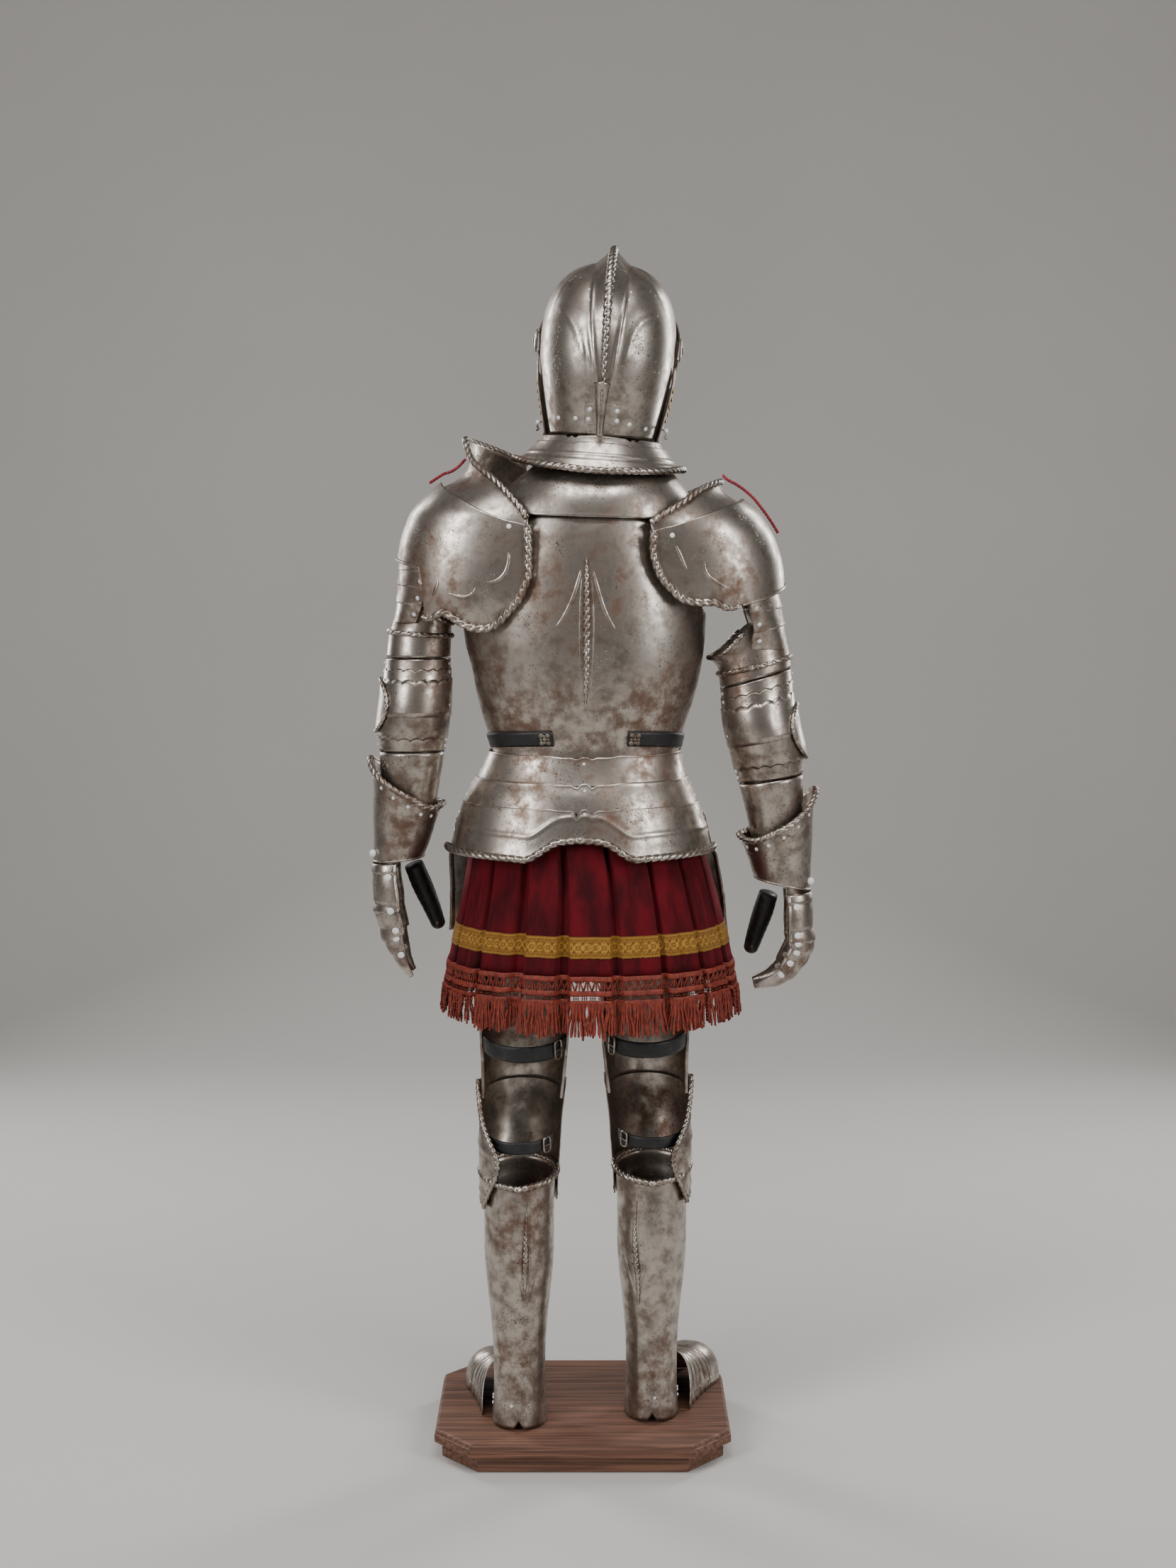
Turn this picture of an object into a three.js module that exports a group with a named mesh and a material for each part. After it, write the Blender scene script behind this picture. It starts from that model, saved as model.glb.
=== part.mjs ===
// A suit of plate armour standing on a wooden plinth, as an ordinary three.js scene graph.
// Millimetres. The origin is the middle of the plinth's underside, +Z is up, +Y is the way the
// suit faces and +X is its right hand side as seen from behind. Every plate is a thin wall.
import * as THREE from 'three';

// ---------------------------------------------------------------- driving sizes
const WALL = 1.8;              // thickness of most plates
const THIN = 1.4;              // lames, collars and the helmet's loose plates
const NEST = 2.6;              // radial step between a plate and the one that it rides over
const SEAM = 0.5;              // gap left where two plates meet edge to edge
const LEATHER = 2.2;           // straps
const CLOTH = 2.0;             // velvet skirt
const BRAID = 1.2;             // gilt ribbon sewn on the skirt
const FRINGE = 3.0;            // depth of the lace heading and fringe
const LACE = 5.0;              // thickness of the twisted arming laces
const PLINTH = { width: 450, depth: 380, cutX: 57, cutY: 66, inset: 11, slab: 20, height: 45, lip: 3 };
const SOLE = PLINTH.height + 0.5;
const HELMET = { x: 26, y: 0, z: 1500, roll: 4.0, turn: 2.3 };
const PIVOT = { z: 178, half: 107 };
const DEG = Math.PI / 180;

// ---------------------------------------------------------------- finishes
const finish = (color, metalness, roughness) => new THREE.MeshStandardMaterial({ color, metalness, roughness });
const steel = finish('#a39a90', 1.0, 0.38);
const leather = finish('#17171a', 0.0, 0.5);
const velvet = finish('#6d0a1c', 0.0, 0.9);
const gilt = finish('#c89a45', 0.3, 0.6);
const rust = finish('#8c2f1f', 0.0, 0.9);
const red = finish('#8e1f28', 0.0, 0.9);
const wood = finish('#5b3c2c', 0.0, 0.7);

// ---------------------------------------------------------------- tables and curves
/** Turns rows of numbers into rows with named columns. */
function table(names, rows) {
  const columns = names.split(' ');
  return rows.map((row) => Object.fromEntries(columns.map((name, i) => [name, row[i]])));
}

/** Reads a table at any height: a smooth curve through the rows of every column. */
function read(rows, value, key = 'z') {
  const order = rows[0][key] < rows[rows.length - 1][key] ? rows : [...rows].reverse();
  const last = order.length - 1;
  const held = Math.min(Math.max(value, order[0][key]), order[last][key]);
  let i = 0;
  while (i < last - 1 && held > order[i + 1][key]) i += 1;
  const [a, b] = [order[i], order[i + 1]];
  const step = b[key] - a[key];
  const t = (held - a[key]) / step;
  const before = order[Math.max(i - 1, 0)];
  const after = order[Math.min(i + 2, last)];
  const result = {};
  for (const name of Object.keys(a)) {
    const slopeA = (b[name] - before[name]) / (b[key] - before[key]) * step;
    const slopeB = (after[name] - a[name]) / (after[key] - a[key]) * step;
    const [t2, t3] = [t * t, t * t * t];
    result[name] = (2 * t3 - 3 * t2 + 1) * a[name] + (t3 - 2 * t2 + t) * slopeA
      + (3 * t2 - 2 * t3) * b[name] + (t3 - t2) * slopeB;
  }
  result[key] = value;
  return result;
}

const mix = (a, b, t) => a + (b - a) * t;
const power = (v, k) => Math.sign(v) * Math.abs(v) ** k;
const smooth = (a, b, v) => {
  const t = Math.min(Math.max((v - a) / (b - a), 0), 1);
  return t * t * (3 - 2 * t);
};
/** A piecewise smooth curve through [angle, value] pairs. */
const curve = (pairs) => {
  const rows = pairs.map(([a, v]) => ({ a, v }));
  return (angle) => read(rows, angle, 'a').v;
};
const asFunction = (value) => (typeof value === 'function' ? value : () => value);

/** A point of a form at a height and an angle in degrees: 0 is the back, 90 is +X, 180 the front. */
function onForm(rows, angle, z) {
  const row = read(rows, z);
  const k = 2 / (row.p ?? 2);
  const [s, c] = [Math.sin(angle * DEG), Math.cos(angle * DEG)];
  const depth = c > 0 ? row.b : row.f;
  return new THREE.Vector3(row.x + row.w * power(s, k), (row.y ?? 0) - depth * power(c, k), z);
}

// ---------------------------------------------------------------- walls
/** Normals of a grid of points: across its columns, then up its rows. */
function gridNormals(grid, ring) {
  const [m, n] = [grid.length, grid[0].length];
  return grid.map((row, i) => row.map((p, j) => {
    const left = grid[i][ring ? (j + n - 1) % n : Math.max(j - 1, 0)];
    const right = grid[i][ring ? (j + 1) % n : Math.min(j + 1, n - 1)];
    const up = grid[Math.min(i + 1, m - 1)][j];
    const down = grid[Math.max(i - 1, 0)][j];
    return right.clone().sub(left).cross(up.clone().sub(down)).normalize();
  }));
}

/** Moves every point of a grid along its normal. */
function lift(grid, normals, amount) {
  return grid.map((row, i) => row.map((p, j) => p.clone().addScaledVector(normals[i][j], amount)));
}

/** Builds a triangle mesh, turned so that its faces look outwards. */
function solid(points, faces) {
  let volume = 0;
  for (const [a, b, c] of faces) volume += points[a].dot(points[b].clone().cross(points[c]));
  const order = volume < 0 ? faces.map(([a, b, c]) => [a, c, b]) : faces;
  const geometry = new THREE.BufferGeometry();
  geometry.setAttribute('position', new THREE.Float32BufferAttribute(points.flatMap((p) => [p.x, p.y, p.z]), 3));
  geometry.setIndex(order.flat());
  return geometry;
}

/** Joins two matching grids into one closed wall. skip(i, j) leaves a cell open as a real hole. */
function wall(outer, inner, ring = false, skip = () => false) {
  const [m, n] = [outer.length, outer[0].length];
  const points = [...outer.flat(), ...inner.flat()];
  const faces = [];
  const quad = (a, b, c, d) => faces.push([a, b, c], [a, c, d]);
  const columns = ring ? n : n - 1;
  const id = (layer, i, j) => layer * m * n + i * n + (j % n);
  const open = (i, j) => {
    if (i < 0 || i >= m - 1) return true;
    if (!ring && (j < 0 || j >= columns)) return true;
    return skip(i, (j + columns) % columns);
  };
  for (let i = 0; i < m - 1; i += 1) {
    for (let j = 0; j < columns; j += 1) {
      if (open(i, j)) continue;
      quad(id(0, i, j), id(0, i, j + 1), id(0, i + 1, j + 1), id(0, i + 1, j));
      quad(id(1, i, j), id(1, i + 1, j), id(1, i + 1, j + 1), id(1, i, j + 1));
      if (open(i - 1, j)) quad(id(0, i, j + 1), id(0, i, j), id(1, i, j), id(1, i, j + 1));
      if (open(i + 1, j)) quad(id(0, i + 1, j), id(0, i + 1, j + 1), id(1, i + 1, j + 1), id(1, i + 1, j));
      if (open(i, j - 1)) quad(id(0, i, j), id(0, i + 1, j), id(1, i + 1, j), id(1, i, j));
      if (open(i, j + 1)) quad(id(0, i + 1, j + 1), id(0, i, j + 1), id(1, i, j + 1), id(1, i + 1, j + 1));
    }
  }
  return solid(points, faces);
}

/** The wall of a free grid: its outer face is the grid, raised by `out`. */
function sheet(grid, { out = 0, thick = WALL, ring = false, skip, flip = false }) {
  const normals = gridNormals(grid, ring);
  const sign = flip ? -1 : 1;
  return wall(lift(grid, normals, sign * out), lift(grid, normals, sign * (out - thick)), ring, skip);
}

/**
 * A plate bent round a form. from and to are its end angles in degrees (numbers, or functions of the
 * height fraction); bottom and top are its edge heights (numbers, or functions of the angle).
 */
function plate(form, o) {
  const { from = 0, to = 360, angles, rows = 4, ring = false } = o;
  const cols = angles ? angles.length - 1 : (o.cols ?? 20);
  const [a0, a1, low, high] = [from, to, o.bottom, o.top].map(asFunction);
  const grid = [];
  for (let i = 0; i <= rows; i += 1) {
    const t = i / rows;
    const row = [];
    for (let j = 0; j < (ring ? cols : cols + 1); j += 1) {
      const angle = angles ? angles[j] : mix(a0(t), a1(t), j / cols);
      const z = mix(low(angle), high(angle), t);
      row.push(onForm(form, angle, z));
    }
    grid.push(row);
  }
  const backwards = angles ? angles[cols] < angles[0] : a1(0) < a0(0);
  return sheet(grid, { ...o, ring, flip: backwards });
}

/** A closed stack of level rings with flat ends. */
function stack(rings) {
  const n = rings[0].length;
  const points = rings.flat();
  const faces = [];
  for (let i = 0; i < rings.length - 1; i += 1) {
    for (let j = 0; j < n; j += 1) {
      const [a, b] = [i * n + j, i * n + ((j + 1) % n)];
      faces.push([a, b, b + n], [a, b + n, a + n]);
    }
  }
  const top = (rings.length - 1) * n;
  for (let j = 1; j < n - 1; j += 1) faces.push([0, j + 1, j], [top, top + j, top + j + 1]);
  return solid(points, faces);
}

// ---------------------------------------------------------------- the scene graph
const group = new THREE.Group();
group.name = 'plate_armour';
function add(name, geometry, material, parent = group) {
  const mesh = new THREE.Mesh(geometry, material);
  mesh.name = name;
  parent.add(mesh);
  return mesh;
}
const SIDES = [{ name: 'left', sign: -1 }, { name: 'right', sign: 1 }];

// ---------------------------------------------------------------- plinth
function octagon(inset, z) {
  const { width, depth, cutX, cutY } = PLINTH;
  const [x, y] = [width / 2 - inset, depth / 2 - inset];
  const corners = [[x, y - cutY], [x - cutX, y], [cutX - x, y], [-x, y - cutY],
    [-x, cutY - y], [cutX - x, -y], [x - cutX, -y], [x, cutY - y]];
  return corners.map(([px, py]) => new THREE.Vector3(px, py, z));
}
function plinth() {
  const under = PLINTH.height - PLINTH.slab;
  return stack([octagon(PLINTH.inset, 0), octagon(PLINTH.inset, under), octagon(0, under),
    octagon(0, PLINTH.height - PLINTH.lip), octagon(PLINTH.lip, PLINTH.height)]);
}
add('plinth', plinth(), wood);

// ---------------------------------------------------------------- legs
// One shape serves both shins; each leg has its own place.
const SHIN = table('z w b f', [
  [46, 43, 60, 46], [85, 40, 55, 44], [130, 39.5, 50, 43], [170, 40.5, 50, 42], [215, 44, 54, 42],
  [260, 49, 59, 44], [300, 52.5, 62, 46], [345, 53, 62, 48], [400, 53.5, 58, 50], [440, 55, 56, 52]]);
const THIGH = table('z w b f', [
  [370, 54, 60, 54], [430, 56, 60, 62], [480, 58, 60, 74], [510, 58, 60, 78], [550, 60, 62, 70],
  [600, 63, 68, 68], [650, 66, 72, 70], [750, 68, 76, 72]]);
const LEGS = {
  left: { x: -97, y: -72, thighX: -88, yaw: 12, heel: [-95, -133] },
  right: { x: 106, y: -38, thighX: 95, yaw: -20, heel: [97, -99] },
};
const legForm = (rows, x, y, topX = x) => rows.map((row) => (
  { ...row, x: mix(x, topX, smooth(430, 640, row.z)), y, p: 2.15 }));

function greave(form, front) {
  const rim = curve([[0, 419], [60, 430], [90, 437], [120, 440], [180, 446]]);
  const hem = curve([[0, 60], [12, 50], [60, 48], [90, 50], [115, 66], [150, 112], [180, 126]]);
  const top = (angle) => rim(Math.abs(angle > 180 ? 360 - angle : angle));
  const bottom = (angle) => hem(Math.abs(angle > 180 ? 360 - angle : angle));
  const edge = 90 - SEAM;
  const span = front ? { from: 90 + SEAM, to: 270 - SEAM } : { from: -edge, to: edge };
  return plate(form, { ...span, bottom, top, cols: front ? 6 : 8, rows: 7 });
}

// Foot sections from the heel forwards: s along the foot, a half width, h height.
const FOOT = table('s a h', [
  [70, 44, 88], [108, 42, 80], [135, 42, 70], [162, 43, 63], [188, 45, 60], [210, 47, 60],
  [232, 44, 54], [248, 32, 42], [256, 15, 26]]);
function footGrid(leg, stations) {
  const [sinY, cosY] = [Math.sin(leg.yaw * DEG), Math.cos(leg.yaw * DEG)];
  const cols = 8;
  return stations.map((station) => {
    const row = [];
    for (let j = 0; j <= cols; j += 1) {
      const turn = Math.PI * j / cols;
      const s = typeof station === 'function' ? station(turn) : station;
      const { a, h } = read(FOOT, s, 's');
      const across = -a * power(Math.cos(turn), 0.85);
      row.push(new THREE.Vector3(leg.heel[0] + across * cosY - s * sinY,
        leg.heel[1] + across * sinY + s * cosY, SOLE + 0.5 + h * power(Math.sin(turn), 0.85)));
    }
    return row;
  });
}
function sabatonInstep(leg) {
  const rear = (turn) => 112 - 34 * (1 - Math.sin(turn));
  return sheet(footGrid(leg, [rear, 132, 158, 184]), { thick: THIN, flip: true });
}
function sabatonToe(leg) {
  const grid = footGrid(leg, [184.6, 204, 222, 238, 249, 256]);
  const last = grid[grid.length - 1].map((p) => new THREE.Vector3(p.x, p.y + 0.8, SOLE + 2));
  return sheet([...grid, last], { thick: THIN, flip: true });
}

function poleyn(form, sign) {
  // The wing reaches round the outer side to a point behind the knee.
  const wing = curve([[0, 58], [0.38, 27], [0.7, 62], [1, 88]]);
  const inner = curve([[0, 100], [0.5, 92], [1, 96]]);
  const outer = (t) => sign * wing(t);
  const other = (t) => sign * (360 - inner(t));
  return plate(form, { from: outer, to: other, bottom: 385, top: 575, cols: 10, rows: 6, out: NEST + 2, thick: THIN });
}
function cuisse(form) {
  return plate(form, { from: 76, to: 284, bottom: (a) => 552 - 10 * Math.cos(a * DEG), top: 742, cols: 8, rows: 3 });
}
function legStrap(form, z, half, sag, out) {
  const drop = (angle) => -sag * Math.cos(angle * DEG);
  return plate(form, { from: -74, to: 74, bottom: (a) => z - half + drop(a), top: (a) => z + half + drop(a),
    cols: 8, rows: 1, out, thick: LEATHER });
}

for (const { name, sign } of SIDES) {
  const leg = LEGS[name];
  const shin = legForm(SHIN, leg.x, leg.y);
  const thigh = legForm(THIGH, leg.x, leg.y, leg.thighX);
  add(`greave_back_${name}`, greave(shin, false), steel);
  add(`greave_front_${name}`, greave(shin, true), steel);
  add(`sabaton_instep_${name}`, sabatonInstep(leg), steel);
  add(`sabaton_toe_${name}`, sabatonToe(leg), steel);
  add(`poleyn_${name}`, poleyn(thigh, sign), steel);
  add(`cuisse_${name}`, cuisse(thigh), steel);
  add(`thigh_strap_${name}`, legStrap(thigh, 640, 12, 14, -0.5), leather);
  add(`knee_strap_${name}`, legStrap(thigh, 488, 9, 8, -6), leather);
}

// ---------------------------------------------------------------- trunk
const TRUNK = table('z x w b f p', [
  [1060, 4.5, 142, 97, 104, 2.3], [1078, 5, 142.5, 97, 104, 2.3], [1110, 3.5, 152, 106, 112, 2.3],
  [1153, 5, 165, 117, 128, 2.3], [1196, 5.5, 174, 124, 142, 2.3], [1240, 3, 182, 128, 150, 2.3],
  [1300, 2, 184, 130, 150, 2.3], [1350, 2, 177, 130, 142, 2.3], [1395, 4, 160, 126, 126, 2.3],
  [1425, 8, 142, 119, 110, 2.3], [1447, 12, 118, 108, 94, 2.3]]);
const HIPS = table('z x w b f p', [
  [780, 6, 218, 190, 196, 2.1], [840, 4, 214, 175, 188, 2.1], [900, -2, 208, 158, 178, 2.2], [920, -3.5, 201, 153, 172, 2.2],
  [945, -3, 194, 148, 164, 2.2], [970, -3, 187, 142, 156, 2.2], [992, -3, 180, 136, 147, 2.2], [1012, -3, 173, 129, 138, 2.2],
  [1031, -1.5, 164, 120, 128, 2.2], [1052, 1, 156, 112, 121, 2.2], [1075, 4.5, 150, 105, 112, 2.3]]);

/** One half of the cuirass; cells are left open round the arm, between armpit and shoulder. */
function trunkHalf(front) {
  const edge = 90 - SEAM;
  const span = front ? { from: 90 + SEAM, to: 270 - SEAM } : { from: -edge, to: edge };
  const cols = 14;
  const heights = [1062, 1082, 1115, 1160, 1210, 1268, 1310, 1350, 1392, 1440];
  const grid = heights.map((z) => {
    const row = [];
    for (let j = 0; j <= cols; j += 1) row.push(onForm(TRUNK, mix(span.from, span.to, j / cols), z));
    return row;
  });
  const armhole = (i, j) => {
    const reach = Math.min(j, cols - 1 - j);
    const deep = i >= 6 ? 1 : 0;
    return i >= 5 && i < 8 && reach <= deep;
  };
  return sheet(grid, { skip: armhole });
}
add('backplate', trunkHalf(false), steel);
add('breastplate', trunkHalf(true), steel);

function lame(low, high, depth, span) {
  return plate(HIPS, { ...span, bottom: low, top: high, cols: 14, rows: 2, out: depth, thick: THIN });
}
const REAR = { from: -88, to: 88 };
const FRONT = { from: 92, to: 268 };
const rump = curve([[0, 948], [9, 944], [17, 926], [21, 919], [28, 920], [50, 922], [88, 923]]);
add('culet_upper', lame(1026, 1072, -2 * NEST, REAR), steel);
add('culet_middle', lame(986, 1031, -NEST, REAR), steel);
add('culet_lower', plate(HIPS, { ...REAR, bottom: (a) => rump(Math.abs(a)), top: 992, cols: 22, rows: 3, thick: THIN }), steel);
add('fauld_upper', lame(1014, 1072, -2 * NEST, FRONT), steel);
add('fauld_lower', lame(962, 1020, -NEST, FRONT), steel);

// Tassets hang from the fauld on leathers and lie against the skirt.
const TASSET = { hinge: 966, bottom: 782 };
function tasset(sign) {
  const span = sign > 0 ? { from: 106, to: 160 } : { from: 200, to: 250 };
  return plate(HIPS, { ...span, bottom: TASSET.bottom, top: TASSET.hinge, cols: 6, rows: 3, out: 7, thick: THIN });
}

// ---------------------------------------------------------------- skirt
const SKIRT = table('z x w b f p', [
  [660, 12, 232, 190, 196, 2.1], [702, 12, 226, 186, 190, 2.1], [767, 12, 214, 178, 182, 2.1],
  [833, 11, 199, 165, 170, 2.1], [898, 8, 184, 146, 152, 2.1], [930, 4, 176, 136, 143, 2.1], [970, 1, 162, 118, 126, 2.1]]);
const PLEATS = 18;
const PLEAT_DEPTH = 16;
const PLEAT_POINTS = 4;
const FIRST_PLEAT = -170;      // where the first pleat starts, so that none lies on the middle of the back
/** How far the cloth drops inwards at a column of the pleated ring. */
function pleatDrop(column) {
  return [0, 0, 0, 1][column % PLEAT_POINTS];
}
/** Angle of a column: three across the face of a pleat, then the bottom of the fold. */
function pleatAngle(column) {
  const step = 360 / PLEATS;
  const place = [0.04, 0.48, 0.92, 0.98][column % PLEAT_POINTS];
  return FIRST_PLEAT + (Math.floor(column / PLEAT_POINTS) + place) * step;
}
function pleated(heights, out, thick) {
  const cols = PLEATS * PLEAT_POINTS;
  const grid = heights.map((z) => {
    const row = [];
    for (let j = 0; j < cols; j += 1) {
      const p = onForm(SKIRT, pleatAngle(j), z);
      const depth = PLEAT_DEPTH * pleatDrop(j);
      const centre = new THREE.Vector3(read(SKIRT, z).x, 0, z);
      const away = p.clone().sub(centre).normalize();
      row.push(p.addScaledVector(away, out - depth));
    }
    return row;
  });
  const inner = grid.map((row, i) => row.map((p) => {
    const centre = new THREE.Vector3(read(SKIRT, heights[i]).x, 0, heights[i]);
    return p.clone().addScaledVector(p.clone().sub(centre).normalize(), -thick);
  }));
  return wall(grid, inner, true);
}
add('skirt_velvet', pleated([751, 778, 808, 880, 962], 0, CLOTH), velvet);
add('skirt_ribbon', pleated([778, 808], BRAID + 0.5, BRAID), gilt);
add('skirt_fringe', pleated([668, 750.4], 0, FRINGE), rust);

// ---------------------------------------------------------------- waist straps
function waistStrap(sign) {
  const z = (a) => 1085 + 10 * Math.cos(a * DEG);
  const span = sign > 0 ? { from: 22, to: 86 } : { from: -86, to: -16 };
  return plate(TRUNK, { ...span, bottom: (a) => z(a) - 11, top: (a) => z(a) + 11, cols: 6, rows: 1,
    out: LEATHER + 2.2, thick: LEATHER });
}

// ---------------------------------------------------------------- gorget
const GORGET = table('z x w b f p', [
  [1412, 10, 162, 126, 118, 2.3], [1430, 12, 155, 124, 114, 2.3], [1452, 16, 143, 118, 106, 2.3],
  [1472, 21, 124, 107, 98, 2.3], [1490, 25, 104, 97, 92, 2.2], [1504, 27, 92, 90, 88, 2.1]]);
function gorget() {
  const hem = (a) => 1421 - 6 * Math.sin(a * DEG) * Math.max(Math.cos(a * DEG), 0);
  return plate(GORGET, { ring: true, bottom: hem, top: 1500, cols: 20, rows: 3, out: 1.5 + WALL });
}
add('gorget', gorget(), steel);

// ---------------------------------------------------------------- helmet, in its own tilted group
const helmet = new THREE.Group();
helmet.position.set(HELMET.x, HELMET.y, HELMET.z);
helmet.rotation.set(0, HELMET.roll * DEG, -HELMET.turn * DEG, 'YZX');
group.add(helmet);

// Heights are above the helmet's own origin, level with the neck.
const NAPE = table('z x w b f p', [
  [38, 0, 80, 88, 92, 2.1], [60, 0, 85, 95, 100, 2.15], [90, 0, 91, 106, 112, 2.2],
  [120, 0, 96, 115, 122, 2.3], [150, 0, 100, 120, 128, 2.4], [178, 0, 101, 122, 132, 2.4]]);
const SKULL_POWER = 2.4;
/** Radius of the skull's middle line at an angle above the back: 90 is the crown, 160 the brow. */
const crownRadius = curve([[0, 122], [30, 124], [60, 123], [90, 121], [115, 124], [135, 133], [150, 138], [180, 140]]);
const combHeight = curve([[-30, 0], [0, 5], [30, 12], [60, 18], [84, 21], [98, 18], [112, 8], [124, 0], [170, 0]]);

/** A point over the crown: side runs from -90 at the left pivot to 90 at the right one. */
function onCrown(angle, side, grow = 0) {
  const k = 2 / SKULL_POWER;
  const [s, c] = [Math.sin(side * DEG), Math.cos(side * DEG)];
  const comb = combHeight(angle) * Math.max(0, 1 - Math.abs(s) / 0.2) ** 1.3;
  const r = (crownRadius(angle) + grow) * Math.abs(c) ** k + comb;
  return new THREE.Vector3((101 + grow) * power(s, k), -r * Math.cos(angle * DEG), PIVOT.z + r * Math.sin(angle * DEG));
}
const SKULL_SIDES = [-85, -70, -54, -38, -22, -10, 0, 10, 22, 38, 54, 70, 85];
function skull() {
  const lower = [40, 75, 115, 155].map((z) => SKULL_SIDES.map((side) => {
    const p = onForm(NAPE, side, z);
    const comb = combHeight(-20 + (z - 100) / 4) * Math.max(0, 1 - Math.abs(Math.sin(side * DEG)) / 0.2) ** 1.3;
    return p.setY(p.y - Math.max(comb, 0));
  }));
  const upper = [3, 22, 42, 62, 82, 102, 122, 140, 158].map((angle) => SKULL_SIDES.map((side) => onCrown(angle, side)));
  return sheet([...lower, ...upper], {});
}
// The visor turns about the pivots, so its sections are drawn round them.
function visorShape(angle, side) {
  const beak = 1 + 0.22 * Math.exp(-(((angle - 188) / 26) ** 2)) * Math.max(0, 1 - Math.abs(Math.sin(side * DEG))) ** 0.7;
  const k = 2 / SKULL_POWER;
  const [s, c] = [Math.sin(side * DEG), Math.cos(side * DEG)];
  const r = (146 + 8 * smooth(165, 205, angle)) * beak * Math.abs(c) ** k;
  return new THREE.Vector3((101 + 5.6) * power(s, k), -r * Math.cos(angle * DEG), PIVOT.z + r * Math.sin(angle * DEG));
}
const FACE_SIDES = [-84, -66, -48, -32, -16, 0, 16, 32, 48, 66, 84];
function visor() {
  const grid = [143, 158, 165, 182, 196, 208].map((angle) => FACE_SIDES.map((side) => visorShape(angle, side)));
  const sight = (i, j) => i === 1 && [2, 3, 6, 7].includes(j);
  return sheet(grid, { skip: sight, thick: WALL });
}
const BEVOR = table('z x w b f p', [
  [38, 0, 84, 84, 97, 2.1], [60, 0, 89, 92, 108, 2.15], [90, 0, 95, 98, 122, 2.2], [118, 0, 100, 100, 131, 2.3],
  [142, 0, 101.5, 100, 134, 2.4], [176, 0, 102.5, 100, 134, 2.4]]);
function bevor() {
  // Its ends lie over the skull just behind the ears; its top dips under the visor in front.
  const top = curve([[74, 150], [95, 136], [125, 118], [180, 112], [235, 118], [265, 136], [286, 150]]);
  return plate(BEVOR, { from: 76, to: 284, bottom: 40, top, cols: 12, rows: 3, out: 0.9 + THIN, thick: THIN });
}
function pivotPin(sign) {
  const profile = [[0, 0], [16, 0], [17, 1.6], [12, 3.4], [6, 4.6], [0, 4.8]].map(([r, h]) => new THREE.Vector2(r, h));
  const geometry = new THREE.LatheGeometry([...profile], 12);
  geometry.rotateZ(-sign * 90 * DEG);
  geometry.translate(sign * (PIVOT.half + 0.1), 0, PIVOT.z);
  return geometry;
}
function plumeTube() {
  const rings = [[38, 93, 5.5], [60, 97, 6], [90, 104, 9], [114, 112, 11.5]];
  const ring = (z, y, r) => {
    const row = [];
    for (let j = 0; j < 10; j += 1) {
      const turn = 2 * Math.PI * j / 10;
      row.push(new THREE.Vector3(r * Math.cos(turn), -(y + 5 + r) + r * Math.sin(turn) * 0.9, z));
    }
    return row;
  };
  return wall(rings.map(([z, y, r]) => ring(z, y, r)), rings.map(([z, y, r]) => ring(z, y, r - 1.3).map((p) => p.setY(p.y - 1.3))), true);
}
const NECK = table('z x w b f p', [
  [-12, -2, 127, 118, 108, 2.1], [-4, -2, 124, 114, 105, 2.1], [6, -1, 113, 107, 100, 2.1], [16, 0, 104, 101, 97, 2.1],
  [28, 0, 95, 95, 94, 2.1], [40, 0, 88, 91, 92, 2.1], [50, 0, 86, 90, 92, 2.1]]);
const neckRing = (low, high, rows, out) => plate(NECK, { ring: true, cols: 20, rows, bottom: low, top: high, out, thick: THIN });
function neckGuard() {
  const dip = (a) => -3 - 10 * Math.max(0, Math.cos(a * DEG)) ** 2;
  return neckRing(dip, 27, 3, NEST);
}
add('helmet_skull', skull(), steel, helmet);
add('helmet_bevor', bevor(), steel, helmet);
add('helmet_visor', visor(), steel, helmet);
add('plume_tube', plumeTube(), steel, helmet);
add('neck_lames', neckRing(23, 36, 1, 0), steel, helmet);
add('neck_guard', neckGuard(), steel, helmet);

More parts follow.
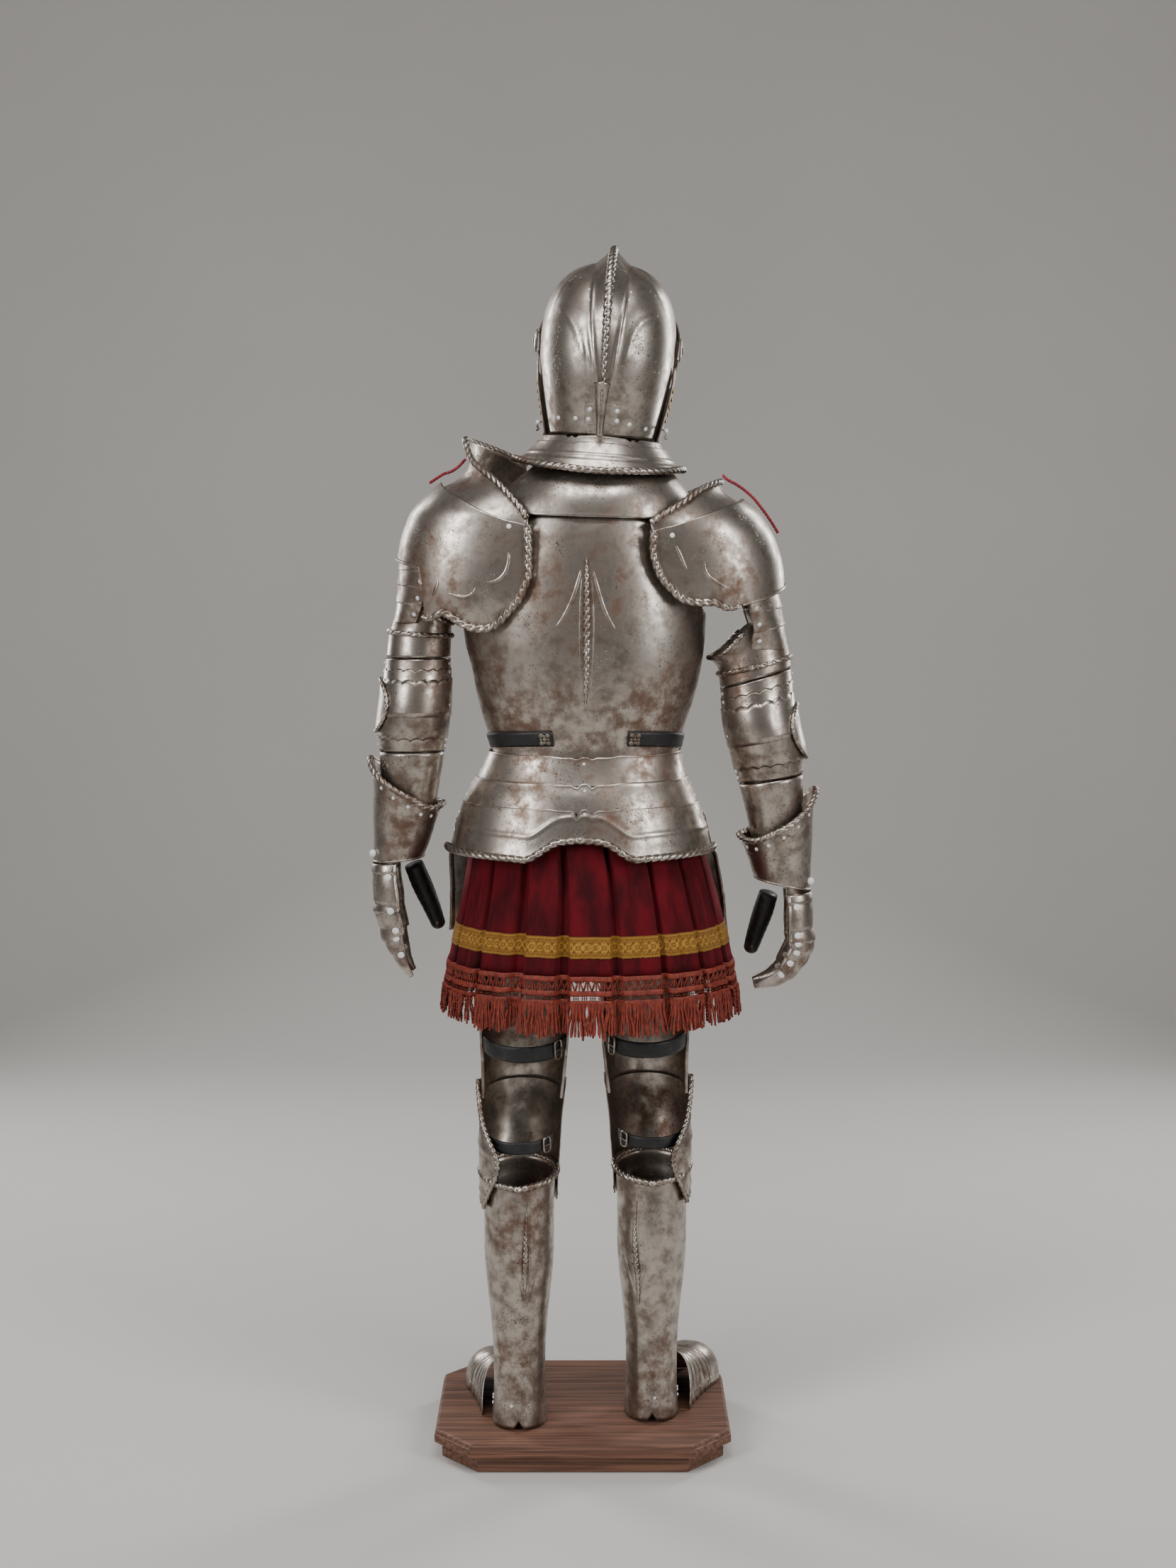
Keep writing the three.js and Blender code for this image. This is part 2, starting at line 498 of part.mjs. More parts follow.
// ---------------------------------------------------------------- shoulders and arms
// Angles of the shoulder plates count from the back towards the outer side, so 90 is outermost.
const SHOULDERS = {
  left: {
    form: table('z w b f', [
      [1250, 184, 112, 110], [1300, 184, 124, 120], [1350, 181, 129, 122], [1390, 174, 129, 121], [1411, 167, 127, 118],
      [1432, 157, 122, 110], [1453, 138, 110, 97], [1474, 113, 88, 78], [1492, 86, 68, 60]]),
    centre: -100,
    hollow: 36,
    hem: table('a v', [[-4.5, 1337], [-2, 1310], [0, 1293], [6, 1264], [14, 1259], [21, 1267], [30, 1283], [43, 1276],
      [46.5, 1346], [60, 1352], [75, 1357], [90, 1360], [105, 1357], [120, 1352], [133.5, 1346], [137, 1276], [150, 1283], [160, 1296], [168, 1320]]),
    top: table('a v', [[-4.5, 1409], [16, 1434], [33, 1452], [65, 1470], [90, 1474], [115, 1468], [147, 1450], [168, 1428], [184, 1412]]),
    rim: table('a x y z', [[-4.5, -80, -124, 1419], [12, -93, -114, 1437], [30, -119, -93, 1466], [50, -144, -68, 1489],
      [70, -163, -38, 1509], [90, -173, -5, 1537], [110, -166, 30, 1536], [135, -140, 65, 1527], [160, -112, 88, 1515],
      [184, -86, 106, 1500]]),
    lames: table('z x w b f', [
      [1262, -241, 45, 50, 50], [1300, -200, 82, 84, 80], [1340, -140, 139, 112, 106], [1368, -102, 172, 124, 116]]),
    lameEnds: [10, 47],
  },
  right: {
    form: table('z w b f', [
      [1250, 183, 112, 110], [1300, 181, 122, 119], [1350, 177, 128, 122], [1389, 165, 130, 120], [1411, 153, 128, 116],
      [1432, 137, 120, 107], [1453, 112, 101, 92], [1470, 84, 80, 74]]),
    centre: 125,
    hollow: 4,
    hem: table('a v', [[-5, 1372], [-3, 1345], [0, 1322], [4, 1303], [11, 1297], [19, 1297], [25, 1288], [33, 1292],
      [46, 1300], [60, 1308], [75, 1316], [90, 1322], [105, 1316], [120, 1308], [134, 1300], [147, 1292], [158, 1300], [169, 1330]]),
    top: table('a v', [[-5, 1401], [10, 1418], [37, 1437], [70, 1448], [90, 1450], [110, 1448], [143, 1436], [170, 1418], [185, 1400]]),
    rim: table('a x y z', [[-5, 99, -125, 1412], [8, 120, -120, 1426], [25, 150, -100, 1444], [45, 176, -73, 1462],
      [65, 198, -40, 1471], [90, 206, 0, 1473], [115, 198, 38, 1470], [140, 172, 72, 1460], [162, 140, 98, 1444],
      [185, 104, 113, 1424]]),
    lames: table('z x w b f', [
      [1222, 264, 46, 50, 50], [1255, 247, 60, 72, 70], [1290, 200, 101, 97, 95], [1330, 130, 165, 117, 112]]),
    lameEnds: [8, 44],
  },
};
const towards = (rows, value) => read(rows, value, 'a');

function pauldron(side, sign) {
  const form = side.form.map((row) => ({ ...row, x: side.centre, p: 2.4 }));
  const marks = side.hem.map((row) => row.a);
  return plate(form, {
    angles: marks.map((a) => sign * a),
    bottom: (angle) => side.hem.find((row) => Math.abs(row.a - sign * angle) < 1e-6).v,
    top: (angle) => towards(side.top, sign * angle).v,
    rows: 5,
    thick: WALL,
  });
}
/** The upper lame: tucked under the main plate, rising to the roped rim by the neck. */
function pauldronCollar(side, sign) {
  const inset = NEST + 1.2;
  const form = side.form.map((row) => ({ ...row, w: row.w - inset, b: row.b - inset, f: row.f - inset, x: side.centre, p: 2.4 }));
  const base = side.rim.map(({ a }) => onForm(form, sign * a, towards(side.top, a).v - 7));
  base.forEach((p) => p.setZ(p.z - 3));
  const rim = side.rim.map(({ x, y, z }) => new THREE.Vector3(x, y, z));
  const rows = [0, 0.35, 0.7, 1].map((t) => side.rim.map(({ a }, i) => {
    const hollow = new THREE.Vector3().lerpVectors(base[i], rim[i], 0.65);
    hollow.x -= sign * side.hollow * Math.sin(a * DEG) ** 2;
    hollow.z = mix(base[i].z, rim[i].z, 0.3);
    return new THREE.QuadraticBezierCurve3(base[i], hollow, rim[i]).getPoint(t);
  }));
  return sheet(rows, { thick: THIN, flip: sign < 0 });
}
function pauldronLames(side, sign) {
  const form = side.lames.map((row) => ({ ...row, p: 2.3 }));
  const [low, high] = [side.lames[0].z, side.lames[side.lames.length - 1].z];
  return plate(form, {
    from: (t) => sign * mix(side.lameEnds[0], side.lameEnds[1], t),
    to: (t) => sign * mix(180 - side.lameEnds[0], 180 - side.lameEnds[1], t),
    bottom: low + 2, top: high - 4, cols: 10, rows: 3, thick: THIN, out: -0.4,
  });
}

// Each arm as level sections; the right arm hangs straighter and lower.
const ARMS = {
  left: {
    form: table('z x y w b f', [
      [1258, -245, 0, 46, 47, 47], [1240, -247, 0, 47.5, 48, 48], [1200, -250, 0, 49, 51, 49], [1150, -253, 0, 52, 60, 50],
      [1110, -257, 2, 53, 60, 50], [1070, -260, 5, 50, 52, 48], [1030, -263, 8, 46, 47, 46], [990, -266, 11, 42, 43, 42],
      [950, -269, 14, 38, 39, 38]]),
    rerebrace: { low: [1212, 1212], high: [1258, 1258] },
    couter: { low: [1070, 1070], high: [1209, 1209] },
    vambrace: { low: [962, 962], high: [1067, 1067] },
  },
  right: {
    form: table('z x y w b f', [
      [1250, 255, 0, 49, 50, 50], [1220, 259, 0, 54, 52, 52], [1190, 261, 0, 55, 53, 52], [1150, 265, 0, 54, 57, 51],
      [1110, 271, 0, 56, 62, 52], [1075, 279, 3, 56, 60, 51], [1040, 284, 6, 52, 52, 48], [1000, 290, 9, 47, 47, 45],
      [960, 296, 12, 43, 43, 42], [915, 301, 15, 38, 38, 37]]),
    rerebrace: { low: [1166, 1197], high: [1216, 1219] },
    couter: { low: [1020, 1036], high: [1163, 1194] },
    vambrace: { low: [915, 915], high: [1016, 1032] },
  },
};
/** A ring plate on an arm; its edges slope from the inner side to the outer one. */
function armPlate(arm, band, sign, options) {
  const form = arm.form.map((row) => ({ ...row, p: 2.1 }));
  const slope = ([inner, outer]) => (a) => mix(inner, outer, (1 + sign * Math.sin(a * DEG)) / 2);
  return plate(form, { ring: true, cols: 16, bottom: slope(band.low), top: slope(band.high), ...options });
}

const GAUNTLETS = {
  left: {
    cuff: table('z x y w b f', [
      [896, -285, 16, 37, 44, 42], [914, -281, 15, 41, 46, 44], [940, -276, 14, 45.5, 48, 47], [985, -270, 11, 52, 55, 52],
      [1060, -261, 8, 60, 64, 60]]),
    rim: curve([[-90, 988], [-40, 985], [0, 1004], [45, 1030], [90, 1055], [135, 1040], [180, 1010], [225, 988], [270, 988]]),
    hem: [905, 898],
    hand: table('s x z d h y', [
      [0, -323, 895, 38, 44, 16], [30, -322, 866, 38, 46, 16], [58, -320, 838, 40, 48, 17], [75, -321, 821, 42, 48, 18],
      [98, -313, 799, 38, 46, 19], [120, -309, 777, 38, 44, 20], [145, -297, 757, 27, 42, 20], [170, -284, 736, 18, 38, 20],
      [195, -267, 717, 8, 30, 20]]),
    thumb: table('s x y z r', [[0, -262, 40, 888, 15], [35, -250, 48, 856, 16], [80, -236, 52, 822, 14], [110, -226, 52, 796, 11.5]]),
  },
  right: {
    cuff: table('z x y w b f', [
      [852, 312, 18, 38, 42, 40], [868, 308, 17, 42.5, 45, 43], [892, 304, 16, 47.5, 48, 46], [940, 298, 13, 55, 56, 53],
      [1012, 295, 9, 58.5, 62, 58]]),
    rim: curve([[-90, 938], [-40, 934], [0, 950], [45, 980], [90, 1008], [135, 992], [180, 960], [225, 940], [270, 938]]),
    hem: [872, 854],
    hand: table('s x z d h y', [
      [0, 351, 851, 38, 42, 18], [25, 353, 826, 38, 45, 18], [50, 353, 801, 38, 47, 19], [73, 357, 778, 42, 48, 20],
      [95, 353, 756, 38, 46, 20], [120, 341, 735, 36, 44, 21], [148, 321, 713, 30, 42, 22], [175, 298, 703, 22, 38, 22],
      [210, 265, 700, 8, 30, 22]]),
    thumb: table('s x y z r', [[0, 288, 42, 842, 15], [35, 280, 50, 812, 16], [80, 270, 55, 780, 14], [105, 263, 56, 757, 12]]),
  },
};
function gauntletCuff(side, sign) {
  const form = side.cuff.map((row) => ({ ...row, p: 2.1 }));
  const hem = (a) => mix(side.hem[0], side.hem[1], (1 + sign * Math.sin(a * DEG)) / 2);
  const rim = (a) => side.rim(((sign * a + 450) % 360) - 90);
  return plate(form, { ring: true, cols: 16, rows: 3, bottom: hem, top: rim, thick: THIN });
}
/** The mitten: U shaped sections set square to the back of the hand, open to the palm. */
function mitten(side, sign) {
  const rows = side.hand;
  const cols = 8;
  const grid = rows.map((row, i) => {
    const [a, b] = [rows[Math.max(i - 1, 0)], rows[Math.min(i + 1, rows.length - 1)]];
    const along = new THREE.Vector3(b.x - a.x, 0, b.z - a.z).normalize();
    const inward = new THREE.Vector3(along.z, 0, -along.x).multiplyScalar(sign);
    const back = new THREE.Vector3(row.x, row.y, row.z);
    const points = [];
    for (let j = 0; j <= cols; j += 1) {
      const turn = -Math.PI / 2 + Math.PI * j / cols;
      const across = row.h * power(Math.sin(turn), 0.8);
      const sink = row.d * (1 - Math.abs(Math.cos(turn)) ** 0.8);
      points.push(back.clone().addScaledVector(inward, sink).add(new THREE.Vector3(0, across, 0)));
    }
    return points;
  });
  return sheet(grid, { thick: THIN, flip: sign < 0 });
}
/** A round tapered finger of the glove, closed at both ends. */
function gloveThumb(side) {
  const rows = side.thumb;
  const n = 8;
  const rings = [];
  rows.forEach((row, i) => {
    const next = rows[Math.min(i + 1, rows.length - 1)];
    const before = rows[Math.max(i - 1, 0)];
    const along = new THREE.Vector3(next.x - before.x, next.y - before.y, next.z - before.z).normalize();
    const u = new THREE.Vector3(0, 1, 0).cross(along).normalize();
    const v = along.clone().cross(u);
    const ring = (centre, r) => Array.from({ length: n }, (_, j) => {
      const turn = 2 * Math.PI * j / n;
      return centre.clone().addScaledVector(u, r * Math.cos(turn)).addScaledVector(v, r * Math.sin(turn));
    });
    const centre = new THREE.Vector3(row.x, row.y, row.z);
    rings.push(ring(centre, row.r));
    if (i === rows.length - 1) {
      rings.push(ring(centre.clone().addScaledVector(along, row.r * 0.6), row.r * 0.75));
      rings.push(ring(centre.clone().addScaledVector(along, row.r * 0.95), row.r * 0.3));
    }
  });
  return stack(rings);
}

for (const { name, sign } of SIDES) {
  const shoulder = SHOULDERS[name];
  const arm = ARMS[name];
  const gauntlet = GAUNTLETS[name];
  add(`pauldron_${name}`, pauldron(shoulder, sign), steel);
  add(`pauldron_collar_${name}`, pauldronCollar(shoulder, sign), steel);
  add(`pauldron_lames_${name}`, pauldronLames(shoulder, sign), steel);
  add(`rerebrace_${name}`, armPlate(arm, arm.rerebrace, sign, { rows: 1, thick: WALL }), steel);
  add(`couter_${name}`, armPlate(arm, arm.couter, sign, { rows: 4, thick: THIN, out: 1 }), steel);
  add(`vambrace_${name}`, armPlate(arm, arm.vambrace, sign, { rows: 2, thick: THIN }), steel);
  add(`gauntlet_cuff_${name}`, gauntletCuff(gauntlet, sign), steel);
  add(`gauntlet_hand_${name}`, mitten(gauntlet, sign), steel);
  add(`glove_thumb_${name}`, gloveThumb(gauntlet), leather);
  add(`tasset_${name}`, tasset(sign), steel);
  add(`waist_strap_${name}`, waistStrap(sign), leather);
  add(`visor_pivot_${name}`, pivotPin(sign), steel, helmet);
}

// ---------------------------------------------------------------- arming laces
// Each red twisted cord lies over the shoulder plate, one end hanging.
const LACE_ROUTES = {
  left: [[-176, -14, 1508], [-186, -18, 1497], [-196, -20, 1490], [-208, -18, 1486], [-219, -12, 1480], [-230, -6, 1473]],
  right: [[212, 4, 1484], [218, -4, 1478], [232, -10, 1470], [246, -10, 1460], [258, -8, 1449], [268, -6, 1437],
    [278, -4, 1424], [287, -2, 1411], [295, 0, 1398]],
};
function lace(points) {
  const path = new THREE.CatmullRomCurve3(points.map(([x, y, z]) => new THREE.Vector3(x, y, z)));
  const section = new THREE.Shape();
  const n = 8;
  for (let j = 0; j < n; j += 1) {
    const turn = 2 * Math.PI * j / n;
    const [x, y] = [LACE / 2 * Math.cos(turn), LACE / 2 * Math.sin(turn)];
    if (j === 0) section.moveTo(x, y);
    else section.lineTo(x, y);
  }
  section.closePath();
  return new THREE.ExtrudeGeometry(section, { steps: 8, extrudePath: path, bevelEnabled: false });
}
for (const { name } of SIDES) add(`lace_${name}`, lace(LACE_ROUTES[name]), red);

export default group;
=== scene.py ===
"""A suit of plate armour on a wooden plinth, dressed in metres from level sections in millimetres.

+Z is up, +Y is the way the suit faces and +X its right hand side as seen from behind.
"""

import logging
import math
from dataclasses import dataclass, field
from enum import Enum
from typing import Callable, Iterable, Sequence

import bmesh
import bpy
import numpy as np
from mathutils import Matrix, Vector


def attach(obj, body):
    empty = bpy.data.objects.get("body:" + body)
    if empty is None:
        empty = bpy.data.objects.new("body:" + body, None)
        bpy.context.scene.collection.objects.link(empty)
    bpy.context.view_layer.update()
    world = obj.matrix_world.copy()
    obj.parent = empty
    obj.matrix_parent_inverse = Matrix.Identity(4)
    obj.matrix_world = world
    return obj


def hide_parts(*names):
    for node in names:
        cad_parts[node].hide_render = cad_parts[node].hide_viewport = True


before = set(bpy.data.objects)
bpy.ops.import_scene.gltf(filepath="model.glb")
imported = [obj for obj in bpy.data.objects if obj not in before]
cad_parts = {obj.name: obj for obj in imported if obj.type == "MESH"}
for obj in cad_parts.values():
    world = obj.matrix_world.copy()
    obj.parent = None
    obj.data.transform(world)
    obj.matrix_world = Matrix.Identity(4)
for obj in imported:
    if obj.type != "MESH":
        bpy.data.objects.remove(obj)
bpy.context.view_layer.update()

log = logging.getLogger("armour")
MM = 0.001
Grid = np.ndarray
Rule = Callable[[np.ndarray], np.ndarray]

# ------------------------------------------------------------------ driving sizes, millimetres
WALL = 1.8           # the large plates
THIN = 1.4           # lames and limb plates
NEST = 2.6           # how far one lame lies outside the next
SEAM = 0.5           # clearance between neighbouring pieces
LEATHER = 2.2        # straps
LACE = 5.0           # diameter of the red laces
ROPE_PITCH = 12.0    # one turn of a roped edge
DETAIL = 0.5         # share of the rows and columns given for a plate that its mesh is built with


class Side(Enum):
    """The two sides of the suit, as seen from behind."""

    LEFT = -1
    RIGHT = 1

    @property
    def word(self) -> str:
        """The side's name as the pieces carry it."""
        return self.name.lower()


class Body(Enum):
    """The bodies that the pieces ride on."""

    SUIT = "suit"
    VISOR = "visor"
    TASSET_LEFT = "tasset_left_plate"
    TASSET_RIGHT = "tasset_right_plate"


# ------------------------------------------------------------------ node helper
def add_node(tree: bpy.types.NodeTree, kind: str, inputs: dict | None = None,
             **settings: object) -> bpy.types.Node:
    """Adds a node with its settings and links.

    Args:
        tree: the tree that gets it.
        kind: Blender's name for the node.
        inputs: socket name or number to a value, or to the socket that feeds it.
        settings: properties of the node.

    Returns:
        The new node.
    """
    made = tree.nodes.new(kind)
    for key, value in settings.items():
        setattr(made, key, value)
    for key, value in (inputs or {}).items():
        if isinstance(value, bpy.types.NodeSocket):
            tree.links.new(value, made.inputs[key])
        else:
            made.inputs[key].default_value = value
    return made


def maths(tree: bpy.types.NodeTree, operation: str, *values: object) -> bpy.types.NodeSocket:
    """Adds one sum of numbers and returns its result."""
    node = add_node(tree, "ShaderNodeMath", dict(enumerate(values)), operation=operation)
    return node.outputs[0]


def linear(colour: str) -> tuple[float, float, float, float]:
    """Turns an sRGB hex colour into linear numbers."""
    parts = [int(colour[i:i + 2], 16) / 255 for i in (1, 3, 5)]
    red, green, blue = [c / 12.92 if c <= 0.04045 else ((c + 0.055) / 1.055) ** 2.4 for c in parts]
    return (red, green, blue, 1.0)


# ------------------------------------------------------------------ finishes
def start_material(name: str) -> tuple[bpy.types.Material, bpy.types.NodeTree, bpy.types.NodeSocket]:
    """Makes an empty material.

    Args:
        name: what the material is called.

    Returns:
        The material, its tree and the object's own coordinates.
    """
    material = bpy.data.materials.new(name)
    material.use_nodes = True
    tree = material.node_tree
    tree.nodes.clear()
    place = add_node(tree, "ShaderNodeTexCoord").outputs["Object"]
    return material, tree, place


def end_material(tree: bpy.types.NodeTree, inputs: dict, bump: bpy.types.NodeSocket | None,
                 depth: float) -> None:
    """Adds the shader and the output.

    Args:
        tree: the material's tree.
        inputs: the shader's sockets.
        bump: height from 0 to 1, or None.
        depth: what a height of 1 is worth, in metres.
    """
    if bump is not None:
        relief = add_node(tree, "ShaderNodeBump", {"Height": bump, "Distance": depth, "Strength": 1.0})
        inputs = {**inputs, "Normal": relief.outputs[0]}
    shader = add_node(tree, "ShaderNodeBsdfPrincipled", inputs)
    add_node(tree, "ShaderNodeOutputMaterial", {"Surface": shader.outputs[0]})


def noise(tree: bpy.types.NodeTree, place: bpy.types.NodeSocket, size_mm: float, detail: float = 4.0,
          stretch: tuple[float, float, float] = (1, 1, 1), rough: float = 0.55) -> bpy.types.NodeSocket:
    """Cloudy noise whose patches are about size_mm across, drawn out along the axes by stretch.

    Args:
        tree: the material's node tree.
        place: the coordinates that it reads.
        size_mm: how far one patch reaches.
        detail: octaves of finer noise.
        stretch: how much longer the patches are along each axis.
        rough: how strong the finer octaves are.

    Returns:
        The noise value's socket.
    """
    mapped = add_node(tree, "ShaderNodeMapping", {"Vector": place, "Scale": [1 / s for s in stretch]})
    made = add_node(tree, "ShaderNodeTexNoise", {"Vector": mapped.outputs[0], "Scale": 1 / (size_mm * MM),
                                                 "Detail": detail, "Roughness": rough})
    return made.outputs["Fac"]


def between(tree: bpy.types.NodeTree, value: bpy.types.NodeSocket, low: float, high: float,
            to_low: float = 0.0, to_high: float = 1.0) -> bpy.types.NodeSocket:
    """Carries a range smoothly onto another one.

    Args:
        tree: the node tree.
        value: the value to carry over.
        low: where the first range starts.
        high: where it ends.
        to_low: what its start becomes.
        to_high: what its end becomes.

    Returns:
        The new value's socket.
    """
    node = add_node(tree, "ShaderNodeMapRange", {"Value": value, "From Min": low, "From Max": high,
                                                 "To Min": to_low, "To Max": to_high},
                    interpolation_type="SMOOTHSTEP")
    return node.outputs[0]


def blend(tree: bpy.types.NodeTree, share: object, first: object, second: object) -> bpy.types.NodeSocket:
    """Blends two colours, given as hex words or as sockets."""
    feeds = [linear(c) if isinstance(c, str) else c for c in (first, second)]
    node = add_node(tree, "ShaderNodeMix", {"Factor": share, 6: feeds[0], 7: feeds[1]}, data_type="RGBA")
    return node.outputs[2]


@dataclass(frozen=True)
class WornSteel:
    """Hand-hammered steel plate, polished once and worn since.

    Bright silver-grey, clouded with brown patina, freckled with small dark rust pits.
    """

    name: str = "worn_steel_plate"
    bright: str = "#bdb4aa"
    grey: str = "#80776f"
    patina: str = "#6d4b38"
    pit: str = "#2b211b"
    roughness: float = 0.27
    rust: float = 0.0

    def make(self) -> bpy.types.Material:
        """Builds the material."""
        material, tree, place = start_material(self.name)
        cloud = noise(tree, place, 130, 5, (1, 1, 1.5), 0.6)
        mottle = noise(tree, place, 22, 6, (1, 1, 1), 0.65)
        rub = noise(tree, place, 5, 3, (1, 1, 7), 0.5)
        grey = blend(tree, between(tree, mottle, 0.35, 0.7), self.bright, self.grey)
        brown = maths(tree, "MULTIPLY", between(tree, cloud, 0.44 - self.rust, 0.62 - self.rust),
                      between(tree, mottle, 0.3, 0.62))
        stained = blend(tree, maths(tree, "MULTIPLY", brown, 0.64), grey, self.patina)
        speck = noise(tree, place, 2.3, 2, (1, 1, 1), 0.5)
        patch = noise(tree, place, 60, 3, (1, 1, 1), 0.5)
        level = between(tree, patch, 0.35, 0.7, 0.76 - self.rust / 2, 0.63 - self.rust / 2)
        pits = maths(tree, "GREATER_THAN", speck, level)
        soft = add_node(tree, "ShaderNodeMapRange",
                        {"Value": maths(tree, "SUBTRACT", speck, level), "From Min": -0.03,
                                                     "From Max": 0.03}).outputs[0]
        colour = blend(tree, maths(tree, "MULTIPLY", pits, 0.8), stained, self.pit)
        gloss = maths(tree, "ADD", between(tree, mottle, 0.3, 0.7, self.roughness, self.roughness + 0.13),
                      maths(tree, "MULTIPLY", brown, 0.16))
        height = maths(tree, "SUBTRACT", maths(tree, "MULTIPLY", rub, 0.12),
                       maths(tree, "MULTIPLY", soft, 0.8))
        dents = maths(tree, "MULTIPLY", noise(tree, place, 45, 1), 1.6)
        end_material(tree, {"Base Color": colour, "Metallic": 1.0, "Roughness": gloss},
                     maths(tree, "ADD", height, dents), 0.00045)
        return material


@dataclass(frozen=True)
class StrapLeather:
    """Vegetable-tanned harness leather, dyed black and waxed: smooth and dark, with a fine grain."""

    name: str = "black_strap_leather"
    dye: str = "#141416"
    worn: str = "#34302d"

    def make(self) -> bpy.types.Material:
        """Builds the material."""
        material, tree, place = start_material(self.name)
        wear = noise(tree, place, 14, 4)
        grain = add_node(tree, "ShaderNodeTexVoronoi",
                         {"Vector": place, "Scale": 1 / 0.0016}).outputs["Distance"]
        colour = blend(tree, between(tree, wear, 0.5, 0.78), self.dye, self.worn)
        end_material(tree, {"Base Color": colour, "Roughness": between(tree, wear, 0.3, 0.7, 0.38, 0.6)},
                     grain, 0.00016)
        return material


@dataclass(frozen=True)
class Velvet:
    """Cotton velvet with a cut pile: deep crimson with painted sheen, lighter patches and streaks set into
    the colour and not made by the light.
    """

    name: str = "crimson_cotton_velvet"
    # the two colours are one crimson: painted shade and painted sheen
    deep: str = "#300209"
    painted_sheen: str = "#680716"

    def make(self) -> bpy.types.Material:
        """Builds the material."""
        material, tree, place = start_material(self.name)
        # painted sheen: broad noise patches lighten the crimson wherever they fall
        painted_sheen_patch = noise(tree, place, 26, 4, (1, 1, 4))
        pile = noise(tree, place, 1.3, 2)
        rubbed = noise(tree, place, 4, 3, (1, 1, 16))
        # the long rubbed streaks are worn pile, partly real wear, shown lighter with the same painted sheen
        # colour
        share = maths(tree, "ADD", between(tree, painted_sheen_patch, 0.3, 0.72, 0.05, 0.75),
                      between(tree, rubbed, 0.55, 0.8, 0.0, 0.25))
        colour = blend(tree, share, self.deep, self.painted_sheen)
        end_material(tree,
                     {"Base Color": colour, "Roughness": 0.85, "Sheen Weight": 0.35,
                      "Sheen Roughness": 0.35,
                            "Sheen Tint": linear("#d63a55"), "Specular IOR Level": 0.2}, pile, 0.0005)
        return material


@dataclass(frozen=True)
class GiltBraid:
    """Woven ribbon of gilt thread: bright raised figure on a darker ground, with a cross weave."""

    name: str = "woven_gilt_ribbon"
    ground: str = "#7c4f14"
    thread: str = "#d2a146"
    thread_mm: float = 0.9

    def make(self) -> bpy.types.Material:
        """Builds the material."""
        material, tree, place = start_material(self.name)
        raised = add_node(tree, "ShaderNodeAttribute", attribute_name="raised").outputs["Fac"]
        along = add_node(tree, "ShaderNodeUVMap", uv_map="cloth").outputs[0]
        split = add_node(tree, "ShaderNodeSeparateXYZ", {0: along})
        turns = 2 * math.pi / (self.thread_mm * MM)
        weft = maths(tree, "SINE", maths(tree, "MULTIPLY", split.outputs[0], turns))
        warp = maths(tree, "SINE", maths(tree, "MULTIPLY", split.outputs[1], turns))
        weave = maths(tree, "MULTIPLY", weft, warp)
        tarnish = noise(tree, place, 12, 5)
        share = maths(tree, "MULTIPLY", raised, between(tree, tarnish, 0.25, 0.6, 0.65, 1.0))
        colour = blend(tree, share, self.ground, self.thread)
        end_material(tree, {"Base Color": colour, "Metallic": 0.35, "Roughness": 0.48}, weave, 0.00022)
        return material


@dataclass(frozen=True)
class TwistedSilk:
    """Dyed rayon or silk cord: many fine plies, with painted sheen along the twist and painted shade between
    them.
    """

    name: str
    # the two colours are one dye: painted shade between the plies and painted sheen along them
    deep: str
    painted_sheen: str
    ply_mm: float = 1.1

    def make(self) -> bpy.types.Material:
        """Builds the material."""
        material, tree, place = start_material(self.name)
        shade = noise(tree, place, 6, 4)
        plies = noise(tree, place, self.ply_mm, 2, (1, 1, 3))
        # painted light: shade patches and ply stripes blend the painted shade colour into the painted sheen
        # colour
        share = maths(tree, "ADD", between(tree, shade, 0.3, 0.7, 0.1, 0.6),
                      between(tree, plies, 0.45, 0.7, 0.0, 0.4))
        colour = blend(tree, share, self.deep, self.painted_sheen)
        end_material(tree, {"Base Color": colour, "Roughness": 0.62, "Sheen Weight": 0.3,
                            "Sheen Roughness": 0.4, "Sheen Tint": linear(self.painted_sheen)}, plies, 0.0005)
        return material


@dataclass(frozen=True)
class StandWood:
    """Stained softwood boards with an oiled finish: warm brown, darker late grain, dull sheen."""

    name: str = "stained_board_wood"
    light: str = "#7a5340"
    dark: str = "#3d2519"
    board_mm: float = 92.0

    def make(self) -> bpy.types.Material:
        """Builds the material."""
        material, tree, place = start_material(self.name)
        bend = noise(tree, place, 160, 2, (4, 1, 1))
        rings = add_node(tree, "ShaderNodeTexNoise", {"Vector": add_node(
            tree, "ShaderNodeMapping", {"Vector": place, "Scale": (6.0, 190.0, 190.0)}).outputs[0],
                                                      "Scale": 1.0,
            "Detail": 4.0, "Distortion": 0.6}).outputs["Fac"]
        pores = noise(tree, place, 1.6, 3, (18, 1, 1))
        board = maths(tree, "DIVIDE", add_node(tree, "ShaderNodeSeparateXYZ", {0: place}).outputs[1],
                      self.board_mm * MM)
        tone = add_node(tree, "ShaderNodeTexWhiteNoise", {"W": maths(tree, "FLOOR", board)},
                        noise_dimensions="1D").outputs["Value"]
        share = maths(tree, "ADD", maths(tree, "MULTIPLY", between(tree, rings, 0.35, 0.66), 0.75),
                      maths(tree, "MULTIPLY", tone, 0.22))
        share = maths(tree, "ADD", share, between(tree, bend, 0.55, 0.8, 0.0, 0.2))
        colour = blend(tree, share, self.light, self.dark)
        height = maths(tree, "ADD", maths(tree, "MULTIPLY", rings, 0.5), pores)
        end_material(tree, {"Base Color": colour, "Roughness": between(tree, rings, 0.3, 0.7, 0.5, 0.68)},
                     height, 0.00035)
        return material


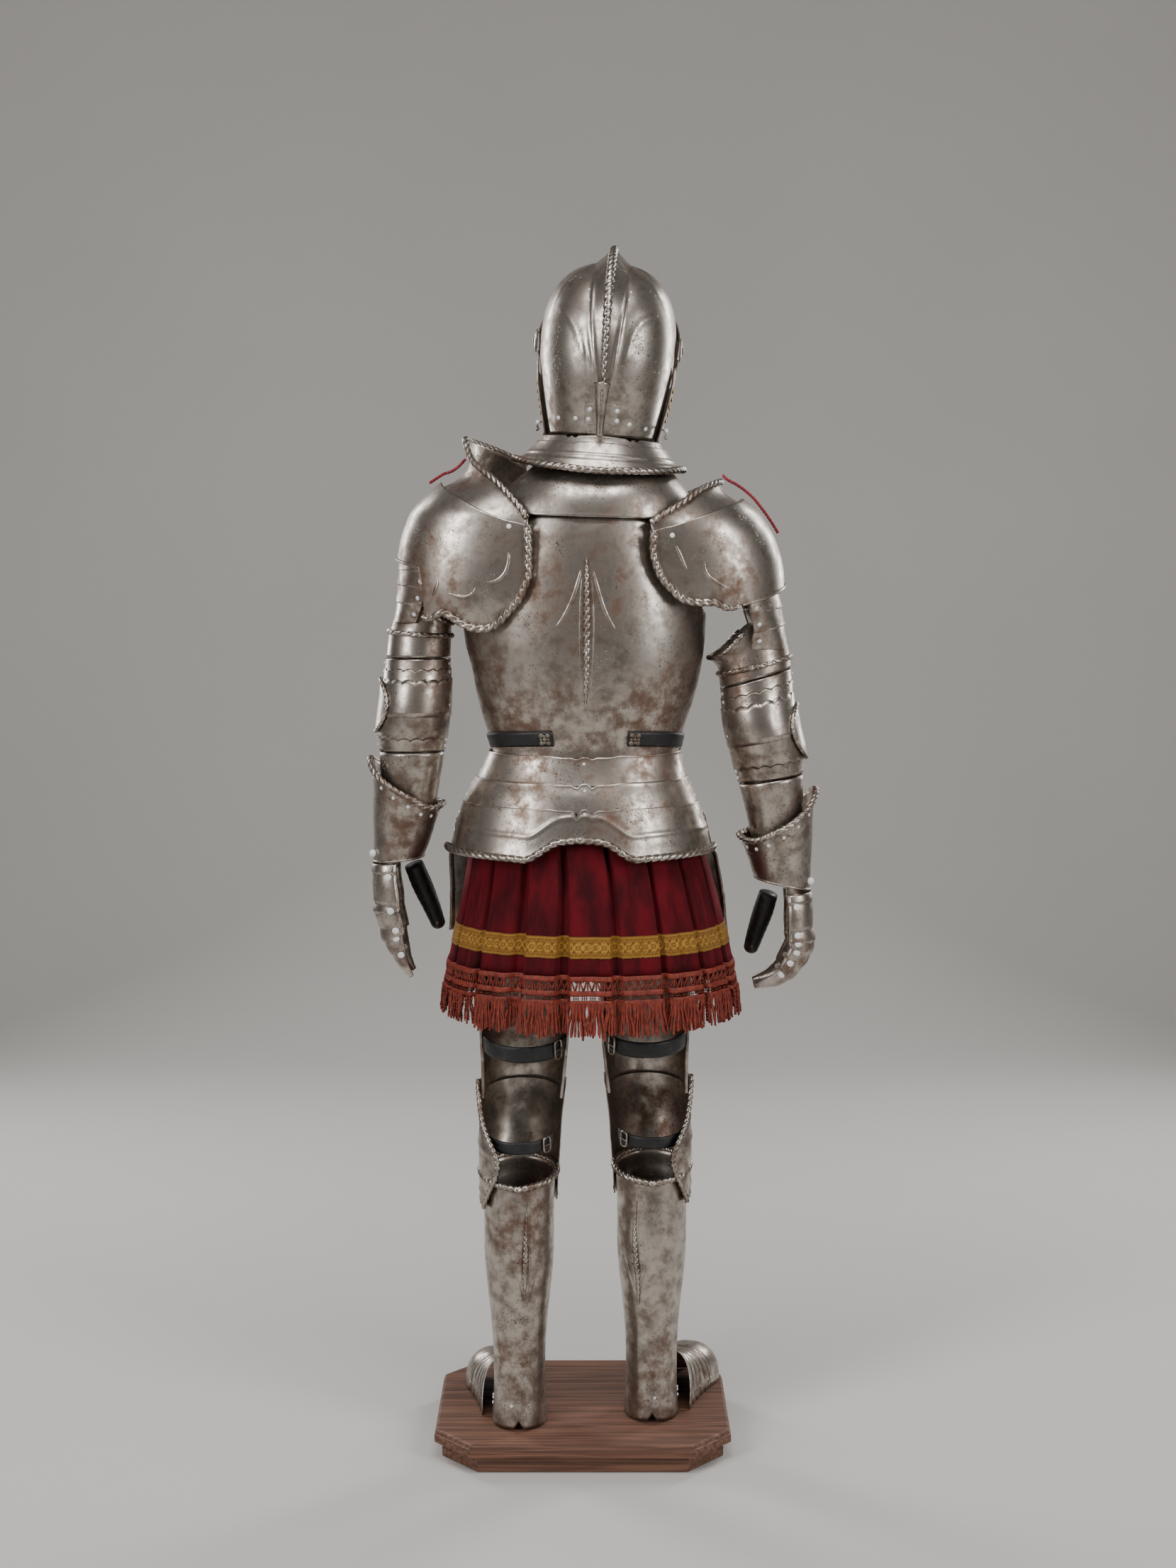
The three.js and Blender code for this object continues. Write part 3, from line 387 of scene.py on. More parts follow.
@dataclass(frozen=True)
class Brass:
    """Rolled brass eyelets, dulled by handling: warm yellow metal with a brown film."""

    name: str = "dulled_brass"

    def make(self) -> bpy.types.Material:
        """Builds the material."""
        material, tree, place = start_material(self.name)
        film = noise(tree, place, 3, 3)
        end_material(tree, {"Base Color": blend(tree, film, "#b58f52", "#6d5230"), "Metallic": 1.0,
                            "Roughness": between(tree, film, 0.3, 0.7, 0.32, 0.5)}, film, 0.0001)
        return material


@dataclass(frozen=True)
class Floor:
    """Pale matt studio floor."""

    name: str = "studio_floor"

    def make(self) -> bpy.types.Material:
        """Builds the material."""
        material, tree, place = start_material(self.name)
        tone = noise(tree, place, 900, 2)
        end_material(tree, {"Base Color": blend(tree, tone, "#cfccc8", "#c6c3bf"), "Roughness": 0.8}, None,
                     0)
        return material


STEEL = WornSteel().make()
BLACK_LEATHER = StrapLeather().make()
CRIMSON = Velvet().make()
GILT = GiltBraid().make()
# each cord: a painted shade colour, then a painted sheen colour of the same dye
RUST_CORD = TwistedSilk("rust_twisted_fringe", "#4a120b", "#9a3822").make()
RED_CORD = TwistedSilk("crimson_twisted_cord", "#5e0b18", "#b02a3c").make()
WOOD = StandWood().make()
BRASS = Brass().make()
RIVET_STEEL = WornSteel(name="rivet_steel", bright="#8d857c", grey="#655d56", roughness=0.4).make()
# near-black steel for discs that stand in for lace holes: painted shade, the holes are not cut
PAINTED_HOLE_SHADE = WornSteel(name="painted_hole_shade", bright="#0c0a09", grey="#080706", patina="#0a0807", roughness=0.7).make()


# ------------------------------------------------------------------ curves and forms
def hermite(keys: np.ndarray, values: np.ndarray, at: np.ndarray) -> np.ndarray:
    """Reads a smooth curve through values at keys, held at its ends.

    Args:
        keys: rising positions.
        values: one value, or one row of values, for each.
        at: where to read.

    Returns:
        The values there, in at's shape with the rows' width added.
    """
    held = np.clip(np.asarray(at, float), keys[0], keys[-1])
    i = np.searchsorted(keys[1:-1], held, side="left")
    before, after = np.maximum(i - 1, 0), np.minimum(i + 2, len(keys) - 1)
    step = keys[i + 1] - keys[i]
    t = (held - keys[i]) / step
    wide = values.ndim > 1
    grow = (lambda v: v[..., None]) if wide else (lambda v: v)
    a, b = values[i], values[i + 1]
    slope_a = (b - values[before]) / grow(keys[i + 1] - keys[before]) * grow(step)
    slope_b = (values[after] - a) / grow(keys[after] - keys[i]) * grow(step)
    t2, t3 = t * t, t * t * t
    return (grow(2 * t3 - 3 * t2 + 1) * a + grow(t3 - 2 * t2 + t) * slope_a
            + grow(3 * t2 - 2 * t3) * b + grow(t3 - t2) * slope_b)


def curve(pairs: Sequence[tuple[float, float]]) -> Rule:
    """A smooth curve through pairs of position and value."""
    keys, values = (np.array(part, float) for part in zip(*pairs))
    return lambda at: hermite(keys, values, at)


def level(value: float) -> Rule:
    """The same height all round."""
    return lambda at: np.full(np.shape(at), float(value))


def power(value: np.ndarray, k: float | np.ndarray) -> np.ndarray:
    """A power that keeps the sign."""
    return np.sign(value) * np.abs(value) ** k


def smooth(low: float, high: float, value: np.ndarray) -> np.ndarray:
    """A soft step from 0 to 1."""
    t = np.clip((np.asarray(value, float) - low) / (high - low), 0, 1)
    return t * t * (3 - 2 * t)


def unit(vectors: np.ndarray) -> np.ndarray:
    """Vectors of length one."""
    return vectors / np.maximum(np.linalg.norm(vectors, axis=-1, keepdims=True), 1e-9)


@dataclass
class Form:
    """A body given by level sections: z, middle x and y, half width w, depths b and f, power p."""

    columns: str
    rows: Sequence[Sequence[float]]
    extra: dict[str, float] = field(default_factory=dict)

    def __post_init__(self) -> None:
        """Sorts the sections upwards."""
        order = sorted(self.rows)
        names = self.columns.split()
        self.z = np.array([r[0] for r in order], float)
        self.values = {n: np.array([r[i] for r in order], float) for i, n in enumerate(names)}
        for name, value in {"x": 0.0, "y": 0.0, "p": 2.0, **self.extra}.items():
            self.values.setdefault(name, np.full(len(order), value))

    def read(self, name: str, z: np.ndarray) -> np.ndarray:
        """One column at any height."""
        return hermite(self.z, self.values[name], z)

    def at(self, angle: np.ndarray, z: np.ndarray, grow: float = 0.0) -> np.ndarray:
        """Points of the surface.

        Args:
            angle: degrees, 0 at the back, 90 at +X and 180 in front.
            z: heights.
            grow: how far outside the sections.

        Returns:
            Points, in millimetres.
        """
        angle, z = np.broadcast_arrays(np.asarray(angle, float), np.asarray(z, float))
        turn = np.radians(angle)
        s, c = np.sin(turn), np.cos(turn)
        k = 2 / self.read("p", z)
        depth = np.where(c > 0, self.read("b", z), self.read("f", z)) + grow
        x = self.read("x", z) + (self.read("w", z) + grow) * power(s, k)
        y = self.read("y", z) - depth * power(c, k)
        return np.stack([x, y, z], axis=-1)


def grid_normals(grid: Grid, ring: bool) -> np.ndarray:
    """Normals of a grid of points: across its columns, then up its rows.

    Args:
        grid: rows and columns of points.
        ring: whether the last column meets the first.

    Returns:
        A unit normal for each point.
    """
    if ring:
        across = np.roll(grid, -1, 1) - np.roll(grid, 1, 1)
    else:
        padded = np.concatenate([grid[:, :1], grid, grid[:, -1:]], 1)
        across = padded[:, 2:] - padded[:, :-2]
    tall = np.concatenate([grid[:1], grid, grid[-1:]], 0)
    return unit(np.cross(across, tall[2:] - tall[:-2]))


def bent(form: Form, span: tuple[Rule | float, Rule | float], low: Rule | float, high: Rule | float,
         rows: int, cols: int, ring: bool = False) -> tuple[Grid, np.ndarray, np.ndarray]:
    """A grid bent round a form.

    Args:
        form: what it is bent round.
        span: end angles, numbers or rules of the height share.
        low: lower edge height, a number or a rule of the angle.
        high: upper edge height.
        rows: cells up.
        cols: cells round.
        ring: whether it closes on itself.

    Returns:
        The points, and each one's angle and height share.
    """
    start, end, low, high = (v if callable(v) else level(v) for v in (*span, low, high))
    rows, cols = (max(round(count * DETAIL), min(count, 6)) for count in (rows, cols))
    t = np.linspace(0, 1, rows + 1)[:, None]
    u = (np.arange(cols) / cols if ring else np.linspace(0, 1, cols + 1))[None, :]
    angle = start(t) * (1 - u) + end(t) * u
    z = low(angle) * (1 - t) + high(angle) * t
    return form.at(angle, z), angle, np.broadcast_to(t, angle.shape)


# ------------------------------------------------------------------ relief
def line_distance(points: np.ndarray, line: np.ndarray) -> tuple[np.ndarray, np.ndarray]:
    """Distance from points to a line of straight steps.

    Args:
        points: any shape, two or three numbers last.
        line: the line's points in order.

    Returns:
        The distance, and how far along the line the nearest place is, from 0 to 1.
    """
    best = np.full(points.shape[:-1], 1e9)
    where = np.zeros(points.shape[:-1])
    count = len(line) - 1
    for i in range(count):
        a, step = line[i], line[i + 1] - line[i]
        t = np.clip(((points - a) @ step) / max(step @ step, 1e-9), 0, 1)
        distance = np.linalg.norm(points - a - t[..., None] * step, axis=-1)
        closer = distance < best
        best = np.where(closer, distance, best)
        where = np.where(closer, (i + t) / count, where)
    return best, where


def spline(points: Sequence[Sequence[float]], count: int = 24, closed: bool = False) -> np.ndarray:
    """A smooth line through points, in even steps of the parameter.

    Args:
        points: the points that it passes through.
        count: how many points to give back.
        closed: whether the end joins the start.

    Returns:
        The line's points.
    """
    given = np.array(points, float)
    if closed:
        given = np.concatenate([given[-2:], given, given[:3]])
        keys = np.arange(len(given), dtype=float)
        return hermite(keys, given, np.linspace(2, len(given) - 3, count, endpoint=False))
    keys = np.concatenate([[0], np.cumsum(np.linalg.norm(np.diff(given, axis=0), axis=1))])
    return hermite(keys, given, np.linspace(0, keys[-1], count))


@dataclass
class Flute:
    """A hammered line seen from behind: raised, or sunk if its height is negative.

    points are (x, z) in millimetres; width is its half width, taper softens its two ends.
    """

    points: Sequence[tuple[float, float]]
    width: float = 5.0
    height: float = 1.6
    taper: tuple[float, float] = (0.12, 0.12)

    def lift(self, grid: Grid, rear: np.ndarray) -> np.ndarray:
        """How far it raises each point of a grid; rear masks the points that it can reach.

        Args:
            grid: the points of a plate.
            rear: which of them it can reach.

        Returns:
            A height for each point.
        """
        line = spline(self.points, 18)
        distance, where = line_distance(grid[..., [0, 2]], line)
        start, end = self.taper
        ends = smooth(0, max(start, 1e-3), where) * smooth(0, max(end, 1e-3), 1 - where)
        shape = np.exp(-(distance / self.width) ** 2 * 1.6)
        return np.where(rear, self.height * shape * (0.25 + 0.75 * ends) * (ends > 0), 0)


# ------------------------------------------------------------------ meshes
def make_mesh(name: str, points: np.ndarray, faces: Sequence[Sequence[int]],
              material: bpy.types.Material) -> bpy.types.Mesh:
    """A smooth mesh in metres from points in millimetres.

    Args:
        name: the mesh's name.
        points: its points, in millimetres.
        faces: point numbers for each face.
        material: its one material.

    Returns:
        The mesh.
    """
    mesh = bpy.data.meshes.new(name)
    mesh.from_pydata((np.asarray(points).reshape(-1, 3) * MM).tolist(), [], faces)
    mesh.materials.append(material)
    mesh.polygons.foreach_set("use_smooth", [True] * len(mesh.polygons))
    mesh.update()
    return mesh


def wall_faces(m: int, n: int, ring: bool, is_open: np.ndarray | None) -> list[tuple[int, int, int, int]]:
    """Faces that join two matching grids into one closed wall.

    Args:
        m: rows of points.
        n: columns of points.
        ring: whether the columns close on themselves.
        is_open: True for each cell left open as a real hole, or None.

    Returns:
        Four point numbers for each face; the second grid's points follow the first's.
    """
    columns = n if ring else n - 1
    solid = np.ones((m - 1, columns), bool) if is_open is None else ~is_open
    i, j = np.nonzero(solid)
    k = (j + 1) % n
    here = lambda layer, row, col: layer * m * n + row * n + col
    quads = [np.stack([here(0, i, j), here(0, i, k), here(0, i + 1, k), here(0, i + 1, j)], 1),
             np.stack([here(1, i, j), here(1, i + 1, j), here(1, i + 1, k), here(1, i, k)], 1)]
    around = np.zeros((m + 1, columns + 2), bool)
    around[1:-1, 1:-1] = solid
    if ring:
        around[1:-1, 0], around[1:-1, -1] = solid[:, -1], solid[:, 0]
    below, above = ~around[i, j + 1], ~around[i + 2, j + 1]
    before, after = ~around[i + 1, j], ~around[i + 1, j + 2]
    edges = ((below, i, k, i, j), (above, i + 1, j, i + 1, k), (before, i, j, i + 1, j),
             (after, i + 1, k, i, k))
    for chosen, i0, j0, i1, j1 in edges:
        a, b = here(0, i0, j0)[chosen], here(0, i1, j1)[chosen]
        c, d = here(1, i1, j1)[chosen], here(1, i0, j0)[chosen]
        quads.append(np.stack([a, b, c, d], 1))
    return [tuple(q) for q in np.concatenate(quads).tolist()]


def outward(points: np.ndarray, faces: list[tuple[int, ...]]) -> list[tuple[int, ...]]:
    """The same faces, turned so that the closed shell has a positive volume.

    Args:
        points: the shell's points.
        faces: point numbers for each face.

    Returns:
        The faces, all turned or all as they were.
    """
    quads = np.array(faces)
    a, b, c = points[quads[:, 0]], points[quads[:, 1]], points[quads[:, 2]]
    total = np.einsum("ij,ij->i", a, np.cross(b, c)).sum()
    if quads.shape[1] == 4:
        d = points[quads[:, 3]]
        total += np.einsum("ij,ij->i", a, np.cross(c, d)).sum()
    return faces if total > 0 else [tuple(reversed(f)) for f in faces]


@dataclass
class Shell:
    """A plate's two faces: outer and inner grids of points, and the normals between them."""

    outer: Grid
    inner: Grid
    normals: np.ndarray
    ring: bool = False

    def mesh(self, name: str, material: bpy.types.Material = None,
             is_open: np.ndarray | None = None) -> bpy.types.Mesh:
        """The closed wall.

        Args:
            name: the mesh's name.
            material: its material.
            is_open: which faces are left out as holes.

        Returns:
            The wall's mesh.
        """
        m, n = self.outer.shape[:2]
        points = np.concatenate([self.outer.reshape(-1, 3), self.inner.reshape(-1, 3)])
        faces = outward(points, wall_faces(m, n, self.ring, is_open))
        return make_mesh(name, points, faces, material or STEEL)

    def edge(self, row: int, radius: float, start: float = 0.0, end: float = 1.0) -> np.ndarray:
        """A line along the first (0) or last (-1) row, set so that a rope of that radius is flush inside."""
        count = self.outer.shape[1]
        chosen = slice(int(start * (count - 1)), int(end * (count - 1)) + 1)
        return (self.inner[row] + self.normals[row] * radius * 0.9)[chosen]

    def side(self, column: int, radius: float) -> np.ndarray:
        """A line up the first (0) or last (-1) column."""
        return self.inner[:, column] + self.normals[:, column] * radius * 0.9

    def spot(self, row_share: float, column_share: float) -> tuple[np.ndarray, np.ndarray]:
        """A point of the outer face and its normal, by shares of the height and of the width.

        Args:
            row_share: the share of the height.
            column_share: the share of the width.

        Returns:
            The point and its normal.
        """
        m, n = self.outer.shape[:2]
        i = int(round(row_share * (m - 1)))
        j = int(round(column_share * ((n if self.ring else n - 1)))) % n
        return self.outer[i, j], self.normals[i, j]


def shell(grid: Grid, out: float = 0.0, thick: float = WALL, ring: bool = False, flip: bool = False,
          relief: np.ndarray | float = 0.0) -> Shell:
    """Thickens a grid.

    Args:
        grid: points of the plain outer face.
        out: how far outside the grid the outer face lies.
        thick: wall thickness, inwards.
        ring: whether the columns close on themselves.
        flip: turns the outward side round.
        relief: hammered height of each point.

    Returns:
        The shell.
    """
    normals = grid_normals(grid, ring) * (-1 if flip else 1)
    height = (np.zeros(grid.shape[:2]) + relief + out)[..., None]
    outer = grid + normals * height
    return Shell(outer, outer - normals * thick, normals, ring)


def join(name: str, meshes: Iterable[bpy.types.Mesh]) -> bpy.types.Mesh:
    """Joins meshes into one, keeping each one's material.

    Args:
        name: the new mesh's name.
        meshes: the meshes to put together.

    Returns:
        The joined mesh.
    """
    whole = bpy.data.meshes.new(name)
    build = bmesh.new()
    for part in meshes:
        if part is None:
            continue
        slots = list(whole.materials)
        material = part.materials[0]
        if material not in slots:
            whole.materials.append(material)
            slots.append(material)
        part.polygons.foreach_set("material_index", [slots.index(material)] * len(part.polygons))
        build.from_mesh(part)
        bpy.data.meshes.remove(part)
    build.to_mesh(whole)
    build.free()
    whole.update()
    return whole


def place(name: str, mesh: bpy.types.Mesh, slot: str, stands_for: Sequence[str] = (),
          body: Body = Body.SUIT) -> bpy.types.Object:
    """Adds a finished piece to the scene.

    Args:
        name: the piece's name.
        mesh: its mesh, with its place in it.
        slot: not used.
        stands_for: CAD nodes that it stands for.
        body: what it rides on.

    Returns:
        The object.
    """
    piece = bpy.data.objects.new(name, mesh)
    bpy.context.scene.collection.objects.link(piece)
    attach(piece, body.value)
    if stands_for:
        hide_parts(*stands_for)
    log.info("%s: %d faces", name, len(mesh.polygons))
    return piece


# ------------------------------------------------------------------ geometry nodes
def new_tree(name: str, numbers: dict[str, float],
             material: bool = True) -> tuple[bpy.types.NodeTree, bpy.types.Node]:
    """Starts a geometry tree.

    Args:
        name: the tree's name.
        numbers: its size inputs and their defaults.
        material: whether it has a material input.

    Returns:
        The tree and its input node.
    """
    tree = bpy.data.node_groups.new(name, "GeometryNodeTree")
    face = tree.interface
    face.new_socket("Geometry", in_out="INPUT", socket_type="NodeSocketGeometry")
    for key, value in numbers.items():
        face.new_socket(key, in_out="INPUT", socket_type="NodeSocketFloat").default_value = value
    if material:
        face.new_socket("Material", in_out="INPUT", socket_type="NodeSocketMaterial")
    face.new_socket("Geometry", in_out="OUTPUT", socket_type="NodeSocketGeometry")
    return tree, tree.nodes.new("NodeGroupInput")


def end_tree(tree: bpy.types.NodeTree, given: bpy.types.Node,
             geometry: bpy.types.NodeSocket) -> bpy.types.NodeTree:
    """Realizes what the tree made and gives it its material.

    Args:
        tree: the tree to finish.
        given: the tree's input node.
        geometry: the socket with what it made.

    Returns:
        The same tree.
    """
    real = add_node(tree, "GeometryNodeRealizeInstances", {"Geometry": geometry})
    smooth_faces = add_node(tree, "GeometryNodeSetShadeSmooth", {"Geometry": real.outputs[0]})
    painted = add_node(tree, "GeometryNodeSetMaterial",
                       {"Geometry": smooth_faces.outputs[0], "Material": given.outputs["Material"]})
    add_node(tree, "NodeGroupOutput", {"Geometry": painted.outputs[0]})
    return tree


def rope_tree() -> bpy.types.NodeTree:
    """A twisted rope round each line of edges; the lines' points carry their own radius, called size."""
    tree, given = new_tree("twisted_rope",
                           {"Strands": 3.0, "Pitch": ROPE_PITCH * MM, "Groove": 0.2, "Sides": 18.0})
    line = add_node(tree, "GeometryNodeMeshToCurve", {"Mesh": given.outputs["Geometry"]})
    size = add_node(tree, "GeometryNodeInputNamedAttribute", {"Name": "size"}, data_type="FLOAT")
    length = add_node(tree, "GeometryNodeSplineParameter").outputs["Length"]
    lead = maths(tree, "MULTIPLY", given.outputs["Pitch"], given.outputs["Strands"])
    turn = maths(tree, "MULTIPLY", maths(tree, "DIVIDE", length, lead), 2 * math.pi)
    twisted = add_node(tree, "GeometryNodeSetCurveTilt", {"Curve": line.outputs[0], "Tilt": turn})
    circle = add_node(tree, "GeometryNodeCurvePrimitiveCircle",
                      {"Resolution": given.outputs["Sides"], "Radius": 1.0}, mode="RADIUS")
    where = add_node(tree, "GeometryNodeInputPosition").outputs[0]
    parts = add_node(tree, "ShaderNodeSeparateXYZ", {0: where})
    angle = maths(tree, "ARCTAN2", parts.outputs[1], parts.outputs[0])
    wave = maths(tree, "COSINE", maths(tree, "MULTIPLY", angle, given.outputs["Strands"]))
    dip = maths(tree, "MULTIPLY", maths(tree, "POWER", maths(tree, "MULTIPLY_ADD", wave, 0.5, 0.5), 2.6),
                given.outputs["Groove"])
    scale = maths(tree, "SUBTRACT", 1.0, dip)
    lobed = add_node(tree, "ShaderNodeVectorMath", {0: where, "Scale": scale}, operation="SCALE")
    section = add_node(tree, "GeometryNodeSetPosition",
                       {"Geometry": circle.outputs[0], "Position": lobed.outputs[0]})
    tube = add_node(tree, "GeometryNodeCurveToMesh",
                    {"Curve": twisted.outputs[0], "Profile Curve": section.outputs[0],
                                                      "Scale": size.outputs[0], "Fill Caps": True})
    return end_tree(tree, given, tube.outputs[0])


def rivet_tree() -> bpy.types.NodeTree:
    """A low dome on each point, along its facing and of its own size."""
    tree, given = new_tree("domed_rivets", {"Height": 0.62})
    ball = add_node(tree, "GeometryNodeMeshUVSphere", {"Segments": 14, "Rings": 8, "Radius": 1.0})
    high = add_node(tree, "ShaderNodeCombineXYZ", {0: 1.0, 1: 1.0, 2: given.outputs["Height"]})
    dome = add_node(tree, "GeometryNodeTransform", {"Geometry": ball.outputs[0], "Scale": high.outputs[0]})
    facing = add_node(tree, "GeometryNodeInputNamedAttribute", {"Name": "facing"}, data_type="FLOAT_VECTOR")
    size = add_node(tree, "GeometryNodeInputNamedAttribute", {"Name": "size"}, data_type="FLOAT")
    turn = add_node(tree, "FunctionNodeAlignRotationToVector", {"Vector": facing.outputs[0]}, axis="Z")
    points = add_node(tree, "GeometryNodeInstanceOnPoints",
                      {"Points": given.outputs["Geometry"], "Instance": dome.outputs[0],
                                                             "Rotation": turn.outputs[0],
                       "Scale": size.outputs[0]})
    return end_tree(tree, given, points.outputs[0])


ROPE_TREE = rope_tree()
RIVET_TREE = rivet_tree()


def grow_mesh(tree: bpy.types.NodeTree, points: np.ndarray, edges: list[tuple[int, int]],
              attributes: dict[str, np.ndarray],
              inputs: dict[str, object]) -> bpy.types.Mesh:
    """Runs a geometry tree on points and returns what it makes as a plain mesh.

    Args:
        tree: the tree.
        points: millimetres.
        edges: pairs of point numbers.
        attributes: number or vector of each point.
        inputs: the tree's named inputs.

    Returns:
        The mesh.
    """
    base = bpy.data.meshes.new("seed")
    base.from_pydata((points * MM).tolist(), edges, [])
    for key, values in attributes.items():
        kind, place_in = ("FLOAT_VECTOR", "vector") if values.ndim > 1 else ("FLOAT", "value")
        made = base.attributes.new(key, kind, "POINT")
        made.data.foreach_set(place_in, values.astype(np.float32).ravel())
    seed = bpy.data.objects.new("seed", base)
    bench = bpy.data.scenes.new("bench")
    bench.collection.objects.link(seed)
    modifier = seed.modifiers.new("grow", "NODES")
    modifier.node_group = tree
    for item in tree.interface.items_tree:
        if item.in_out == "INPUT" and item.name in inputs:
            modifier[item.identifier] = inputs[item.name]
    with bpy.context.temp_override(scene=bench, view_layer=bench.view_layers[0]):
        graph = bpy.context.evaluated_depsgraph_get()
        mesh = bpy.data.meshes.new_from_object(seed.evaluated_get(graph))
    seed.modifiers.remove(modifier)
    bpy.data.objects.remove(seed)
    bpy.data.meshes.remove(base)
    bpy.data.scenes.remove(bench)
    return mesh


def even_steps(line: np.ndarray, step: float, closed: bool = False) -> np.ndarray:
    """The same line in even steps.

    Args:
        line: the points of a line.
        step: the distance from one new point to the next.
        closed: whether the end joins the start.

    Returns:
        The new points.
    """
    points = np.concatenate([line, line[:1]]) if closed else np.asarray(line, float)
    along = np.concatenate([[0], np.cumsum(np.linalg.norm(np.diff(points, axis=0), axis=1))])
    count = max(int(round(along[-1] / step)), 3)
    stops = np.linspace(0, along[-1], count + 1)
    even = np.stack([np.interp(stops, along, points[:, i]) for i in range(3)], 1)
    return even[:-1] if closed else even


def rope(line: np.ndarray, radius: float | Rule, pitch: float = ROPE_PITCH, groove: float = 0.4,
         strands: int = 3,
         closed: bool = False, step: float = 2.5, sides: int = 12,
         material: bpy.types.Material | None = None) -> bpy.types.Mesh:
    """One twisted rope along a line.

    Args:
        line: its middle, in millimetres.
        radius: a number, or a rule of the share of the length.
        pitch: distance between grooves along it.
        groove: their depth, as a share of the radius.
        strands: how many there are.
        closed: whether it joins itself.
        step: distance between sections.
        sides: corners of the section.
        material: its finish, steel if none.

    Returns:
        The rope's mesh.
    """
    points = even_steps(line, step, closed)
    count = len(points)
    share = np.linspace(0, 1, count)
    size = (radius(share) if callable(radius) else np.full(count, float(radius))) * MM
    edges = [(i, i + 1) for i in range(count - 1)] + ([(count - 1, 0)] if closed else [])
    if closed:
        loop = np.concatenate([points, points[:1]])
        length = np.linalg.norm(np.diff(loop, axis=0), axis=1).sum()
        pitch = length / (strands * max(round(length / (pitch * strands)), 1))
    return grow_mesh(ROPE_TREE, points, edges, {"size": size},
                     {"Strands": float(strands), "Pitch": pitch * MM, "Groove": groove,
                      "Sides": float(sides),
                      "Material": material or STEEL})


def rolled_sides(plate: Shell, radius: float, **more: int) -> list[bpy.types.Mesh]:
    """Plain rolled edges along both sides of a plate."""
    return [rope(plate.side(which, radius), radius, 40, 0, **more) for which in (0, -1)]


def rivets(spots: Sequence[tuple[np.ndarray, np.ndarray]], radius: float | Sequence[float] = 3.2,
           height: float = 0.62,
           material: bpy.types.Material | None = None) -> bpy.types.Mesh | None:
    """Domed rivet heads at spots, each a point and its normal.

    Args:
        spots: a point and its outward normal for each head.
        radius: one radius for all, or one for each.
        height: the height of a head as a share of its radius.
        material: its metal, or the usual rivet steel.

    Returns:
        One mesh with all the heads, or nothing where there are no spots.
    """
    if not spots:
        return None
    points = np.array([p for p, _ in spots])
    facing = np.array([n for _, n in spots])
    size = np.broadcast_to(np.asarray(radius, float), (len(spots),)) * MM
    return grow_mesh(RIVET_TREE, points, [], {"facing": facing, "size": size},
                     {"Height": height, "Material": material or RIVET_STEEL})


# ------------------------------------------------------------------ shared shapes
def rear_angle(form: Form, x: np.ndarray, z: np.ndarray) -> np.ndarray:
    """Angle at which a form passes through x on its rear half."""
    share = np.clip((np.asarray(x, float) - form.read("x", z)) / form.read("w", z), -1, 1)
    return np.degrees(np.arcsin(np.clip(power(share, form.read("p", z) / 2), -1, 1)))


def rear_line(form: Form, points: Sequence[tuple[float, float]], grow: float,
              count: int = 40) -> np.ndarray:
    """A smooth line on a form's rear through (x, z) points, grow outside it."""
    flat = spline(points, count)
    return form.at(rear_angle(form, flat[:, 0], flat[:, 1]), flat[:, 1], grow)


def rear_spots(form: Form, points: Sequence[tuple[float, float]],
               grow: float) -> list[tuple[np.ndarray, np.ndarray]]:
    """Points on a form's rear with their normals, from (x, z) pairs.

    Args:
        form: the body that they lie on.
        points: x and z of each.
        grow: how far outside the body they lie.

    Returns:
        A point and its normal for each.
    """
    found = []
    for x, z in points:
        angle = float(rear_angle(form, x, z))
        here = form.at(angle, z, grow)
        side = form.at(angle + 1.0, z, grow) - form.at(angle - 1.0, z, grow)
        tall = form.at(angle, z + 1.0, grow) - form.at(angle, z - 1.0, grow)
        found.append((here, unit(np.cross(side, tall))))
    return found


def form_spots(form: Form, points: Sequence[tuple[float, float]],
               grow: float) -> list[tuple[np.ndarray, np.ndarray]]:
    """Points on a form with their normals, from (angle, z) pairs.

    Args:
        form: the body that they lie on.
        points: angle and z of each.
        grow: how far outside the body they lie.

    Returns:
        A point and its normal for each.
    """
    found = []
    for angle, z in points:
        here = form.at(angle, z, grow)
        side = form.at(angle + 1.0, z, grow) - form.at(angle - 1.0, z, grow)
        tall = form.at(angle, z + 1.0, grow) - form.at(angle, z - 1.0, grow)
        found.append((here, unit(np.cross(side, tall))))
    return found


def spindle(middle: float, ends: float, peak: float = 0.5) -> Rule:
    """A radius that swells from ends to middle at peak and falls away again."""
    return lambda t: ends + (middle
                             - ends) * np.sin(np.pi * np.clip(t, 0,
                                                              1) ** (math.log(0.5) / math.log(peak))) ** 0.8


def halves(line: np.ndarray, middle: float = 0.5) -> tuple[np.ndarray, np.ndarray]:
    """A line cut in two at a share of its points."""
    cut = int(round(middle * (len(line) - 1)))
    return line[:cut + 1], line[cut:]


def bead(form: Form, points: Sequence[tuple[float, float]], radius: float) -> bpy.types.Mesh:
    """A smooth hammered ridge across a form's rear, fading at both ends."""
    return rope(rear_line(form, points, -0.62 * radius, 40), spindle(radius, 0.8, 0.5), 40, 0, step=3.0,
                sides=12)


def border(line: np.ndarray, radius: float | Rule, pitch: float = ROPE_PITCH, middle: float = 0.5,
           **more: object) -> list[bpy.types.Mesh]:
    """A roped border whose twist turns the other way past its middle."""
    first, second = halves(line, middle)
    return [rope(first, radius, pitch, **more), rope(second, radius, -pitch, **more)]


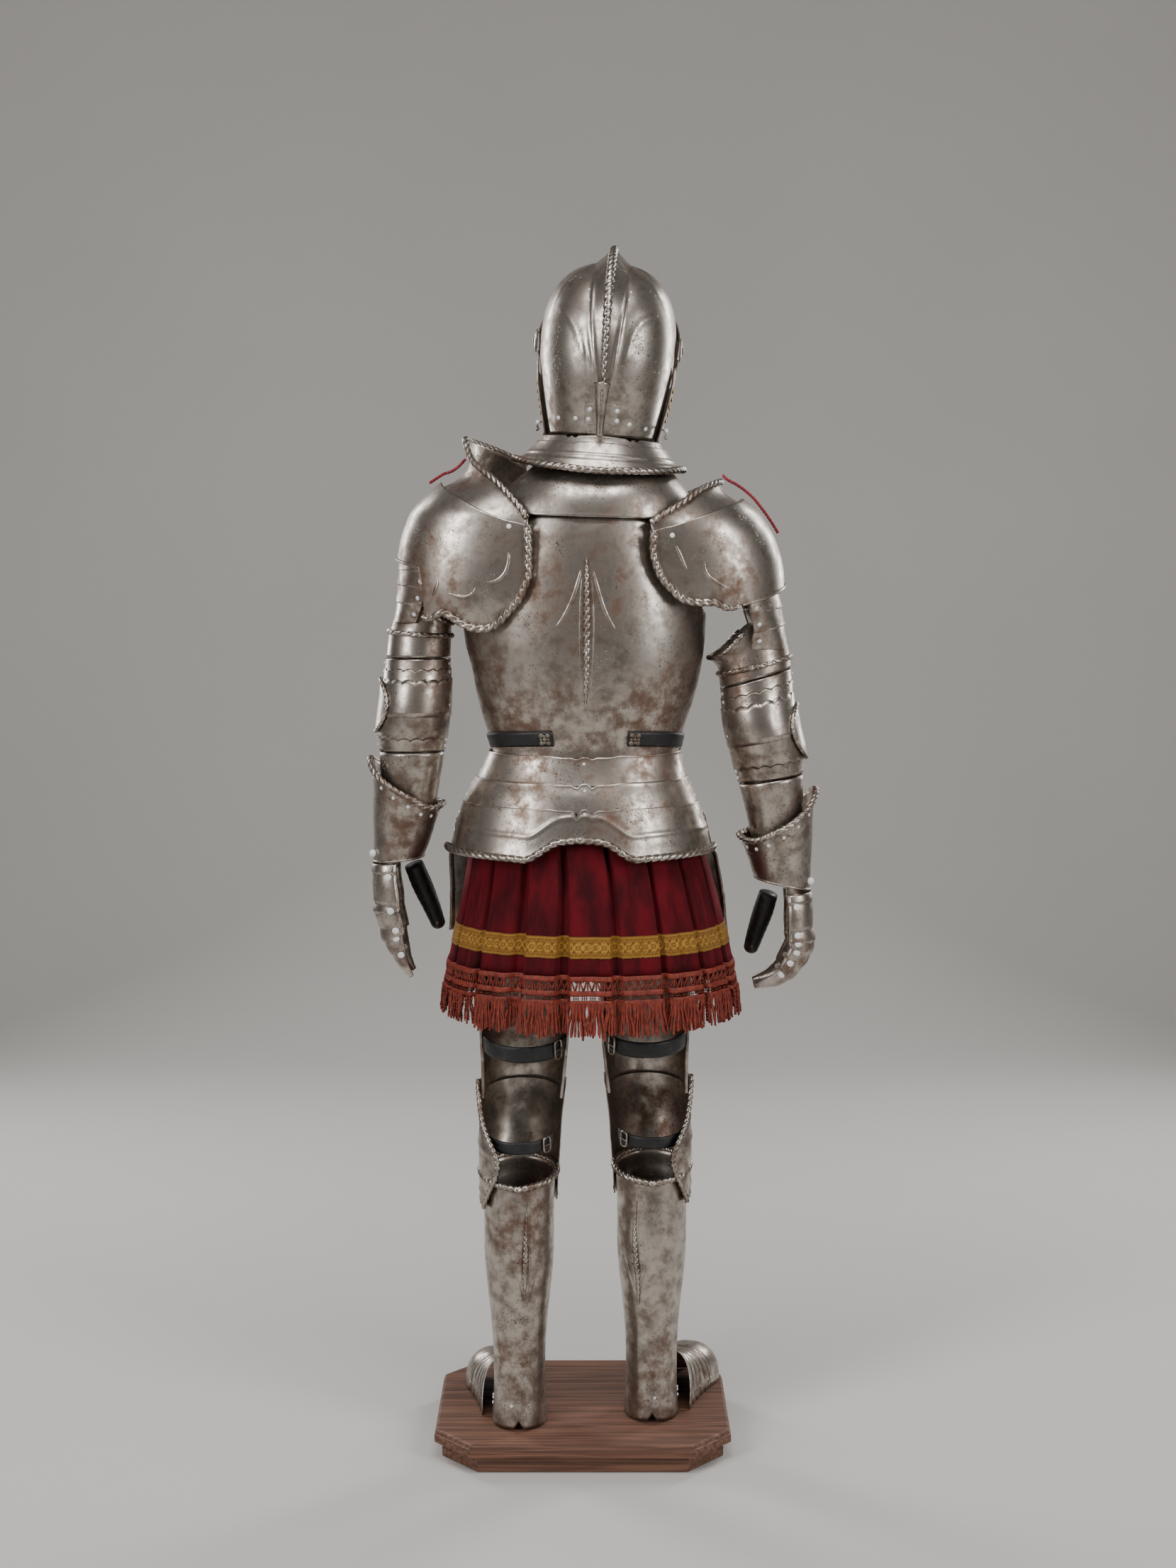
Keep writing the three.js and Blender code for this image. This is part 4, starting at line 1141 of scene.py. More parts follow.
def buckle(centre: np.ndarray, across: np.ndarray, up: np.ndarray, width: float, height: float,
           wire: float) -> list[bpy.types.Mesh]:
    """A plain wire buckle with its tongue.

    Args:
        centre: its middle.
        across: unit direction along the strap.
        up: unit direction across the strap.
        width: along the strap.
        height: across it.
        wire: radius of the wire.

    Returns:
        Its meshes.
    """
    turns = np.linspace(0, 2 * np.pi, 40, endpoint=False)
    ring = np.array([centre + across * width / 2 * power(np.cos(t),
                                                         0.5) + up * height / 2 * power(np.sin(t), 0.5)
                     for t in turns])
    out = np.cross(across, up)
    tongue = np.linspace(centre - across * width / 2 + out * wire,
                         centre + across * width / 2 + out * wire * 1.4, 10)
    return [rope(ring, wire, 40, 0.0, closed=True, sides=10), rope(tongue, wire * 0.7, 40, 0.0, sides=8)]


def strap_band(form: Form, span: tuple[float, float], middle: Rule, half: float, out: float,
               cols: int = 60) -> Shell:
    """A leather strap bent round a form, with eased edges.

    Args:
        form: the body that it is bent round.
        span: the angles where it starts and ends.
        middle: the height of its middle at an angle.
        half: half its width.
        out: how far outside the body it lies.
        cols: columns along it.

    Returns:
        The strap's shell.
    """
    grid, _, share = bent(form, span, lambda a: middle(a) - half, lambda a: middle(a) + half, 6, cols)
    eased = -0.7 * smooth(0.66, 1.0, np.abs(share * 2 - 1))
    return shell(grid, out=out, thick=LEATHER, flip=span[1] < span[0], relief=eased)


# ------------------------------------------------------------------ plinth
@dataclass
class Plinth:
    """The wooden stand: an eight-sided slab with a softened edge over a smaller base board."""

    width: float = 450
    depth: float = 380
    cut_x: float = 57
    cut_y: float = 66
    inset: float = 11
    slab: float = 20
    height: float = 45

    def ring(self, inset: float, z: float) -> np.ndarray:
        """The eight corners at a height.

        Args:
            inset: how far inside the board's edge they lie.
            z: the height.

        Returns:
            The corners in order.
        """
        x, y = self.width / 2 - inset, self.depth / 2 - inset
        corners = [(x, y - self.cut_y), (x - self.cut_x, y), (self.cut_x - x, y), (-x, y - self.cut_y),
                   (-x, self.cut_y - y), (self.cut_x - x, -y), (x - self.cut_x, -y), (x, self.cut_y - y)]
        return np.array([(a, b, z) for a, b in corners], float)

    def build(self) -> None:
        """Makes the slab and the base in one turned stack."""
        under = self.height - self.slab
        profile = [(self.inset + 4, 0.2), (self.inset, 0.8), (self.inset, under - 7),
                   (self.inset - 1, under - 4), (self.inset - 4, under - 1.5),
                   (self.inset - 6, under), (1.2, under), (0.2, under + 0.8), (0, under + 2),
                   (0, self.height - 9), (0.2, self.height - 7.5),
                   (1.2, self.height - 6.6), (1.6, self.height - 5.5), (2.0, self.height - 3.2),
                   (3.0, self.height - 1.4), (4.4, self.height - 0.3), (6, self.height)]
        rings = [self.ring(inset, z) for inset, z in profile]
        points = np.concatenate(rings)
        faces = []
        for i in range(len(rings) - 1):
            for j in range(8):
                a, b = i * 8 + j, i * 8 + (j + 1) % 8
                faces.append((a, b, b + 8, a + 8))
        last = (len(rings) - 1) * 8
        quads = outward(points, faces)
        caps = [tuple(range(7, -1, -1)), tuple(range(last, last + 8))]
        mesh = make_mesh("plinth_boards", points, quads + caps, WOOD)
        mesh.polygons.foreach_set("use_smooth", [False] * len(mesh.polygons))
        piece = place("plinth_boards", mesh, "stand_wood", ["plinth"])
        log.info("plinth %s", piece.name)


# ------------------------------------------------------------------ legs
SHIN_ROWS = [
    (46, 43, 60, 46), (85, 40, 55, 44), (130, 39.5, 50, 43), (170, 40.5, 50, 42), (215, 44, 54, 42),
    (260, 49, 59, 44), (300, 52.5, 62, 46), (345, 53, 62, 48), (400, 53.5, 58, 50), (440, 55, 56, 52)]
THIGH_ROWS = [
    (370, 54, 60, 54), (430, 56, 60, 62), (480, 58, 60, 74), (510, 58, 60, 78), (550, 60, 62, 70),
    (600, 63, 68, 68), (650, 66, 72, 70), (750, 68, 76, 72)]
FOOT_ROWS = np.array([
    (70, 44, 88), (108, 42, 80), (135, 42, 70), (162, 43, 63), (188, 45, 60), (210, 47, 60),
    (232, 44, 54), (248, 32, 42), (256, 15, 26)], float)


@dataclass
class Leg:
    """One leg's plates: greave, sabaton, poleyn, cuisse and their straps."""

    side: Side
    x: float
    y: float
    thigh_x: float
    yaw: float
    heel: tuple[float, float]
    spear: Sequence[tuple[float, float]]
    barbs: Sequence[Sequence[tuple[float, float]]]
    sole: float = 45.5
    rim_radius: float = 5.4

    def form(self, rows: Sequence[Sequence[float]]) -> Form:
        """The leg's sections, leaning from shin to thigh."""
        placed = [(z, w, b, f, float(self.x + (self.thigh_x - self.x) * smooth(430, 640, z)), self.y)
                  for z, w, b, f in rows]
        return Form("z w b f x y", placed, {"p": 2.15})

    def edges(self) -> tuple[Rule, Rule]:
        """The greave's hem and rim heights round the leg."""
        rim = curve([(0, 419), (60, 430), (90, 437), (120, 440), (180, 446)])
        hem = curve([(0, 60), (3, 56), (7, 50), (14, 49), (60, 48), (90, 50), (115, 66), (150, 112),
                     (180, 126)])
        fold_back = lambda a: np.abs(np.where(a > 180, 360 - a, a))
        return lambda a: hem(fold_back(a)), lambda a: rim(fold_back(a))

    def greave(self) -> None:
        """The calf and shin plates with roped rims; the calf has a spear-shaped rope between flutes."""
        form = self.form(SHIN_ROWS)
        hem, rim = self.edges()
        sign = self.side.value
        for word, front in (("back", False), ("front", True)):
            span = (90 + SEAM, 270 - SEAM) if front else (-90 + SEAM, 90 - SEAM)
            grid, angle, share = bent(form, span, hem, rim, 90 if front else 190, 50 if front else 84)
            below = (1 - share) * (rim(angle) - hem(angle))
            relief = 0.9 * np.exp(-((below - 22) / 2.6) ** 2) + 0.5 * np.exp(-((below - 30) / 2.2) ** 2)
            parts = []
            if not front:
                rear = np.abs(angle) < 88
                parts += [bead(form, barb, 3.6) for barb in self.barbs]
                parts += [bead(form, [(x + side, z) for x, z in self.spear], 2.2) for side in (-6.0, 6.0)]
                relief = (relief
                          + 1.1 * np.exp(-((grid[..., 0] - self.spear[-1][0]
                                            - 1) / 5.0) ** 2) * smooth(235, 190, grid[..., 2]) * rear)
                line = rear_line(form, self.spear, 1.2, 60)
                parts.append(rope(line, spindle(4.6, 0.8, 0.6), 8.5 * sign, 0.42))
            plate = shell(grid, relief=relief)
            parts.append(plate.mesh(f"greave_{word}"))
            edge = plate.edge(-1, self.rim_radius)
            parts += border(edge, self.rim_radius, 9.5)
            seam_side = -1 if (sign > 0) != front else 0
            if not front:
                parts.append(rivets([self.fold_spot(plate, seam_side, s) for s in (0.07, 0.085, 0.1)], 2.6))
                holes = [(x, z) for x, z in self.heel_holes()]
                # painted shade: near-black discs stand in for the two lace holes above the heel
                parts.append(self.painted_hole_discs(form, holes))
            name = f"greave_{word}_{self.side.word}"
            place(f"{name}_plate", join(name, parts), "worn_steel", [name])

    def fold_spot(self, plate: Shell, column: int, share: float) -> tuple[np.ndarray, np.ndarray]:
        """A point near the calf plate's outer seam."""
        i = int(share * (plate.outer.shape[0] - 1))
        j = 2 if column == 0 else -3
        return plate.outer[i, j], plate.normals[i, j]

    def heel_holes(self) -> list[tuple[float, float]]:
        """The two lace holes above the heel."""
        return [(self.heel[0] - 13, 82), (self.heel[0] + 13, 83)]

    def painted_hole_discs(self, form: Form, holes: Sequence[tuple[float, float]]) -> bpy.types.Mesh:
        """Near-black discs over the lace holes: painted shade, as the holes are not cut."""
        return rivets(rear_spots(form, holes, 0.1), 2.1, 0.12, PAINTED_HOLE_SHADE)

    def foot_grid(self, stations: np.ndarray, cols: int, bow: Callable[[np.ndarray], np.ndarray]) -> Grid:
        """Arched sections across the foot at distances along it; bow shifts each one's ends backwards.

        Args:
            stations: distances along the foot.
            cols: columns over the arch.
            bow: how far the ends of a section go back.

        Returns:
            The grid of points.
        """
        turn = np.linspace(0, np.pi, cols + 1)[None, :]
        s = stations[:, None] - bow(turn) * np.ones_like(stations[:, None])
        shape = hermite(FOOT_ROWS[:, 0], FOOT_ROWS[:, 1:], s)
        across = -shape[..., 0] * power(np.cos(turn), 0.85)
        tall = shape[..., 1] * power(np.sin(turn), 0.85)
        sin_yaw, cos_yaw = math.sin(math.radians(self.yaw)), math.cos(math.radians(self.yaw))
        return np.stack([self.heel[0] + across * cos_yaw - s * sin_yaw,
                         self.heel[1] + across * sin_yaw + s * cos_yaw,
                         self.sole + 0.5 + tall], axis=-1)

    def sabaton(self) -> None:
        """Instep lames and the bulbous toe cap, each lame stepping over the next."""
        steps = np.linspace(112, 184, 73)
        bow = lambda turn: 34 * (1 - np.sin(turn))
        for name, stations, lames, rule in (("instep", steps, 5, bow),
                                            ("toe", np.linspace(184.6, 256, 60), 1, lambda t: 0 * t)):
            fade = (184 - stations)[:, None] / 72 if name == "instep" else 0
            grid = self.foot_grid(stations, 48, (lambda f: lambda turn: rule(turn) * f)(fade))
            place_in = (stations - stations[0]) / (stations[-1] - stations[0]) * lames
            relief = ((1.3 * (place_in % 1.0) ** 2.5)[:, None] if name == "instep"
                      else 0.9 * np.exp(-((stations - 190) / 2.0) ** 2)[:, None])
            plate = shell(grid, thick=THIN, flip=True, relief=relief)
            meshes = [plate.mesh(name)]
            if name == "instep":
                spots = [plate.spot((k + 0.62) / lames, e) for k in range(lames) for e in (0.06, 0.94)]
                meshes.append(rivets(spots, 2.6))
            else:
                meshes.append(rivets([plate.spot(0.04, e) for e in (0.06, 0.94)], 2.8))
            node = f"sabaton_{name}_{self.side.word}"
            place(f"{node}_plate", join(node, meshes), "worn_steel", [node])

    def poleyn(self) -> None:
        """The knee cop with its pointed, roped outer wing and fluted fan."""
        form, sign = self.form(THIGH_ROWS), self.side.value
        wing = curve([(0, 58), (0.38, 27), (0.7, 62), (1, 88)])
        inner = curve([(0, 100), (0.5, 92), (1, 96)])
        grid, angle, share = bent(form, (lambda t: sign * wing(t), lambda t: sign * (360 - inner(t))), 385,
                                  575, 80, 110)
        away = np.abs(angle - sign * wing(share))
        fan = np.zeros(grid.shape[:2])
        for slope in (-1.0, -0.45, 0.1, 0.6):
            fan += (1.5 * np.exp(-(((share - 0.42) - slope * away / 60) * 190 / 4.0) ** 2)
                    * smooth(4, 14, away) * smooth(75, 45, away))
        dish = -2.2 * smooth(3, 9, away) * smooth(26, 12, away)
        relief = (fan + dish + 1.2 * np.exp(-((grid[..., 2] - 395) / 2.4) ** 2)
                  + 1.2 * np.exp(-((grid[..., 2] - 563) / 2.4) ** 2))
        plate = shell(grid, out=NEST + 2, thick=THIN, flip=sign < 0, relief=relief)
        parts = [plate.mesh("poleyn"), rope(plate.side(0, 4.0), 4.0, 9 * sign)]
        name = f"poleyn_{self.side.word}"
        place(f"{name}_plate", join(name, parts), "worn_steel", [name])

    def cuisse(self) -> None:
        """The thigh plate, plain, with turned edges."""
        form = self.form(THIGH_ROWS)
        low = lambda a: 552 - 10 * np.cos(np.radians(a))
        grid, angle, _ = bent(form, (76, 284), low, 742, 50, 60)
        lip = 1.1 * np.exp(-((angle - 79) / 1.6) ** 2) + 1.1 * np.exp(-((angle - 281) / 1.6) ** 2)
        plate = shell(grid, relief=lip)
        parts = [plate.mesh("cuisse"), *rolled_sides(plate, 2.6)]
        name = f"cuisse_{self.side.word}"
        place(f"{name}_plate", join(name, parts), "worn_steel", [name])

    def straps(self) -> None:
        """The thigh and knee straps, each closed by a wire buckle towards the inner side."""
        form, sign = self.form(THIGH_ROWS), self.side.value
        for word, z, half, sag, out in (("thigh", 640, 12, 14, -0.5), ("knee", 488, 9, 8, -6)):
            middle = lambda a, z=z, sag=sag: z - sag * np.cos(np.radians(a))
            band = strap_band(form, (-74, 74), middle, half, out)
            parts = [band.mesh(word, BLACK_LEATHER)]
            name = f"{word}_strap_{self.side.word}"
            place(f"{name}_leather", join(name, parts), "black_leather", [name])
            where = 0.84 if sign < 0 else 0.16
            spot, normal = band.spot(0.5, where)
            column = int(where * (band.outer.shape[1] - 1))
            across = unit(band.outer[3, column + 1] - band.outer[3, column - 1])
            up = unit(np.cross(normal, across))
            metal = buckle(spot + normal * 2.2, across, up, 15, 2 * half + 5, 1.5)
            place(f"{word}_buckle_{self.side.word}", join("buckle", metal), "worn_steel")

    def build(self) -> None:
        """Makes the whole leg."""
        self.greave()
        self.sabaton()
        self.poleyn()
        self.cuisse()
        self.straps()


# ------------------------------------------------------------------ cuirass
TRUNK = Form("z x w b f p", [
    (1060, 4.5, 142, 97, 104, 2.3), (1078, 5, 142.5, 97, 104, 2.3), (1110, 3.5, 152, 106, 112, 2.3),
    (1153, 5, 165, 117, 128, 2.3), (1196, 5.5, 174, 124, 142, 2.3), (1240, 3, 182, 128, 150, 2.3),
    (1300, 2, 184, 130, 150, 2.3), (1350, 2, 177, 130, 142, 2.3), (1395, 4, 160, 126, 126, 2.3),
    (1425, 8, 142, 119, 110, 2.3), (1447, 12, 118, 108, 94, 2.3)])
HIPS = Form("z x w b f p", [
    (780, 6, 218, 190, 196, 2.1), (840, 4, 214, 175, 188, 2.1), (900, -2, 208, 158, 178, 2.2),
                            (920, -3.5, 201, 153, 172, 2.2),
    (945, -3, 194, 148, 164, 2.2), (970, -3, 187, 142, 156, 2.2), (992, -3, 180, 136, 147, 2.2),
                            (1012, -3, 173, 129, 138, 2.2),
    (1031, -1.5, 164, 120, 128, 2.2), (1052, 1, 156, 112, 121, 2.2), (1075, 4.5, 150, 105, 112, 2.3)])


@dataclass
class Cuirass:
    """The backplate and breastplate, with the rear's roped spindle and its two leaf-shaped flutes."""

    low: float = 1062
    high: float = 1440
    spindle_line: Sequence[tuple[float, float]] = ((6, 1362), (6, 1303), (6, 1245), (5, 1182), (4, 1134))

    def armhole(self, angle: np.ndarray, z: np.ndarray, middle: float) -> np.ndarray:
        """Whether a place is inside an armhole."""
        reach = 90 - np.abs(angle - middle)
        depth = 26 * np.sqrt(np.clip(1 - ((z - 1334) / 60) ** 2, 0, 1))
        return reach < depth

    def plate(self, front: bool) -> None:
        """One half.

        Args:
            front: whether it is the breastplate.
        """
        middle = 180 if front else 0
        rows, cols = (60, 60) if front else (170, 130)
        grid, angle, _ = bent(TRUNK, (middle - 90 + SEAM, middle + 90 - SEAM), self.low, self.high, rows,
                              cols)
        relief = np.zeros(grid.shape[:2])
        parts = []
        if front:
            relief += 5 * np.exp(-((angle - 180) / 7) ** 2) * smooth(1430, 1360, grid[..., 2])
        else:
            rear = np.abs(angle) < 80
            flutes = [
                Flute([(-66, 1423), (-27, 1416), (-3, 1400), (8, 1389)], 4.0, 1.0, (0.5, 0.1)),
                Flute([(58, 1416), (28, 1408), (10, 1391)], 4.0, 1.0, (0.5, 0.1)),
                Flute([(6, 1390), (6, 1362)], 7.0, 0.8, (0.3, 0.1)),
                Flute([(-158, 1200), (-155, 1180), (-148, 1162)], 4.0, 0.8),
            ]
            for flute in flutes:
                relief = relief + flute.lift(grid, rear)
            leaf = (((2, 1366), (-5, 1334), (-15, 1303), (-31, 1272), (-54, 1247)),
                    ((10, 1366), (20, 1327), (32, 1288), (47, 1260), (65, 1243)))
            ribs = (((4, 1362), (-2, 1320), (-4, 1260), (-2.5, 1190), (3.5, 1126)),
                    ((8, 1362), (14, 1320), (16, 1260), (13, 1190), (4.5, 1126)))
            parts += ([bead(TRUNK, points, 4.6) for points in leaf]
                      + [bead(TRUNK, points, 2.4) for points in ribs])
            parts.append(rope(rear_line(TRUNK, self.spindle_line, 1.2, 80), spindle(6.2, 0.8, 0.45), 12.0,
                              0.42))
        plate = shell(grid, relief=relief)
        centres = (angle[:-1, :-1] + angle[1:, 1:]) / 2, (grid[:-1, :-1, 2] + grid[1:, 1:, 2]) / 2
        parts.append(plate.mesh("half", is_open=self.armhole(centres[0], centres[1], middle)))
        parts.append(rope(plate.edge(0, 2.2), 2.2, 40, 0, sides=10))
        node = "breastplate" if front else "backplate"
        place(f"{node}_shell", join(node, parts), "worn_steel", [node])

    def waist_strap(self, side: Side) -> None:
        """A short black strap from under the arm to its quatrefoil mount on the back.

        Args:
            side: the side that it is on.
        """
        span = (22, 86) if side is Side.RIGHT else (-86, -16)
        middle = lambda a: 1085 + 10 * np.cos(np.radians(a))
        band = strap_band(TRUNK, span, middle, 11, LEATHER + 2.2)
        end = 0.08 if side is Side.RIGHT else 0.92
        spot, normal = band.spot(0.5, end)
        column = int(end * (band.outer.shape[1] - 1))
        across = unit(band.outer[3, column + 1] - band.outer[3, column - 1])
        up = np.cross(normal, across)
        name = f"waist_strap_{side.word}"
        place(f"{name}_leather", band.mesh(name, BLACK_LEATHER), "black_leather", [name])
        lobes = [(a, b, r) for a, b,
                 r in ((-5.2, -6, 3.9), (5.2, -6, 3.9), (-5.2, 6, 3.9), (5.2, 6, 3.9), (0, 0, 3.4),
                                          (-5.6, 0, 2.4), (5.6, 0, 2.4), (0, -5.2, 2.4), (0, 5.2, 2.4))]
        spots = [(spot + across * a + up * b + normal * 0.3, normal) for a, b, _ in lobes]
        place(f"waist_mount_{side.word}", rivets(spots, [r for *_, r in lobes], 0.5), "worn_steel")

    def build(self) -> None:
        """Makes both halves and the straps."""
        self.plate(False)
        self.plate(True)
        for side in Side:
            self.waist_strap(side)


@dataclass
class HipLames:
    """The culet behind and the fauld in front: lames that ride up over one another."""

    centre: float = 3.0

    def cusped(self, height: float, depth: float) -> Rule:
        """An upper edge with a lobe between two notches at the middle of the back, and soft waves.

        Args:
            height: the edge's height at the sides.
            depth: how deep the notches are.

        Returns:
            The edge's rule.
        """

        def edge(angle: np.ndarray) -> np.ndarray:
            """The edge's height at each angle round the form."""
            x = HIPS.at(angle, height)[..., 0] - self.centre
            notch = -depth * np.maximum(0, 1 - np.abs(np.abs(x) - 12) / 5.0) ** 1.2
            lobe = 0.28 * depth * np.exp(-(x / 7) ** 2) - 0.5
            wave = 2.4 * smooth(34, 58, np.abs(x)) + 1.6 * smooth(90, 170, np.abs(x))
            return np.where(np.abs(angle) < 89, height + notch + lobe + wave, height)

        return edge

    def culet(self) -> None:
        """The three rear lames."""
        rump = curve([(0, 948), (5, 946.5), (9, 944), (13, 936), (17, 926), (21, 919), (28, 920),
                      (50, 922), (88, 923)])
        hem = lambda a: rump(np.abs(a))
        span = (-88.0, 88.0)
        for name, low, high, out, rows in (("culet_upper", 1026, self.cusped(1068, 4), -2 * NEST, 34),
                                           ("culet_middle", 986, self.cusped(1029, 8), -NEST, 34),
                                           ("culet_lower", hem, self.cusped(991, 8), 0, 62)):
            grid, angle, share = bent(HIPS, span, low, high, rows, 260)
            lip = 1.3 * np.exp(-((1 - share) * rows * 1.3 / 1.6) ** 2)
            relief = lip
            parts = []
            if name == "culet_lower":
                above = grid[..., 2] - hem(angle)
                relief = relief + 1.5 * np.exp(-((above - 34) / 3.4) ** 2) - 1.0 * smooth(30, 8, above)
            plate = shell(grid, out=out, thick=THIN, relief=relief)
            parts.append(plate.mesh(name))
            top = -1
            near = int(np.argmin(np.abs(plate.outer[top, :, 0] - self.centre)))
            row = plate.outer.shape[0] - max(int(rows * 7 / (42 if name != "culet_lower" else 70)), 2)
            parts.append(rivets([(plate.outer[row, near], plate.normals[row, near])], 2.4))
            ends = ([plate.spot(0.75, e) for e in (0.012, 0.988)]
                    + [plate.spot(0.35, e) for e in (0.012, 0.988)])
            parts.append(rivets(ends, 2.6))
            if name == "culet_lower":
                parts += border(plate.edge(0, 5.8), 5.8, 13.0, groove=0.4)
            place(f"{name}_lame", join(name, parts), "worn_steel", [name])

    def fauld(self) -> None:
        """The two front lames."""
        for name, low, high, out in (("fauld_upper", 1014, 1072, -2 * NEST),
                                     ("fauld_lower", 962, 1020, -NEST)):
            grid, _, share = bent(HIPS, (92, 268), low, high, 30, 120)
            plate = shell(grid, out=out, thick=THIN, relief=0.6 * np.exp(-((1 - share) * 24) ** 2))
            parts = [plate.mesh(name), rivets([plate.spot(0.7, e) for e in (0.02, 0.98)], 2.6)]
            if name == "fauld_lower":
                parts += border(plate.edge(0, 3.6), 3.6, 9.0)
            place(f"{name}_lame", join(name, parts), "worn_steel", [name])

    def tasset(self, side: Side, body: Body) -> None:
        """One hanging thigh defence with three lames, roped at the bottom.

        Args:
            side: the side that it hangs on.
            body: the body that it rides on.
        """
        span = (106, 160) if side is Side.RIGHT else (200, 250)
        grid, _, share = bent(HIPS, span, 782, 966, 60, 36)
        steps = 1.2 * ((share * 3) % 1.0) ** 4
        plate = shell(grid, out=7, thick=THIN, relief=steps * (share < 0.999))
        parts = [plate.mesh("tasset")] + border(plate.edge(0, 3.6), 3.6, 9.0)
        parts += [*rolled_sides(plate, 2.6, sides=10)]
        parts.append(rivets([plate.spot(s, e) for s in (0.27, 0.6, 0.93) for e in (0.07, 0.93)], 2.6))
        name = f"tasset_{side.word}"
        place(f"{name}_plate", join(name, parts), "worn_steel", [name], body)

    def build(self) -> None:
        """Makes the lames and tassets."""
        self.culet()
        self.fauld()
        self.tasset(Side.LEFT, Body.TASSET_LEFT)
        self.tasset(Side.RIGHT, Body.TASSET_RIGHT)


